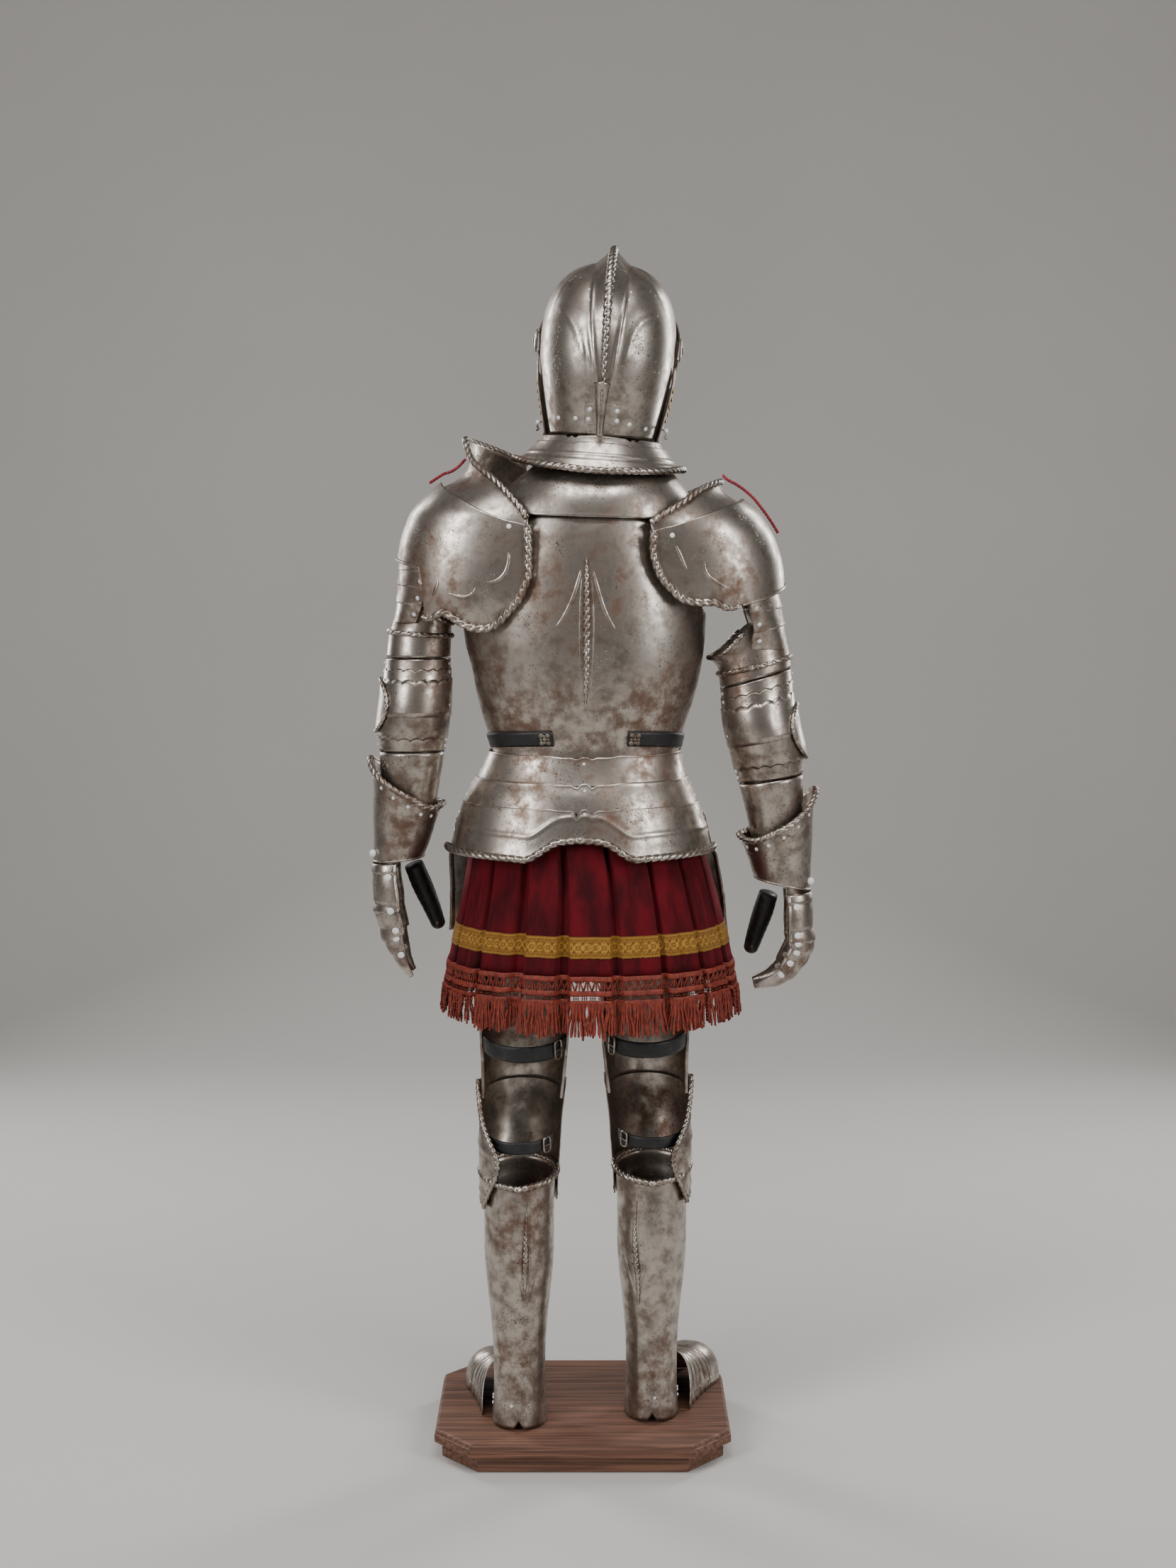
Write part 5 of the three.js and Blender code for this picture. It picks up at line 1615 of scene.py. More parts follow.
# ------------------------------------------------------------------ skirt
@dataclass
class Skirt:
    """A crimson velvet base in box pleats, with a gilt ribbon and a lace-headed fringe."""

    form: Form = field(default_factory=lambda: Form("z x w b f p", [
        (660, 12, 232, 190, 196, 2.1), (702, 12, 226, 186, 190, 2.1), (767, 12, 214, 178, 182, 2.1),
        (833, 11, 199, 165, 170, 2.1), (898, 8, 184, 146, 152, 2.1), (930, 4, 176, 136, 143, 2.1),
                                                                    (970, 1, 162, 118, 126, 2.1)]))
    first: float = -170
    pleats: int = 18
    depth: float = 15.5
    cloth: float = 1.6
    # angle, half width and depth share of the gaps behind
    rear_gaps: Sequence[tuple[float, float, float]] = (
        (-70.4, 1.5, 0.9), (-50.4, 1.5, 0.8), (-30.4, 3.4, 1.0), (-10.4, 2.6, 1.0), (9.6, 2.0, 0.75),
                                                       (29.6, 1.7, 0.85), (49.6, 1.5, 1.0),
                                                       (69.6, 1.8, 0.9))
    # angle, lean in degrees up the skirt, half width and depth of the softer folds
    soft_folds: Sequence[tuple[float, float, float, float]] = (
        (20.5, -2, 1.5, 3.2), (38.5, 3, 1.4, 3.5), (15.5, 5, 1.8, 2.6), (-20.5, 1, 2.2, 1.6),
                                                               (-1.0, 0, 3.0, 1.4), (-41, 1.5, 1.5, 2.4),
        (-60, 0, 1.6, 2.2), (60, 2, 1.6, 2.6), (44, -2, 1.2, 2.0), (0.5, 2.5, 1.5, 1.2))

    def gaps(self) -> list[tuple[float, float, float]]:
        """Every deep gap round the skirt."""
        step = 360 / self.pleats
        rest = [(self.first + (i + 0.98) * step, 1.8, 0.9) for i in range(self.pleats)]
        placed = {round(a): (a, w, d) for a, w, d in self.rear_gaps}
        return [placed.get(round(((a + 180) % 360) - 180), (((a + 180) % 360) - 180, w, d)) for a, w,
                d in rest]

    def surface(self, angle: np.ndarray, z: np.ndarray, out: float = 0.0) -> np.ndarray:
        """Points of the pleated cloth.

        Args:
            angle: degrees round it.
            z: heights.
            out: how far outside the cloth's own face.

        Returns:
            Points in millimetres.
        """
        angle, z = np.broadcast_arrays(np.asarray(angle, float), np.asarray(z, float))
        drop = np.zeros(angle.shape)
        height = np.clip((z - 700) / 250, 0, 1)
        for at, width, share in self.gaps():
            away = np.abs((angle - at + 180) % 360 - 180)
            wide = width * (1.0 - 0.35 * height)
            gap = np.exp(-(away / wide) ** 4) * share * self.depth
            roll = 2.4 * np.exp(-((away - wide * 2.1) / (wide * 0.8)) ** 2)
            drop += gap - roll * 0.5
        for at, lean, width, deep in self.soft_folds:
            away = np.abs((angle - at - lean * height + 180) % 360 - 180)
            drop += deep * np.exp(-(away / width) ** 2) * (0.4 + 0.6 * (1 - height))
        drop += (1.2 * np.sin(np.radians(angle * 3 + z * 0.7))
                 + 0.8 * np.sin(np.radians(angle * 11 - z * 1.3)))
        base = self.form.at(angle, z)
        centre = np.stack([self.form.read("x", z), 0 * z, z], -1)
        away_from = unit(base - centre)
        return base + away_from * (out - np.clip(drop, -0.5, self.depth))[..., None]

    def angles(self, count: int) -> np.ndarray:
        """Angles round the skirt, closer together in the gaps.

        Args:
            count: how many.

        Returns:
            The angles, in degrees.
        """
        fine = np.linspace(-180, 180, 7201)[:-1]
        weight = np.ones(len(fine))
        for at, width, _ in self.gaps():
            weight += 3.0 * np.exp(-(((fine - at + 180) % 360 - 180) / (width * 1.6)) ** 2)
        along = np.concatenate([[0], np.cumsum(weight)])
        return np.interp(np.linspace(0, along[-1], count, endpoint=False), along,
                         np.linspace(-180, 180, 7201))

    def walled(self, name: str, angle: np.ndarray, z: np.ndarray, out: np.ndarray | float, thick: float,
               material: bpy.types.Material) -> tuple[bpy.types.Mesh, float, float]:
        """A closed ring of cloth and the length and width of its flat cut.

        Args:
            name: the mesh's name.
            angle: angles round the skirt.
            z: heights down it.
            out: how far outside the cloth's form it lies.
            thick: its thickness.
            material: its material.

        Returns:
            The mesh, and the two sizes of its flat cut.
        """
        grid = self.surface(angle, z, 0.0)
        flat_centre = np.stack([self.form.read("x", z) * np.ones_like(angle), 0 * grid[..., 2],
                                grid[..., 2]], -1)
        away = unit(grid - flat_centre)
        outer = grid + away * (np.zeros(grid.shape[:2]) + out)[..., None]
        inner = grid + away * (np.zeros(grid.shape[:2]) + out - thick)[..., None]
        mesh = Shell(outer, inner, away, ring=True).mesh(name, material)
        loops = np.linalg.norm(np.roll(outer, -1, 1) - outer, axis=-1).sum(1)
        tall = np.linalg.norm(np.diff(outer, axis=0), axis=-1).sum(0).mean()
        run = np.concatenate([np.zeros((1,)),
                              np.cumsum(np.linalg.norm(np.roll(outer, -1, 1) - outer, axis=-1)[0])[:-1]])
        rise = np.broadcast_to((np.linspace(0, 1, outer.shape[0]) * tall)[:, None], outer.shape[:2])
        flat = np.stack([np.broadcast_to(run, outer.shape[:2]), rise], -1).reshape(-1, 2) * MM
        both = np.concatenate([flat, flat])
        layer = mesh.uv_layers.new(name="cloth")
        corners = np.zeros(len(mesh.loops), np.int32)
        mesh.loops.foreach_get("vertex_index", corners)
        layer.data.foreach_set("uv", both[corners].astype(np.float32).ravel())
        return mesh, float(loops.max()), float(tall)

    def velvet(self) -> None:
        """The pleated cloth itself."""
        angle = self.angles(640)[None, :]
        z = np.linspace(751, 962, 19)[:, None] * np.ones_like(angle)
        mesh, width, length = self.walled("skirt_cloth", angle, z, 0.0, self.cloth, CRIMSON)
        piece = place("skirt_cloth", mesh, "crimson_velvet", ["skirt_velvet"])

    def ribbon(self) -> None:
        """The gilt ribbon: two interlaced waves round a row of lozenges, with a scalloped hem."""
        angle = self.angles(860)[None, :]
        base = self.surface(angle, np.full_like(angle, 792.0), 0)
        run = np.concatenate([[0], np.cumsum(np.linalg.norm(np.roll(base, -1, 1) - base, axis=-1)[0])[:-1]])
        whole = run[-1] + np.linalg.norm(base[0, 0] - base[0, -1])
        period = whole / round(whole / 25.0)
        share = np.linspace(0, 1, 15)[:, None]
        scallop = 1.3 * np.abs(np.sin(np.pi * run / 4.2))[None, :]
        low, high = 776.5 + 1.4 - scallop, 809.0
        z = low + (high - low) * share
        across = (share - 0.5) * 31
        phase = 2 * np.pi * run[None, :] / period
        waves = [np.abs(across - s * 8.2 * np.sin(phase)) for s in (1, -1)]
        eye = np.hypot(((run[None, :] / period * 2) % 1 - 0.5) * period / 2 / 1.15, across)
        figure = np.maximum.reduce([np.exp(-(w / 1.05) ** 2) for w in waves]
                                   + [np.exp(-((eye - 4.6) / 0.8) ** 2), np.exp(-(eye / 1.5) ** 2)])
        edges = np.exp(-((np.abs(across) - 12.6) / 1.0) ** 2)
        leaf = 0.7 * np.exp(-((np.abs(across) - 9.6) / 1.3) ** 2) * np.abs(np.cos(phase)) ** 4
        raised = np.clip(np.maximum(np.maximum(figure * (np.abs(across) < 11.5), edges), leaf), 0, 1)
        mesh, width, length = self.walled("gilt_ribbon", angle, z, 0.9 + 0.75 * raised, 0.8, GILT)
        attribute = mesh.attributes.new("raised", "FLOAT", "POINT")
        attribute.data.foreach_set("value",
                                   np.concatenate([raised.ravel(), raised.ravel()]).astype(np.float32))
        piece = place("gilt_ribbon", mesh, "gilt_braid", ["skirt_ribbon"])

    def fringe(self) -> None:
        """The openwork heading and the bunched twisted cords below it."""
        angle = self.angles(480)[None, :]
        meshes, tall = [], 0.0
        for low, high, out in ((744, 751.5, 2.2), (722.5, 730.5, 1.2), (710, 716.5, 1.6)):
            rows = np.linspace(low, high, 4)[:, None] * np.ones_like(angle)
            rough = out + 0.45 * np.sin(angle * 7.1) * np.sin(angle * 3.3 + rows)
            mesh, width, length = self.walled("band", angle, rows, rough, 2.0, RUST_CORD)
            meshes.append(mesh)
            tall += length
        bands = place("fringe_heading", join("fringe_heading", meshes), "rust_fringe", ["skirt_fringe"])
        rest = place("fringe_openwork", self.lattice(), "rust_fringe")
        strings = place("fringe_cords", self.cords(), "rust_fringe")

    def round_places(self, z: float, spacing: float,
                     out: float) -> tuple[np.ndarray, np.ndarray, np.ndarray]:
        """Evenly spaced places round the cloth: points, outward directions and directions along it.

        Args:
            z: the height.
            spacing: the distance from one to the next.
            out: how far outside the cloth's form they lie.

        Returns:
            The points and the two sets of directions.
        """
        angle = self.angles(3600)
        line = self.surface(angle, np.full_like(angle, z), out)
        run = np.concatenate([[0], np.cumsum(np.linalg.norm(np.diff(line, axis=0), axis=1))])
        whole = run[-1] + np.linalg.norm(line[0] - line[-1])
        stops = np.linspace(0, whole, int(round(whole / spacing)), endpoint=False)
        points = np.stack([np.interp(stops, run, line[:, i]) for i in range(3)], 1)
        along = unit(np.roll(points, -1, 0) - np.roll(points, 1, 0))
        return points, unit(np.cross(along, [0, 0, 1.0])), along

    def lattice(self) -> bpy.types.Mesh:
        """Crossed cords between the upper bands and short bars between the lower ones."""
        lines = []
        for z_top, z_low, spacing in ((745, 729.5, 12.5),):
            top, facing, _ = self.round_places(z_top, spacing, 1.6)
            for i in range(len(top)):
                nxt = (i + 1) % len(top)
                step = top[nxt] - top[i]
                down = np.array([0, 0, z_low - z_top])
                lines.append((top[i] + step * 0.12, top[i] + step * 0.5 + down, facing[i]))
                lines.append((top[i] + step * 0.88, top[i] + step * 0.5 + down, facing[i]))
                lines.append((top[i] + step * 0.94 + facing[i] * 1.0, top[i] + step * 0.56 + down,
                              facing[i]))
                lines.append((top[i] + step * 0.04, top[i] + step * 0.04 + down, facing[i]))
        bars, facing, _ = self.round_places(723, 3.1, 1.1)
        for i in range(len(bars)):
            if i % 4:
                lines.append((bars[i], bars[i] - np.array([0, 0, 7.5]), facing[i]))
        points, edges, size = [], [], []
        for a, b, _ in lines:
            start = len(points)
            bow = (a + b) / 2
            points += [a, bow, b]
            size += [1.35, 1.5, 1.35]
            edges += [(start, start + 1), (start + 1, start + 2)]
        return grow_mesh(ROPE_TREE, np.array(points), edges, {"size": np.array(size) * MM},
                         {"Strands": 2.0, "Pitch": 3.0 * MM, "Groove": 0.2, "Sides": 6.0,
                          "Material": RUST_CORD})

    def cords(self) -> bpy.types.Mesh:
        """The hanging cords, drawn together in bunches and lower behind."""
        rng = np.random.default_rng(7)
        top, facing, along = self.round_places(712, 2.9, 1.3)
        points, edges, size = [], [], []
        bunch = 9
        for i in range(len(top)):
            group = i // bunch
            place_in = (i % bunch) / (bunch - 1) - 0.5
            spread = 1.0 + 0.16 * np.sin(group * 2.4)
            length = (39 + 9 * max(0.0, -top[i][1] / 190) ** 2 + rng.normal(0, 2.2)
                      + 2.5 * np.sin(group * 1.7))
            pull = -along[i] * place_in * 9.0
            flare = along[i] * place_in * 7.0 * spread + facing[i] * (3.2 + rng.normal(0, 0.9))
            lean = along[i] * rng.normal(0, 1.1)
            layer = facing[i] * (1.2 if i % 2 else -0.8)
            start = len(points)
            for k, t in enumerate(np.linspace(0, 1, 9)):
                waist = math.sin(math.pi * min(t * 1.6, 1.0))
                points.append(top[i] + layer * min(t * 3, 1) + pull * waist * 0.55
                              + (flare + lean) * t ** 1.4 - np.array([0, 0, length * t]))
                size.append(2.1 * (1 - 0.08 * t) if k < 8 else 1.7)
                if k:
                    edges.append((start + k - 1, start + k))
        return grow_mesh(ROPE_TREE, np.array(points), edges, {"size": np.array(size) * MM},
                         {"Strands": 2.0, "Pitch": 3.4 * MM, "Groove": 0.34, "Sides": 6.0,
                          "Material": RUST_CORD})

    def build(self) -> None:
        """Makes the cloth and its trimmings."""
        self.velvet()
        self.ribbon()
        self.fringe()


# ------------------------------------------------------------------ gorget
@dataclass
class Gorget:
    """The collar plate between the cuirass and the helmet."""

    form: Form = field(default_factory=lambda: Form("z x w b f p", [
        (1412, 10, 162, 126, 118, 2.3), (1430, 12, 155, 124, 114, 2.3), (1452, 16, 143, 118, 106, 2.3),
        (1472, 21, 124, 107, 98, 2.3), (1490, 25, 104, 97, 92, 2.2), (1504, 27, 92, 90, 88, 2.1)]))

    def build(self) -> None:
        """Makes the plate, turned at its hem."""
        hem = lambda a: 1421 - 6 * np.sin(np.radians(a)) * np.maximum(np.cos(np.radians(a)), 0)
        grid, _, share = bent(self.form, (0, 360), hem, 1500, 50, 220, ring=True)
        plate = shell(grid, out=1.5 + WALL, ring=True, relief=0.9 * np.exp(-(share * 50 / 1.6) ** 2))
        place("gorget_plate", plate.mesh("gorget"), "worn_steel", ["gorget"])


# ------------------------------------------------------------------ helmet
@dataclass
class Helmet:
    """The closed helmet, drawn upright in its own frame and then leaned and turned into place."""

    x: float = 26
    z: float = 1500
    roll: float = 4.0
    turn: float = 2.3
    pivot_z: float = 178
    pivot_half: float = 107
    skull_power: float = 2.4

    def __post_init__(self) -> None:
        """Sets up its curves and frame."""
        roll, turn = math.radians(self.roll), math.radians(-self.turn)
        about_y = np.array([[math.cos(roll), 0, math.sin(roll)], [0, 1, 0],
                            [-math.sin(roll), 0, math.cos(roll)]])
        about_z = np.array([[math.cos(turn), -math.sin(turn), 0], [math.sin(turn), math.cos(turn), 0],
                            [0, 0, 1]])
        self.spin = about_y @ about_z
        self.shift = np.array([self.x, 0, self.z])
        self.crown = curve([(0, 122), (30, 124), (60, 123), (90, 121), (115, 124), (135, 133), (150, 138),
                            (180, 140)])
        self.comb = curve([(-30, 0), (0, 5), (30, 12), (60, 18), (84, 21), (98, 18), (112, 8), (124, 0),
                           (170, 0)])
        self.nape = Form("z x w b f p", [
            (38, 0, 80, 88, 92, 2.1), (60, 0, 85, 95, 100, 2.15), (90, 0, 91, 106, 112, 2.2),
            (120, 0, 96, 115, 122, 2.3), (150, 0, 100, 120, 128, 2.4), (178, 0, 101, 122, 132, 2.4)])
        self.neck = Form("z x w b f p", [
            (-12, -2, 127, 118, 108, 2.1), (-4, -2, 124, 114, 105, 2.1), (6, -1, 113, 107, 100, 2.1),
                                         (16, 0, 104, 101, 97, 2.1),
            (28, 0, 95, 95, 94, 2.1), (40, 0, 88, 91, 92, 2.1), (50, 0, 86, 90, 92, 2.1)])
        self.chin = Form("z x w b f p", [
            (38, 0, 84, 84, 97, 2.1), (60, 0, 89, 92, 108, 2.15), (90, 0, 95, 98, 122, 2.2),
                                         (118, 0, 100, 100, 131, 2.3),
            (142, 0, 101.5, 100, 134, 2.4), (176, 0, 102.5, 100, 134, 2.4)])

    def world(self, points: np.ndarray) -> np.ndarray:
        """Points from the helmet's own frame."""
        return points @ self.spin.T + self.shift

    def comb_shape(self, s: np.ndarray) -> np.ndarray:
        """Height share of the comb across it."""
        return np.maximum(0, 1 - np.abs(s) / 0.2) ** 1.3

    def over_crown(self, angle: np.ndarray, side: np.ndarray) -> np.ndarray:
        """A point over the crown: angle from the back to the brow, side from -90 to 90.

        Args:
            angle: angles from the back to the brow.
            side: angles from one side to the other.

        Returns:
            The points.
        """
        k = 2 / self.skull_power
        s, c = np.sin(np.radians(side)), np.cos(np.radians(side))
        r = self.crown(angle) * np.abs(c) ** k + self.comb(angle) * self.comb_shape(s)
        turn = np.radians(angle)
        return np.stack(np.broadcast_arrays(101 * power(s, k), -r * np.cos(turn),
                                            self.pivot_z + r * np.sin(turn)), -1)

    def skull_grid(self) -> Grid:
        """The whole skull, from the neck over the crown to the brow."""
        side = np.concatenate([-np.linspace(85, 14, 36), np.linspace(-14, 14, 43)[1:-1],
                               np.linspace(14, 85, 36)])[None, :]
        z = np.linspace(40, 172, 36)[:, None]
        low = self.nape.at(side, z)
        low[..., 1] -= np.maximum(self.comb(-20
                                            + (z - 100) / 4) * self.comb_shape(np.sin(np.radians(side))), 0)
        angle = np.linspace(2, 158, 70)[:, None]
        return np.concatenate([low, self.over_crown(angle, side)], 0)

    def skull(self) -> None:
        """The skull with its roped comb, its flutes, rivets, and near-black discs over the lace holes as
        painted shade.
        """
        grid = self.world(self.skull_grid())
        rear = (grid[..., 1] < 30) & (grid[..., 2] > 1530)
        # seen from behind, flutes are given by x and z; those over the crown fade out there
        flutes = [
            Flute([(17, 1776), (14, 1722), (16, 1676), (19, 1641), (23, 1612)], 3.4, 1.3, (0.2, 0.15)),
            Flute([(66, 1752), (60, 1722), (56, 1700), (50, 1666), (46, 1641), (41, 1612)], 3.6, 1.5,
                  (0.2, 0.15)),
            Flute([(-40, 1726), (-26, 1718), (-13, 1700), (-3, 1676), (3, 1650)], 4.2, 1.7, (0.15, 0.15)),
            Flute([(5, 1690), (8, 1665), (13, 1640)], 4.2, 1.2, (0.3, 0.3)),
            Flute([(108, 1714), (88, 1703), (75, 1688), (67, 1665), (61, 1646)], 4.2, 1.7, (0.15, 0.15)),
            Flute([(-15, 1776), (-34, 1751), (-49, 1717)], 2.4, 0.7, (0.3, 0.3)),
            Flute([(97, 1769), (114, 1741), (125, 1715)], 2.4, 0.7, (0.3, 0.3)),
        ]
        relief = np.zeros(grid.shape[:2])
        for flute in flutes:
            relief = relief + flute.lift(grid, rear)
        plate = shell(grid, relief=relief)
        parts = [plate.mesh("skull")]
        middle = grid.shape[1] // 2
        along = plate.outer[:, middle]
        start = int(np.argmin(np.abs(along[:36, 2] - 1612)))
        ridge = along[start:36 + 51] + plate.normals[start:36 + 51, middle] * -1.2
        parts.append(rope(ridge, spindle(7.0, 3.4, 0.45), 12.0, 0.4))
        parts.append(rivets(self.near(plate, [(-35, 1566), (-10, 1565), (68, 1558), (94, 1552)]), 3.3))
        # painted shade: near-black discs stand in for the skull's lace holes
        parts.append(rivets(self.near(plate, [(10, 1751), (9, 1735), (70, 1747), (68, 1733)]), 1.7, 0.12,
                            PAINTED_HOLE_SHADE))
        place("skull_plate", join("skull", parts), "worn_steel", ["helmet_skull"])

    @staticmethod
    def near(plate: Shell, points: Sequence[tuple[float, float]]) -> list[tuple[np.ndarray, np.ndarray]]:
        """Spots of a plate's rear at (x, z) pairs.

        Args:
            plate: the plate that they lie on.
            points: x and z of each.

        Returns:
            A point and its normal for each.
        """
        found = []
        flat = np.where((plate.outer[..., 1] < 20)[..., None], plate.outer[..., [0, 2]], 1e6)
        for x, z in points:
            i, j = np.unravel_index(np.argmin(((flat - (x, z)) ** 2).sum(-1)), flat.shape[:2])
            found.append((plate.outer[i, j], plate.normals[i, j]))
        return found

    def plume_tube(self) -> None:
        """The open plume tube on its four-lobed riveted plate."""
        z = np.array([38, 60, 90, 108, 114.0])
        y, r = np.interp(z, [38, 60, 90, 114], [93, 97, 104, 112]), np.interp(z, [38, 60, 90, 114],
                                                                              [5.5, 6, 9, 11.5])
        heights = np.linspace(38, 114, 30)
        turn = np.linspace(0, 2 * np.pi, 40, endpoint=False)[None, :]
        yy, rr = np.interp(heights, z, y)[:, None], np.interp(heights, z, r)[:, None]
        lip = 1 + 0.10 * smooth(106, 114, heights)[:, None] * (1 + 0.5 * np.cos(turn * 4))
        ring = lambda radius: np.stack([radius * np.cos(turn) * lip,
                                        -(yy + 5 + rr) + radius * np.sin(turn) * 0.9 * lip,
                                        np.broadcast_to(heights[:, None], (30, 40))], -1)
        outer, inner = self.world(ring(rr)), self.world(ring(rr - 1.3))
        tube = Shell(outer, inner, unit(outer - inner), ring=True).mesh("tube")
        seam = self.world(np.array([(0.5, -(b + 5 + c) - c * 0.9, a) for a, b,
                                    c in zip(heights[2:-4], yy[2:-4, 0], rr[2:-4, 0])]))
        parts = [tube, rope(seam, lambda t: 0.9 + 1.5 * t, 8, 0.3, sides=10)]
        parts.append(self.base_plate())
        spots = [(-16.0, 76.5), (-17.0, 62.5), (22.5, 76.5), (23.0, 62.5)]
        facing = []
        for x, height in spots:
            angle = float(rear_angle(self.nape, x, height))
            local = self.nape.at(angle, height, 1.6)
            facing.append((self.world(local), self.spin @ unit(np.array([local[0] * 0.6, local[1], 0.0]))))
        parts.append(rivets(facing, 3.4))
        place("plume_holder", join("plume", parts), "worn_steel", ["plume_tube"])

    def base_plate(self) -> bpy.types.Mesh:
        """The thin plate behind the tube, bent to the skull, with four round lobes."""
        u, v = np.meshgrid(np.linspace(-1, 1, 49), np.linspace(-1, 1, 33))
        wide, tall = 27.0, 15.0
        edge = 1 - 0.10 * np.exp(-(v / 0.16) ** 2) * np.abs(u) ** 3
        dip = 1 - 0.22 * smooth(0.62, 0.1, np.abs(u)) * np.abs(v)
        corner = 1 - 0.08 * (np.abs(u) ** 6) * (np.abs(v) ** 6)
        x, height = 3.0 + u * wide * edge * corner, 69.5 + v * tall * dip * corner
        base = self.nape.at(rear_angle(self.nape, x, height), height, 0.15)
        outer = self.nape.at(rear_angle(self.nape, x, height), height, 1.35)
        base, outer = self.world(base), self.world(outer)
        return Shell(outer, base, unit(outer - base)).mesh("base_plate")

    def visor(self) -> None:
        """The visor with its sights, a keeled beak and breaths, on its own body at the side pivots."""
        angle = np.linspace(143, 208, 44)[:, None]
        side = np.linspace(-84, 84, 90)[None, :]
        k = 2 / self.skull_power
        s, c = np.sin(np.radians(side)), np.cos(np.radians(side))
        beak = 1 + 0.22 * np.exp(-(((angle - 188) / 26) ** 2)) * np.maximum(0, 1 - np.abs(s)) ** 0.7
        r = (146 + 8 * smooth(165, 205, angle)) * beak * np.abs(c) ** k
        turn = np.radians(angle)
        grid = np.stack([106.6 * power(s, k) + 0 * r, -r * np.cos(turn), self.pivot_z + r * np.sin(turn)],
                        -1)
        mid_angle, mid_side = (angle[:-1] + angle[1:]) / 2, (side[:, :-1] + side[:, 1:]) / 2
        sight = (np.abs(mid_angle - 161.5) < 3) & (np.abs(np.abs(mid_side) - 24) < 18)
        breath = np.zeros_like(sight)
        for row in (182, 188, 194):
            for place_in in (14, 22, 30, 38):
                breath |= (np.abs(mid_angle - row) < 1.0) & (np.abs(np.abs(mid_side) - place_in) < 2.2)
        plate = shell(self.world(grid),
                      relief=0.8 * np.exp(-((angle - 156) / 1.6) ** 2) * np.ones_like(side))
        parts = [plate.mesh("visor", is_open=sight | breath),
                 rope(plate.edge(0, 2.0), 2.0, 40, 0, sides=10),
                 rope(plate.edge(-1, 2.0), 2.0, 40, 0, sides=10)]
        place("visor_plate", join("visor", parts), "worn_steel", ["helmet_visor"], Body.VISOR)

    def bevor(self) -> None:
        """The chin plate, with brass rims round the breaths behind the ears, which are not cut, and a hook
        at each side.
        """
        top = curve([(74, 150), (95, 136), (125, 118), (180, 112), (235, 118), (265, 136), (286, 150)])
        grid, _, share = bent(self.chin, (76, 284), 40, top, 70, 160)
        relief = 0.8 * np.exp(-((1 - share) * 70 / 1.8) ** 2)
        plate = shell(self.world(grid), out=0.9 + THIN, thick=THIN, relief=relief)
        parts = [plate.mesh("bevor"), rope(plate.edge(0, 2.4), 2.4, 40, 0, sides=10)]
        parts += [*rolled_sides(plate, 1.6, sides=10)]
        eyelets, rims = [], []
        for sign in (-1, 1):
            for offset, height in ((83, 118), (87, 106), (83, 95), (88, 84), (84, 74), (91, 94)):
                eyelets.append((180 - sign * (180 - offset), height))
        for angle_at, height in eyelets:
            local = self.chin.at(angle_at, height, 2.4)
            ahead = unit(self.chin.at(angle_at + 1, height, 2.4) - self.chin.at(angle_at - 1, height, 2.4))
            up = np.array([0, 0, 1.0])
            turns = np.linspace(0, 2 * np.pi, 18, endpoint=False)
            ring = np.array([local + ahead * 4.0 * np.cos(t) + up * 5.0 * np.sin(t) for t in turns])
            rims.append(rope(self.world(ring), 1.25, 40, 0, closed=True, sides=8, step=1.4, material=BRASS))
        for sign, mid in ((-1, 282.0), (1, 78.0)):
            base = self.chin.at(mid, 58, 2.4)
            hook = np.array([base + (sign * a, b, c) for a, b,
                             c in ((0, 0, 0), (4, -1, -1), (7, -2, -4), (7.5, -2, -9), (5, -2, -12),
                                   (9, -2, -14))], float)
            parts.append(rope(self.world(spline(hook, 24)), 1.5, 40, 0, sides=10))
            knob = self.world(base[None, :] + np.array([[sign * 7, -3, -2.0]]))[0]
            parts.append(rivets([(knob, np.array([sign * 0.8, -0.6, 0.0]))], 3.6, 0.9))
        place("bevor_plate", join("bevor", parts), "worn_steel", ["helmet_bevor"])
        place("bevor_eyelets", join("eyelets", rims), "worn_steel")

    def pivots(self) -> None:
        """A round stepped boss over each visor pivot, with a rosette rivet."""
        for side in Side:
            sign = side.value
            profile = np.array([(0, 0), (16, 0), (17, 0.8), (16.6, 1.8), (13, 2.6), (12, 3.4), (11, 3.4),
                                (6.5, 3.6), (6, 5.6), (3, 6.6), (0, 6.8)], float)
            turn = np.linspace(0, 2 * np.pi, 48, endpoint=False)
            rings = [np.stack([np.full(48, sign * (self.pivot_half + 0.1 + h)),
                               r * np.cos(turn) * (1 + 0.05 * np.cos(8 * turn) * (r > 11)),
                               self.pivot_z + r * np.sin(turn) * (1 + 0.05 * np.cos(8 * turn) * (r > 11))],
                              -1) for r, h in profile[1:-1]]
            grid = self.world(np.array(rings))
            faces = []
            for i in range(len(rings) - 1):
                for j in range(48):
                    faces.append((i * 48 + j, i * 48 + (j + 1) % 48, (i + 1) * 48 + (j + 1) % 48,
                                  (i + 1) * 48 + j))
            points = grid.reshape(-1, 3)
            quads = outward(points, faces)
            straight = quads[0] == faces[0]
            last = (len(rings) - 1) * 48
            low_cap, high_cap = tuple(range(47, -1, -1)), tuple(range(last, last + 48))
            caps = ([low_cap, high_cap] if straight
                    else [tuple(reversed(low_cap)), tuple(reversed(high_cap))])
            name = f"visor_pivot_{side.word}"
            place(f"{name}_boss", make_mesh(name, points, quads + caps, STEEL), "worn_steel", [name])

    def neck_plates(self) -> None:
        """The narrow neck lames with cusped edges and the roped neck guard."""

        def cusped(height: float, depth: float) -> Rule:
            """An edge with notches at both sides of the rear."""

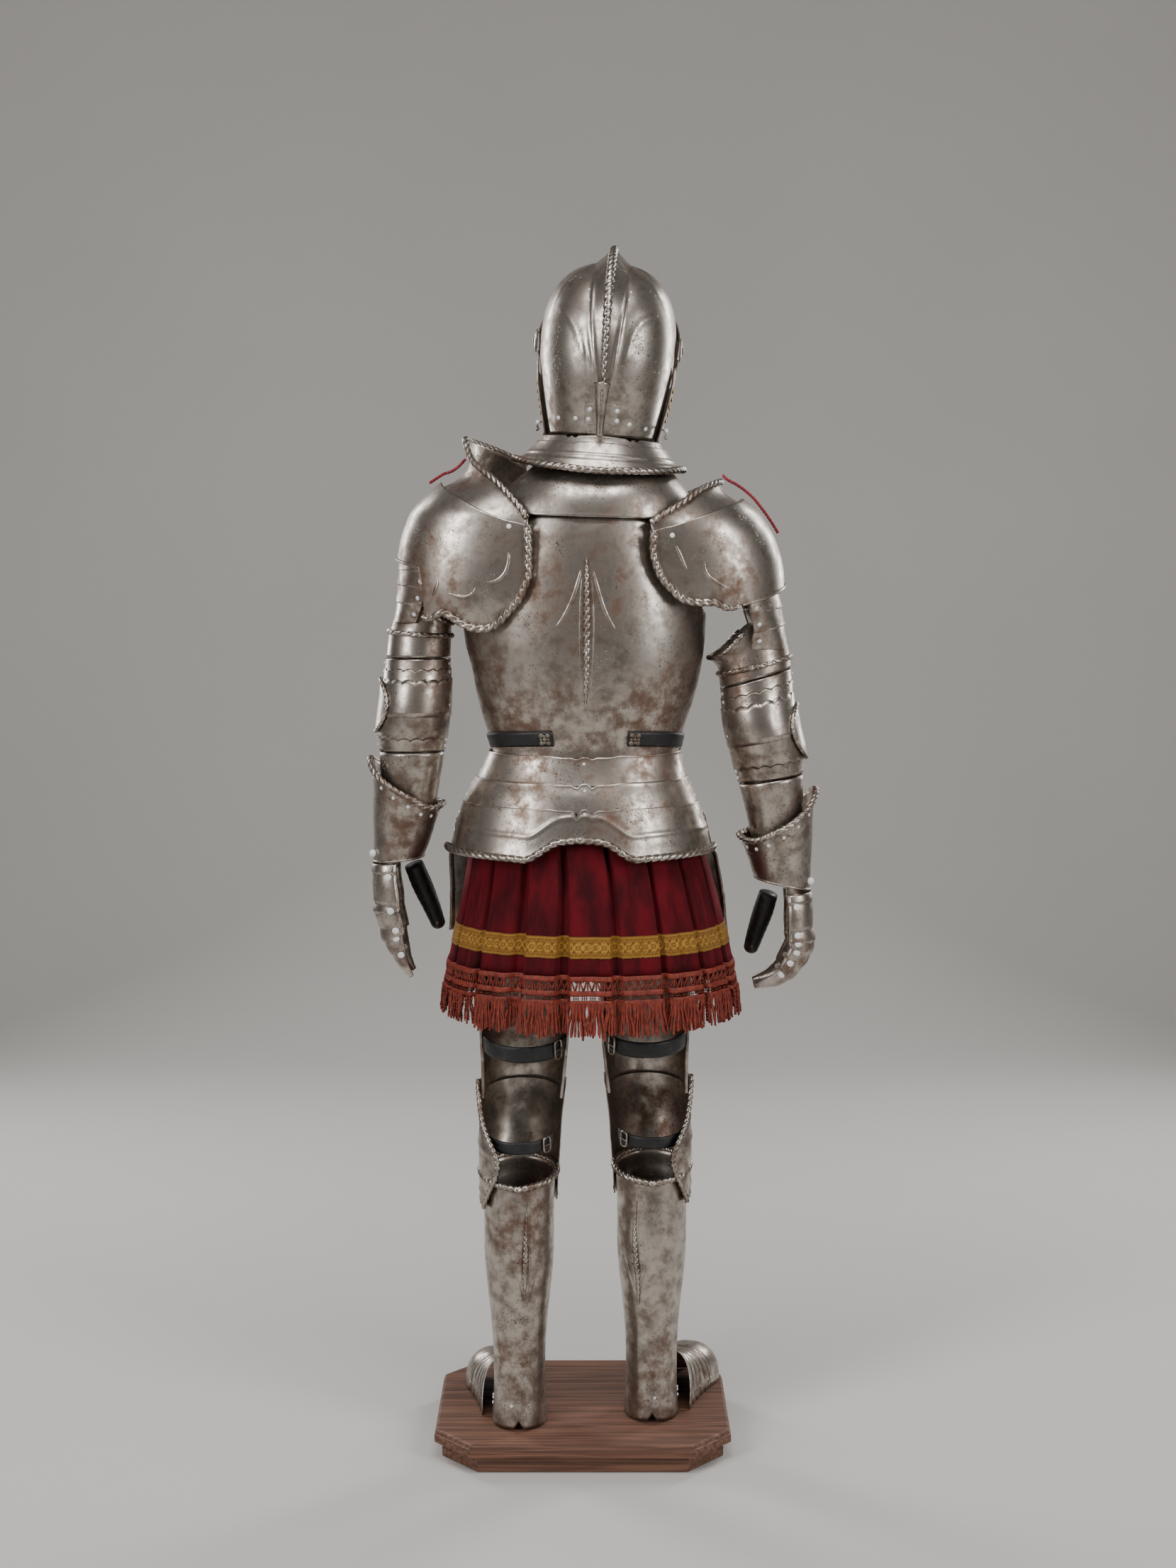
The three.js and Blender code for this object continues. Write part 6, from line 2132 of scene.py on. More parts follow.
            def edge(angle: np.ndarray) -> np.ndarray:
                """The edge's height at each angle round the form."""
                x = self.neck.at(angle, height)[..., 0]
                rear = (np.cos(np.radians(angle)) > 0)
                notch = -depth * sum(np.maximum(0, 1 - np.abs(x - c) / 4.5) for c in (-46, -36, 44, 54))
                return height + np.where(rear, notch + 1.6 * np.exp(-(x / 26) ** 2), 0)

            return edge

        for name, low, high, out, rows in (("neck_lames", level(23), cusped(38, 4.5), 0, 20),
                                           ("neck_guard",
                                            lambda a: -3 - 10 * np.maximum(0, np.cos(np.radians(a))) ** 2,
                                            cusped(27.5, 4), NEST, 50)):
            grid, angle, _ = bent(self.neck, (0, 360), low, high, rows, 300, ring=True)
            relief = np.zeros(grid.shape[:2])
            if name == "neck_guard":
                relief += (1.1 * np.exp(-((grid[..., 2] - 10) / 1.8) ** 2)
                           + 0.7 * np.exp(-((grid[..., 2] - 1) / 1.6) ** 2))
            plate = shell(self.world(grid), out=out, thick=THIN, ring=True, relief=relief)
            parts = [plate.mesh(name)]
            if name == "neck_guard":
                edge = plate.edge(0, 5.4)
                half = len(edge) // 2
                first = edge[:half + 1]
                second = np.concatenate([edge[half:], edge[:1]])
                parts += [rope(first, 5.4, 11.5, 0.25), rope(second, 5.4, -11.5, 0.25)]
            else:
                spots = form_spots(self.neck, [(a, 31) for a in (-62, 62, 118, 242)], 0.2)
                parts.append(rivets([(self.world(p), self.spin @ n) for p, n in spots], 2.0))
            place(f"{name}_plate", join(name, parts), "worn_steel", [name])

    def build(self) -> None:
        """Makes the whole helmet."""
        self.skull()
        self.plume_tube()
        self.visor()
        self.bevor()
        self.pivots()
        self.neck_plates()


# ------------------------------------------------------------------ shoulders
@dataclass
class Shoulder:
    """One pauldron: main plate, collar with its roped haute rim, and the lames down the arm."""

    side: Side
    centre: float
    hollow: float
    sections: Sequence[tuple[float, float, float, float]]
    hem: Sequence[tuple[float, float]]
    top: Sequence[tuple[float, float]]
    rim: Sequence[tuple[float, float, float, float]]
    lames: Sequence[tuple[float, float, float, float, float]]
    lame_ends: tuple[float, float]
    lame_rise: float
    rope_end: float
    crescents: Sequence[Sequence[tuple[float, float]]]
    rivet_spots: Sequence[tuple[float, float]]

    def form(self, inset: float = 0.0) -> Form:
        """The main plate's sections."""
        rows = [(z, w - inset, b - inset, f - inset) for z, w, b, f in self.sections]
        return Form("z w b f", rows, {"x": self.centre, "p": 2.4})

    def main_plate(self) -> None:
        """The big shell over the shoulder blade and the front of the shoulder."""
        sign = self.side.value
        marks = np.array(self.hem, float)
        rule_hem = lambda a: np.interp(sign * a, marks[:, 0], marks[:, 1])
        shoulder_top = curve(self.top)
        rule_top = lambda a: shoulder_top(sign * a)
        count = 90
        fine = np.concatenate([np.linspace(marks[0, 0], self.rope_end, count),
                               np.linspace(self.rope_end, marks[-1, 0], 55)[1:]])
        angle = sign * fine[None, :]
        share = np.linspace(0, 1, 61)[:, None]
        soft_hem = hermite(marks[:, 0], marks[:, 1], fine)
        low = np.where(fine < self.rope_end, soft_hem, rule_hem(angle[0]))[None, :]
        z = low * (1 - share) + rule_top(angle) * share
        grid = self.form().at(angle * np.ones_like(share), z)
        plate = shell(grid, thick=WALL, flip=sign < 0)
        parts = [plate.mesh("main")] + [bead(self.form(), line, 4.4) for line in self.crescents]
        inner = plate.side(0, 6.2)
        hem_line = plate.edge(0, 6.2)[:count]
        rounded = np.concatenate([inner[::-1], hem_line[1:]])
        parts.append(rope(self.eased(rounded), lambda t: 6.2 * (1 - 0.45 * smooth(0.86, 1.0, t)),
                          13.0 * sign, 0.4))
        parts.append(rope(plate.edge(0, 2.4)[count:], 2.2, 40, 0, sides=10))
        parts.append(rope(plate.side(-1, 3.0), 3.0, 40, 0, sides=10))
        parts.append(rivets(Helmet.near(plate, self.rivet_spots), 3.8))
        name = f"pauldron_{self.side.word}"
        place(f"{name}_plate", join(name, parts), "worn_steel", [name])

    @staticmethod
    def eased(line: np.ndarray, rounds: int = 14) -> np.ndarray:
        """The same line with its corners softened.

        Args:
            line: the points of a line.
            rounds: how many times it is softened.

        Returns:
            The softer line.
        """
        even = even_steps(line, 2.0)
        for _ in range(rounds):
            even[1:-1] = (even[:-2] + 2 * even[1:-1] + even[2:]) / 4
        return even

    def collar(self) -> None:
        """The upper lame, sweeping up from under the main plate to its roped rim."""
        sign = self.side.value
        rim = np.array(self.rim, float)
        fine = np.linspace(rim[0, 0], rim[-1, 0], 90)
        top = hermite(rim[:, 0], rim[:, 1:], fine)
        form = self.form(NEST + 1.2)
        shoulder_top = curve(self.top)
        base = form.at(sign * fine, shoulder_top(fine) - 7)
        base[:, 2] -= 3
        bow = base * 0.35 + top * 0.65
        bow[:, 0] -= sign * self.hollow * np.sin(np.radians(fine)) ** 2
        bow[:, 2] = base[:, 2] * 0.7 + top[:, 2] * 0.3
        t = np.linspace(0, 1, 19)[:, None, None]
        grid = (1 - t) ** 2 * base + 2 * t * (1 - t) * bow + t ** 2 * top
        plate = shell(grid, thick=THIN, flip=sign < 0)
        parts = [plate.mesh("collar"), rope(plate.edge(-1, 5.2), 5.2, -12.0 * sign, 0.4)]
        name = f"pauldron_collar_{self.side.word}"
        place(f"{name}_plate", join(name, parts), "worn_steel", [name])

    def arm_lames(self) -> None:
        """Four lames over the upper arm, with a rivet at each one's rear end."""
        sign = self.side.value
        form = Form("z x w b f", self.lames, {"p": 2.3})
        low, high = form.z[0] + 2, form.z[-1] - 4
        bottom, up = self.lame_ends
        share = np.linspace(0, 1, 81)[:, None]
        start = bottom + (up - bottom) * share
        angle = start + (180 - 2 * start) * np.linspace(0, 1, 57)[None, :]
        z = low + (high - low) * share * np.ones_like(angle)
        grid = form.at(sign * angle, z)
        rise = self.lame_rise * np.sin(np.radians(angle)) / (high - low)
        steps = np.clip((share - rise * (1 - share) * share * 2) * 4, 0, 3.999)
        relief = 1.5 * (1 - (steps % 1.0)) ** 1.5 - 0.6
        plate = shell(grid, out=-0.9, thick=THIN, flip=sign < 0, relief=relief)
        spots = [plate.spot((k + 0.5) / 4, e) for k in range(4) for e in (0.045, 0.955, 0.5)]
        parts = [plate.mesh("lames"), rivets(spots, [3.4, 3.0, 2.2] * 4)]
        name = f"pauldron_lames_{self.side.word}"
        place(f"{name}_plate", join(name, parts), "worn_steel", [name])

    def build(self) -> None:
        """Makes the whole pauldron."""
        self.main_plate()
        self.collar()
        self.arm_lames()


# ------------------------------------------------------------------ arms
@dataclass
class Arm:
    """Rerebrace, couter with its lames, and vambrace, as nested rings on a bent arm."""

    side: Side
    sections: Sequence[Sequence[float]]
    rerebrace: tuple[tuple[float, float], tuple[float, float]]
    couter: tuple[tuple[float, float], tuple[float, float]]
    vambrace: tuple[tuple[float, float], tuple[float, float]]
    rope_heights: tuple[float, float]
    wing: tuple[float, float]
    flare: float
    tuck: float

    def form(self) -> Form:
        """The arm's sections."""
        return Form("z x y w b f", self.sections, {"p": 2.1})

    def slope(self, ends: Sequence[float], wave: float = 0.0, count: int = 9) -> Rule:
        """A height that runs from the inner side to the outer one, with small waves if asked.

        Args:
            ends: the heights at the inner and the outer side.
            wave: how high the waves are.
            count: how many there are.

        Returns:
            The edge's rule.
        """
        sign = self.side.value

        def edge(angle: np.ndarray) -> np.ndarray:
            """The edge's height at each angle round the form."""
            turn = np.radians(angle)
            share = (1 + sign * np.sin(turn)) / 2
            plain = ends[0] + (ends[1] - ends[0]) * share
            cusp = np.abs(np.sin(turn * count)) ** 0.7 - 0.5
            return plain + wave * cusp

        return edge

    def ring(self, low: Rule, high: Rule, rows: int, out: float,
             relief: Callable[[np.ndarray, np.ndarray], np.ndarray] | None = None) -> Shell:
        """One ring round the arm.

        Args:
            low: the lower edge's rule.
            high: the upper edge's rule.
            rows: rows up it.
            out: how far outside the arm's form it lies.
            relief: its raised work at an angle and a share of the height.

        Returns:
            The ring's shell.
        """
        grid, angle, share = bent(self.form(), (0, 360), low, high, rows, 300, ring=True)
        return shell(grid, out=out, thick=THIN, ring=True,
                     relief=0.0 if relief is None else relief(angle, share))

    def build(self) -> None:
        """Makes the arm's rings."""
        sign, word = self.side.value, self.side.word
        form = self.form()
        low, high = self.rerebrace
        toward_body = lambda a: (1 - sign * np.sin(np.radians(a))) / 2
        top = lambda a: high[0] + (high[1] - high[0]) * smooth(1.0, 0.45, toward_body(a))
        flare = lambda a, t: self.flare * smooth(0.5, 1.0, t) ** 2 * smooth(0.45, 0.95, toward_body(a))
        tuck = lambda a, t: -self.tuck * smooth(0.45, 1.0, t) * smooth(0.6, 0.2, toward_body(a))
        plate = self.ring(self.slope(low), top, 40, 0, lambda a, t: flare(a, t) + tuck(a, t))
        inner_edge = toward_body(np.linspace(0, 360, plate.outer.shape[1], endpoint=False)) > 0.62
        rim = plate.edge(-1, 3.8)
        rim_line = rim[inner_edge[:len(rim)]]
        ring_z = self.slope(self.rope_heights)
        angles = np.linspace(0, 360, 240, endpoint=False)
        line = form.at(angles, ring_z(angles), 0.6)
        parts = [plate.mesh("rerebrace"), rope(rim_line, 3.8, 10.0, 0.4), rope(line[:121], 4.4, 11.0, 0.4),
                 rope(np.concatenate([line[120:], line[:1]]), 4.4, -11.0, 0.4)]
        name = f"rerebrace_{word}"
        place(f"{name}_plate", join(name, parts), "worn_steel", [name])

        (low_in, low_out), (high_in, high_out) = self.couter
        band = lambda t: (low_in + (high_in - low_in) * t, low_out + (high_out - low_out) * t)
        stack = [(0.0, 0.17, 0.4), (0.13, 0.42, 1.4), (0.38, 0.77, 2.6), (0.76, 0.88, 1.6),
                 (0.88, 1.0, 0.5)]
        parts = []
        waves = (0.0, 4.0, 0.0, 4.0, 4.0, 0.0)
        lip = lambda a, t: 0.5 * np.exp(-(t / 0.08) ** 2) + 0.5 * np.exp(-((1 - t) / 0.08) ** 2)
        for (start, end, out), low_wave, high_wave in zip(stack, waves, waves[1:]):
            plate = self.ring(self.slope(band(start), low_wave), self.slope(band(end), high_wave), 14, out,
                              lip)
            parts.append(plate.mesh("couter_ring"))
        spots = []
        inner_side = -90 * sign
        for t in (0.05, 0.12, 0.5, 0.86, 0.95):
            spots.append((inner_side + 18 * sign, low_in + (high_in - low_in) * t))
            spots.append((-inner_side, low_out + (high_out - low_out) * t))
        parts.append(rivets(form_spots(form, spots, 1.6), 2.7))
        parts += self.wing_parts(form)
        name = f"couter_{word}"
        place(f"{name}_plate", join(name, parts), "worn_steel", [name])

        low, high = self.vambrace
        plate = self.ring(self.slope(low), self.slope(high), 40, 0, lambda a,
                          t: 0.4 * np.exp(-((np.abs(np.abs(((a + 180) % 360) - 180) - 62)) / 1.2) ** 2))
        name = f"vambrace_{word}"
        place(f"{name}_plate", plate.mesh(name), "worn_steel", [name])

    def wing_parts(self, form: Form) -> list[bpy.types.Mesh]:
        """The couter's outer wing: a shallow dished shell with a roped rim, standing on the outer side.

        Args:
            form: the arm's form.

        Returns:
            The wing's meshes.
        """
        sign = self.side.value
        top, low = self.wing
        mid, half = (top + low) / 2, (top - low) / 2
        r = np.linspace(0.05, 1, 12)[:, None]
        turn = np.linspace(0, 2 * np.pi, 48, endpoint=False)[None, :]
        z = mid + half * r * np.sin(turn)
        angle = 90 + 46 * r * np.cos(turn)
        dish = 3.4 + 1.2 * r ** 2
        base = form.at(sign * angle, z, 2.6)
        middle = np.stack([form.read("x", z), form.read("y", z), z], -1)
        away = unit((base - middle) * np.array([1, 1, 0.0]))
        outer = base + away * (dish - 1.2)[..., None]
        plate = Shell(outer, outer - away * THIN, away, ring=True)
        line = plate.outer[-1] - away[-1] * 0.8
        return [plate.mesh("wing"), rope(line, 3.2, 9.0, 0.4, closed=True)]


@dataclass
class Gauntlet:
    """Flared cuff with a roped rim and a riveted band, laminated mitten, and a gloved thumb."""

    side: Side
    cuff: Sequence[Sequence[float]]
    rim: Sequence[tuple[float, float]]
    hem: tuple[float, float]
    hand: Sequence[Sequence[float]]
    thumb: Sequence[Sequence[float]]
    joints: Sequence[float]

    def build_cuff(self) -> None:
        """The cuff."""
        sign = self.side.value
        form = Form("z x y w b f", self.cuff, {"p": 2.1})
        rim_curve = curve(self.rim)
        high = lambda a: rim_curve(((sign * a + 450) % 360) - 90)
        low = lambda a: self.hem[0] + (self.hem[1] - self.hem[0]) * (1 + sign * np.sin(np.radians(a))) / 2
        grid, angle, _ = bent(form, (0, 360), low, high, 76, 160, ring=True)
        below = high(angle) - grid[..., 2]
        relief = 0.9 * smooth(24, 21.5, below) + 0.5 * np.exp(-((below - 27) / 1.4) ** 2)
        plate = shell(grid, thick=THIN, ring=True, relief=relief - 0.4)
        edge = plate.edge(-1, 5.0)
        count = len(edge)
        parts = [plate.mesh("cuff"), rope(edge[:count // 2 + 1], 5.0, 11.0 * sign, 0.4),
                 rope(np.concatenate([edge[count // 2:], edge[:1]]), 5.0, -11.0 * sign, 0.4)]
        parts.append(rope(plate.edge(0, 1.6), 1.8, 40, 0, sides=10, closed=True))
        around = np.arange(0, 360, 24.0) + 6
        spots = [(a, float(high(np.array(a))) - 14) for a in around]
        parts.append(rivets(form_spots(form, spots, 0.5), 2.9))
        knob = form_spots(form, [(sign * 62, float(low(np.array(sign * 62.0))) + 13)], 3.2)
        parts.append(rivets(knob, 6.0, 0.9))
        name = f"gauntlet_cuff_{self.side.word}"
        place(f"{name}_plate", join(name, parts), "worn_steel", [name])

    def build_hand(self) -> None:
        """The mitten's lames, lobed at their ends with a rivet in each lobe."""
        sign = self.side.value
        rows = np.array(self.hand, float)
        s = np.linspace(rows[0, 0], rows[-1, 0], 91)
        read = hermite(rows[:, 0], rows[:, 1:], s)
        x, z, d, h, y = read.T
        step = np.gradient(np.stack([x, 0 * x, z], 1), axis=0)
        along = unit(step)
        inward = np.stack([along[:, 2], 0 * x, -along[:, 0]], 1) * sign
        turn = np.linspace(-np.pi / 2, np.pi / 2, 41)[None, :]
        across = h[:, None] * power(np.sin(turn), 0.8)
        sink = d[:, None] * (1 - np.abs(np.cos(turn)) ** 0.8)
        back = np.stack([x, y, z], 1)
        grid = (back[:, None, :] + inward[:, None, :] * sink[..., None]
                + across[..., None] * np.array([0, 1.0, 0]))
        edges = np.array([rows[0, 0], *self.joints, rows[-1, 0] + 1])
        which = np.clip(np.searchsorted(edges, s, side="right") - 1, 0, len(edges) - 2)
        place_in = (s - edges[which]) / (edges[which + 1] - edges[which])
        relief = (1.7 * (1 - place_in) ** 2 - 0.3)[:, None] * np.ones_like(turn)
        ridge = 0.8 * np.exp(-((np.abs(turn) - 0.0) / 0.05) ** 2) * (s > self.joints[1])[:, None]
        plate = shell(grid, out=-0.4, thick=THIN, flip=sign < 0, relief=relief + ridge)
        spots = []
        for j in self.joints:
            i = int(np.argmin(np.abs(s - j))) + 3
            for col in (3, 37):
                spots.append((plate.outer[i, col], plate.normals[i, col]))
        parts = [plate.mesh("hand"), rivets(spots, 2.6),
                 rivets([(p - n * 0.8, n) for p, n in spots], 5.6, 0.25)]
        parts += [rope(plate.side(0, 1.4), 1.6, 40, 0, sides=10),
                  rope(plate.side(-1, 1.4), 1.6, 40, 0, sides=10)]
        name = f"gauntlet_hand_{self.side.word}"
        place(f"{name}_plate", join(name, parts), "worn_steel", [name])

    def build_thumb(self) -> None:
        """The black leather thumb of the glove, creased; its seam is not built."""
        rows = np.array(self.thumb, float)
        s = np.linspace(rows[0, 0], rows[-1, 0], 40)
        x, y, z, r = hermite(rows[:, 0], rows[:, 1:], s).T
        centre = np.stack([x, y, z], 1)
        along = unit(np.gradient(centre, axis=0))
        u = unit(np.cross(np.array([0, 1.0, 0]), along))
        v = np.cross(along, u)
        turn = np.linspace(0, 2 * np.pi, 32, endpoint=False)[None, :, None]
        crease = 1 - 0.03 * np.cos(s / 4.1) ** 8
        tube = (centre[:, None]
                + (u[:, None] * np.cos(turn) + v[:, None] * np.sin(turn)) * (r * crease)[:, None, None])
        end = [tube[-1] * 0 + centre[-1] + along[-1] * r[-1] * lift + (tube[-1] - centre[-1]) * shrink
               for lift, shrink in ((0.35, 0.95), (0.62, 0.8), (0.84, 0.55), (0.95, 0.28))]
        rings = np.concatenate([tube, np.array(end)])
        faces = []
        for i in range(len(rings) - 1):
            for j in range(32):
                faces.append((i * 32 + j, i * 32 + (j + 1) % 32, (i + 1) * 32 + (j + 1) % 32,
                              (i + 1) * 32 + j))
        points = rings.reshape(-1, 3)
        quads = outward(points, faces)
        straight = quads[0] == faces[0]
        last = (len(rings) - 1) * 32
        caps = [tuple(range(31, -1, -1)), tuple(range(last, last + 32))]
        caps = caps if straight else [tuple(reversed(c)) for c in caps]
        name = f"glove_thumb_{self.side.word}"
        place(f"{name}_leather", make_mesh(name, points, quads + caps, BLACK_LEATHER), "black_leather",
              [name])
        tip = centre[-1] + np.array([0, -r[-1] * 0.95, 0])
        place(f"{name}_rivet", rivets([(tip, np.array([0, -1.0, 0.1]))], 2.4, 0.5), "worn_steel")

    def build(self) -> None:
        """Makes the gauntlet."""
        self.build_cuff()
        self.build_hand()
        self.build_thumb()


# ------------------------------------------------------------------ laces
@dataclass
class Laces:
    """The red twisted arming laces that lie over the shoulders; each ends in a short tassel, which is not
    built.
    """

    routes: dict[Side, Sequence[tuple[float, float, float]]] = field(default_factory=lambda: {
        Side.LEFT: ((-176, -14, 1508), (-186, -18, 1497), (-196, -20, 1490), (-208, -18, 1486),
                    (-219, -12, 1480), (-230, -6, 1473)),
        Side.RIGHT: ((212, 4, 1484), (218, -4, 1478), (232, -10, 1470), (246, -10, 1460), (258, -8, 1449),
                     (268, -6, 1437),
                     (278, -4, 1424), (287, -2, 1411), (295, 0, 1398))})

    def build(self) -> None:
        """Makes each lace as a two-ply cord of its real length."""
        for side, route in self.routes.items():
            line = spline(route, 40)
            name = f"lace_{side.word}"
            mesh = rope(line, LACE / 2, 5.5, 0.3, strands=2, step=1.2, sides=14, material=RED_CORD)
            piece = place(f"{name}_cord", mesh, "red_cord", [name])


# ------------------------------------------------------------------ studio
@dataclass
class Studio:
    """A pale floor that sweeps up into a backdrop, soft light and the camera behind the suit."""

    camera_at: tuple[float, float, float] = (8, -3660, 1395)
    tilt: float = 5.9
    lens: float = 55.33

    def camera(self) -> None:
        """A portrait camera looking along +Y and slightly down."""
        data = bpy.data.cameras.new("camera")
        data.sensor_width, data.sensor_height, data.lens = 36.0, 36.0, self.lens
        data.clip_end = 100
        camera = bpy.data.objects.new("camera", data)
        bpy.context.scene.collection.objects.link(camera)
        camera.location = Vector(self.camera_at) * MM
        camera.rotation_euler = (math.radians(90 - self.tilt), 0, 0)
        bpy.context.scene.camera = camera

    def light(self, name: str, where: Sequence[float], aim: Sequence[float], size: tuple[float, float],
              power_watts: float) -> None:
        """One softbox.

        Args:
            name: the light's name.
            where: where it stands.
            aim: the point that it faces.
            size: the length of its sides.
            power_watts: its power.
        """
        data = bpy.data.lights.new(name, "AREA")
        data.shape, data.size, data.size_y, data.energy = "RECTANGLE", *size, power_watts
        lamp = bpy.data.objects.new(name, data)
        bpy.context.scene.collection.objects.link(lamp)
        lamp.location = where
        lamp.rotation_mode = "QUATERNION"
        lamp.rotation_quaternion = (Vector(aim) - Vector(where)).to_track_quat("-Z", "Y")

    def build(self) -> None:
        """Makes the floor, lights and surroundings."""
        turn = np.linspace(0, math.pi / 2, 16)
        run = np.concatenate([[-9000.0], 2600 + 1500 * np.sin(turn), [4100.0]])
        rise = np.concatenate([[-0.5], 1500 * (1 - np.cos(turn)) - 0.5, [7000.0]])
        points = np.array([(x, y, z) for y, z in zip(run, rise) for x in (-9000.0, 9000.0)])
        quads = [(2 * i, 2 * i + 1, 2 * i + 3, 2 * i + 2) for i in range(len(run) - 1)]
        floor = make_mesh("studio_floor", points, quads, Floor().make())
        ground = bpy.data.objects.new("studio_floor", floor)
        bpy.context.scene.collection.objects.link(ground)
        self.light("soft_left", (-2.4, -2.6, 2.3), (0, 0, 1.1), (1.1, 2.2), 70)
        self.light("soft_right", (2.6, -2.4, 2.1), (0, 0, 1.1), (1.1, 2.2), 60)
        self.light("soft_top", (0.0, -1.2, 3.6), (0, 0, 1.2), (1.6, 1.2), 45)
        self.light("rim_left", (-1.9, 1.9, 1.9), (0, 0, 1.1), (0.6, 2.0), 40)
        self.light("rim_right", (1.9, 1.9, 1.9), (0, 0, 1.1), (0.6, 2.0), 40)
        world = bpy.data.worlds.new("studio")
        world.use_nodes = True
        world.node_tree.nodes["Background"].inputs[0].default_value = linear("#8f8d8b")
        world.node_tree.nodes["Background"].inputs[1].default_value = 0.55
        bpy.context.scene.world = world


# ------------------------------------------------------------------ what each side measures
LEGS = (
    Leg(Side.LEFT, -97, -72, -88, 12, (-95, -133),
        ((-83, 398), (-85, 354), (-86, 310), (-87, 281), (-88, 247)),
        (((-120, 313), (-106, 300), (-96, 268), (-88, 222)),
         ((-56, 318), (-67, 303), (-78, 268), (-88, 222)))),
    Leg(Side.RIGHT, 106, -38, 95, -20, (97, -99), ((82, 391), (79, 347), (81, 300), (84, 270), (85, 228)),
        (((116, 305), (100, 290), (91, 257), (85, 222)), ((56, 320), (64, 300), (75, 262), (85, 222)))),
)
SHOULDERS = (
    Shoulder(
        Side.LEFT, -100, 36,
        ((1250, 184, 112, 110), (1300, 184, 124, 120), (1350, 181, 129, 122), (1390, 174, 129, 121),
         (1411, 167, 127, 118),
         (1432, 157, 122, 110), (1453, 138, 110, 97), (1474, 113, 88, 78), (1492, 86, 68, 60)),
        ((-4.5, 1337), (-2, 1310), (0, 1293), (6, 1264), (14, 1259), (21, 1267), (30, 1283), (43, 1276),
         (46.5, 1346), (60, 1352),
         (75, 1357), (90, 1360), (105, 1357), (120, 1352), (133.5, 1346), (137, 1276), (150, 1283),
         (160, 1296), (168, 1320)),
        ((-4.5, 1409), (16, 1434), (33, 1452), (65, 1470), (90, 1474), (115, 1468), (147, 1450),
         (168, 1428), (184, 1412)),
        ((-4.5, -80, -124, 1419), (12, -93, -114, 1437), (30, -119, -93, 1466), (50, -144, -68, 1489),
         (70, -163, -38, 1509),
         (90, -173, -5, 1537), (110, -166, 30, 1536), (135, -140, 65, 1527), (160, -112, 88, 1515),
         (184, -86, 106, 1500)),
        ((1262, -241, 45, 50, 50), (1300, -200, 82, 84, 80), (1340, -140, 139, 112, 106),
         (1368, -102, 172, 124, 116)),
        (10, 47), 14, 43,
        (((-109, 1385), (-108, 1358), (-115, 1338), (-132, 1327), (-156, 1332)),
         ((-158, 1332), (-158, 1315), (-172, 1305), (-195, 1309), (-208, 1316)),
         ((-216, 1335), (-214, 1322), (-224, 1300))),
        ((-107, 1407),)),
    Shoulder(
        Side.RIGHT, 125, 4,
        ((1250, 183, 112, 110), (1300, 181, 122, 119), (1350, 177, 128, 122), (1389, 165, 130, 120),
         (1411, 153, 128, 116),
         (1432, 137, 120, 107), (1453, 112, 101, 92), (1470, 84, 80, 74)),
        ((-5, 1372), (-3, 1345), (0, 1322), (4, 1303), (11, 1297), (19, 1297), (25, 1288), (33, 1292),
         (46, 1300), (60, 1308),
         (75, 1316), (90, 1322), (105, 1316), (120, 1308), (134, 1300), (147, 1292), (158, 1300),
         (169, 1330)),
        ((-5, 1401), (10, 1418), (37, 1437), (70, 1448), (90, 1450), (110, 1448), (143, 1436), (170, 1418),
         (185, 1400)),
        ((-5, 99, -125, 1412), (8, 120, -120, 1426), (25, 150, -100, 1444), (45, 176, -73, 1462),
         (65, 198, -40, 1471),
         (90, 206, 0, 1473), (115, 198, 38, 1470), (140, 172, 72, 1460), (162, 140, 98, 1444),
         (185, 104, 113, 1424)),
        ((1222, 264, 46, 50, 50), (1255, 247, 60, 72, 70), (1290, 200, 101, 97, 95),
         (1330, 130, 165, 117, 112)),
        (-12, 44), 25, 31,
        (((188, 1367), (179, 1358), (183, 1338), (200, 1325), (214, 1316), (214, 1303)),
         ((131, 1388), (140, 1372), (150, 1350), (158, 1338))),
        ((131, 1395),)),
)
ARMS = (
    Arm(Side.LEFT,
        ((1258, -245, 0, 46, 47, 47), (1240, -247, 0, 47.5, 48, 48), (1200, -250, 0, 49, 51, 49),
         (1150, -253, 0, 52, 60, 50),
         (1110, -257, 2, 53, 60, 50), (1070, -260, 5, 50, 52, 48), (1030, -263, 8, 46, 47, 46),
         (990, -266, 11, 42, 43, 42), (950, -269, 14, 38, 39, 38)),
        ((1212, 1212), (1262, 1288)), ((1070, 1070), (1209, 1209)), ((962, 962), (1067, 1067)),
        (1243, 1250), (1178, 1098), 0, 9),
    Arm(Side.RIGHT,
        ((1250, 255, 0, 49, 50, 50), (1220, 259, 0, 54, 52, 52), (1190, 261, 0, 55, 53, 52),
         (1150, 265, 0, 54, 57, 51),
         (1110, 271, 0, 56, 62, 52), (1075, 279, 3, 56, 60, 51), (1040, 284, 6, 52, 52, 48),
         (1000, 290, 9, 47, 47, 45),
         (960, 296, 12, 43, 43, 42), (915, 301, 15, 38, 38, 37)),
        ((1166, 1197), (1210, 1262)), ((1020, 1036), (1163, 1194)), ((915, 915), (1016, 1032)),
        (1185, 1212), (1140, 1058), 12, 4),
)
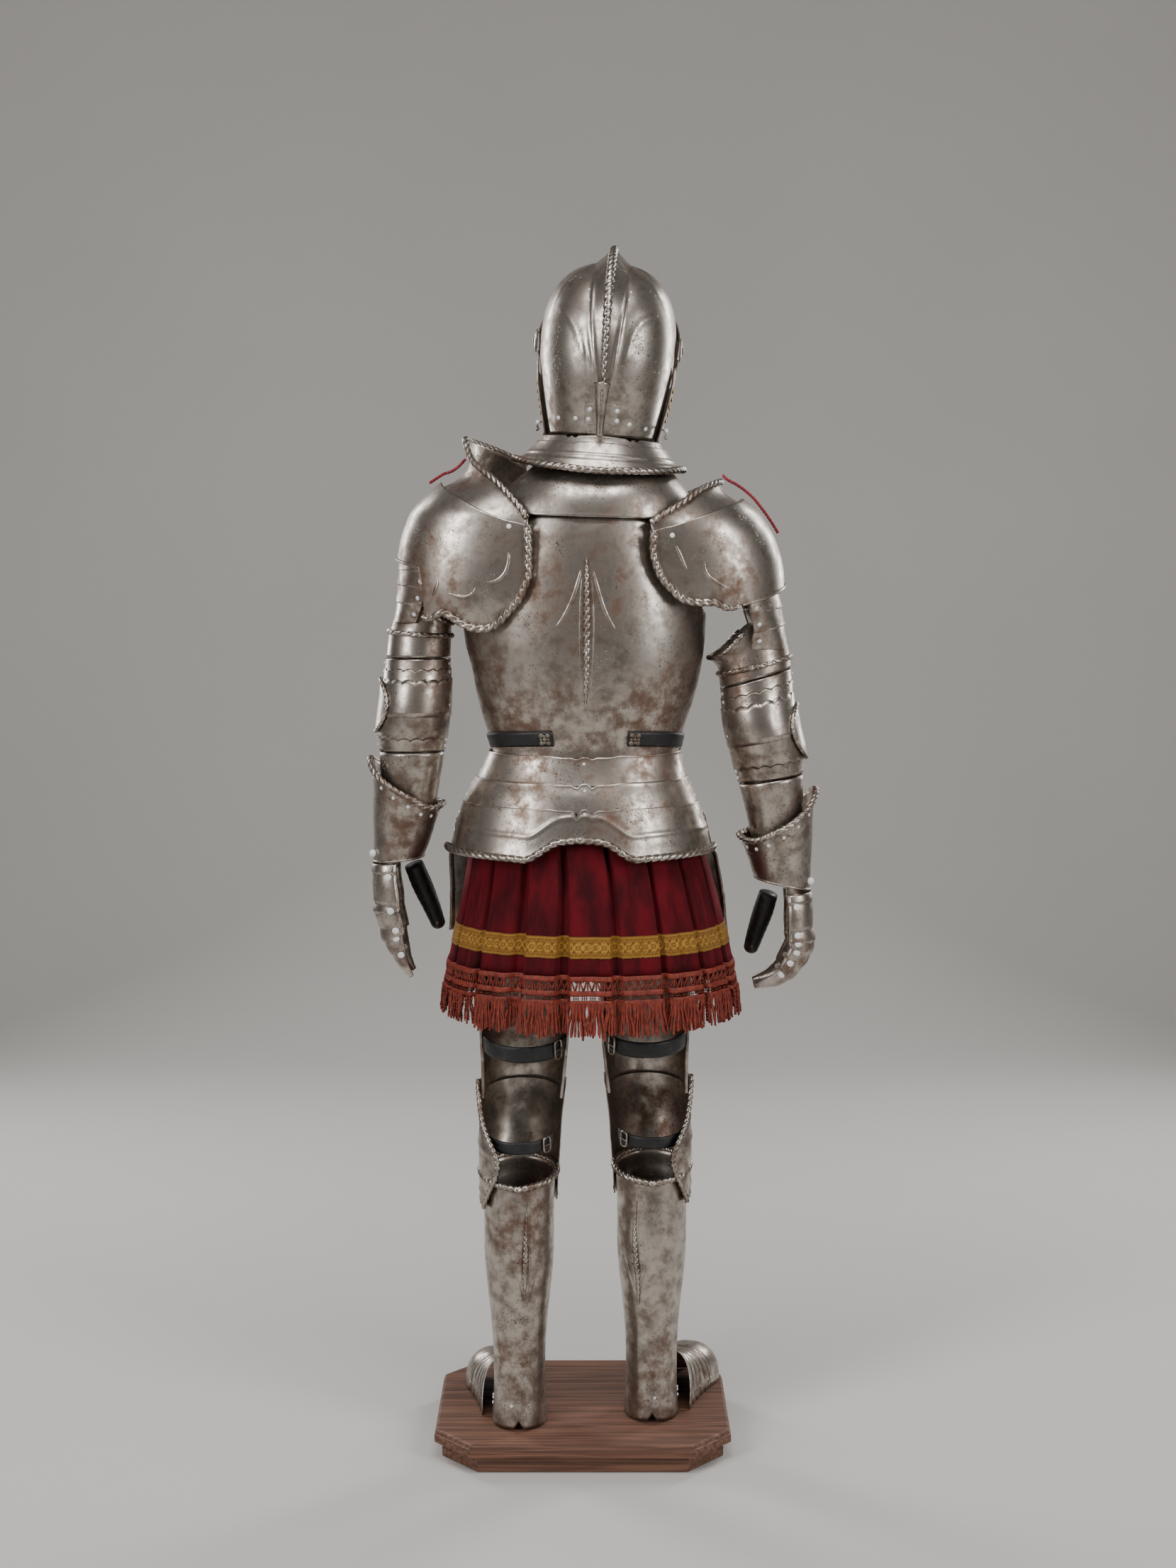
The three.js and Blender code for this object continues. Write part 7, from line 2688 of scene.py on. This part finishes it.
GAUNTLETS = (
    Gauntlet(Side.LEFT,
             ((896, -285, 16, 37, 44, 42), (914, -281, 15, 41, 46, 44), (940, -276, 14, 45.5, 48, 47),
              (985, -270, 11, 52, 55, 52), (1060, -261, 8, 60, 64, 60)),
             ((-90, 988), (-40, 985), (0, 1004), (45, 1030), (90, 1055), (135, 1040), (180, 1010),
              (225, 988), (270, 988)), (905, 898),
             ((0, -323, 895, 38, 44, 16), (30, -322, 866, 38, 46, 16), (58, -320, 838, 40, 48, 17),
              (75, -321, 821, 42, 48, 18), (98, -313, 799, 38, 46, 19),
              (120, -309, 777, 38, 44, 20), (145, -297, 757, 27, 42, 20), (170, -284, 736, 18, 38, 20),
              (195, -267, 717, 8, 30, 20)),
             ((0, -262, 40, 888, 15), (35, -250, 48, 856, 16), (80, -236, 52, 822, 14),
              (110, -226, 52, 796, 11.5)),
             (14, 60, 76, 100, 124, 150)),
    Gauntlet(Side.RIGHT,
             ((852, 312, 18, 38, 42, 40), (868, 308, 17, 42.5, 45, 43), (892, 304, 16, 47.5, 48, 46),
              (940, 298, 13, 55, 56, 53), (1012, 295, 9, 58.5, 62, 58)),
             ((-90, 938), (-40, 934), (0, 950), (45, 980), (90, 1008), (135, 992), (180, 960), (225, 940),
              (270, 938)), (872, 854),
             ((0, 351, 851, 38, 42, 18), (25, 353, 826, 38, 45, 18), (50, 353, 801, 38, 47, 19),
              (73, 357, 778, 42, 48, 20), (95, 353, 756, 38, 46, 20),
              (120, 341, 735, 36, 44, 21), (148, 321, 713, 30, 42, 22), (175, 298, 703, 22, 38, 22),
              (210, 265, 700, 8, 30, 22)),
             ((0, 288, 42, 842, 15), (35, 280, 50, 812, 16), (80, 270, 55, 780, 14),
              (105, 263, 56, 757, 12)),
             (12, 52, 75, 98, 122, 152)),
)


def main() -> None:
    """Builds the camera, the laces and then every sub-assembly in order."""
    logging.basicConfig(level=logging.INFO, format="%(name)s %(message)s")
    studio = Studio()
    studio.camera()
    Laces().build()
    studio.build()
    for part in (Plinth(), *LEGS, Cuirass(), HipLames(), Skirt(), Gorget(), Helmet(), *SHOULDERS, *ARMS,
                 *GAUNTLETS):
        part.build()


if __name__ == "__main__":
    main()
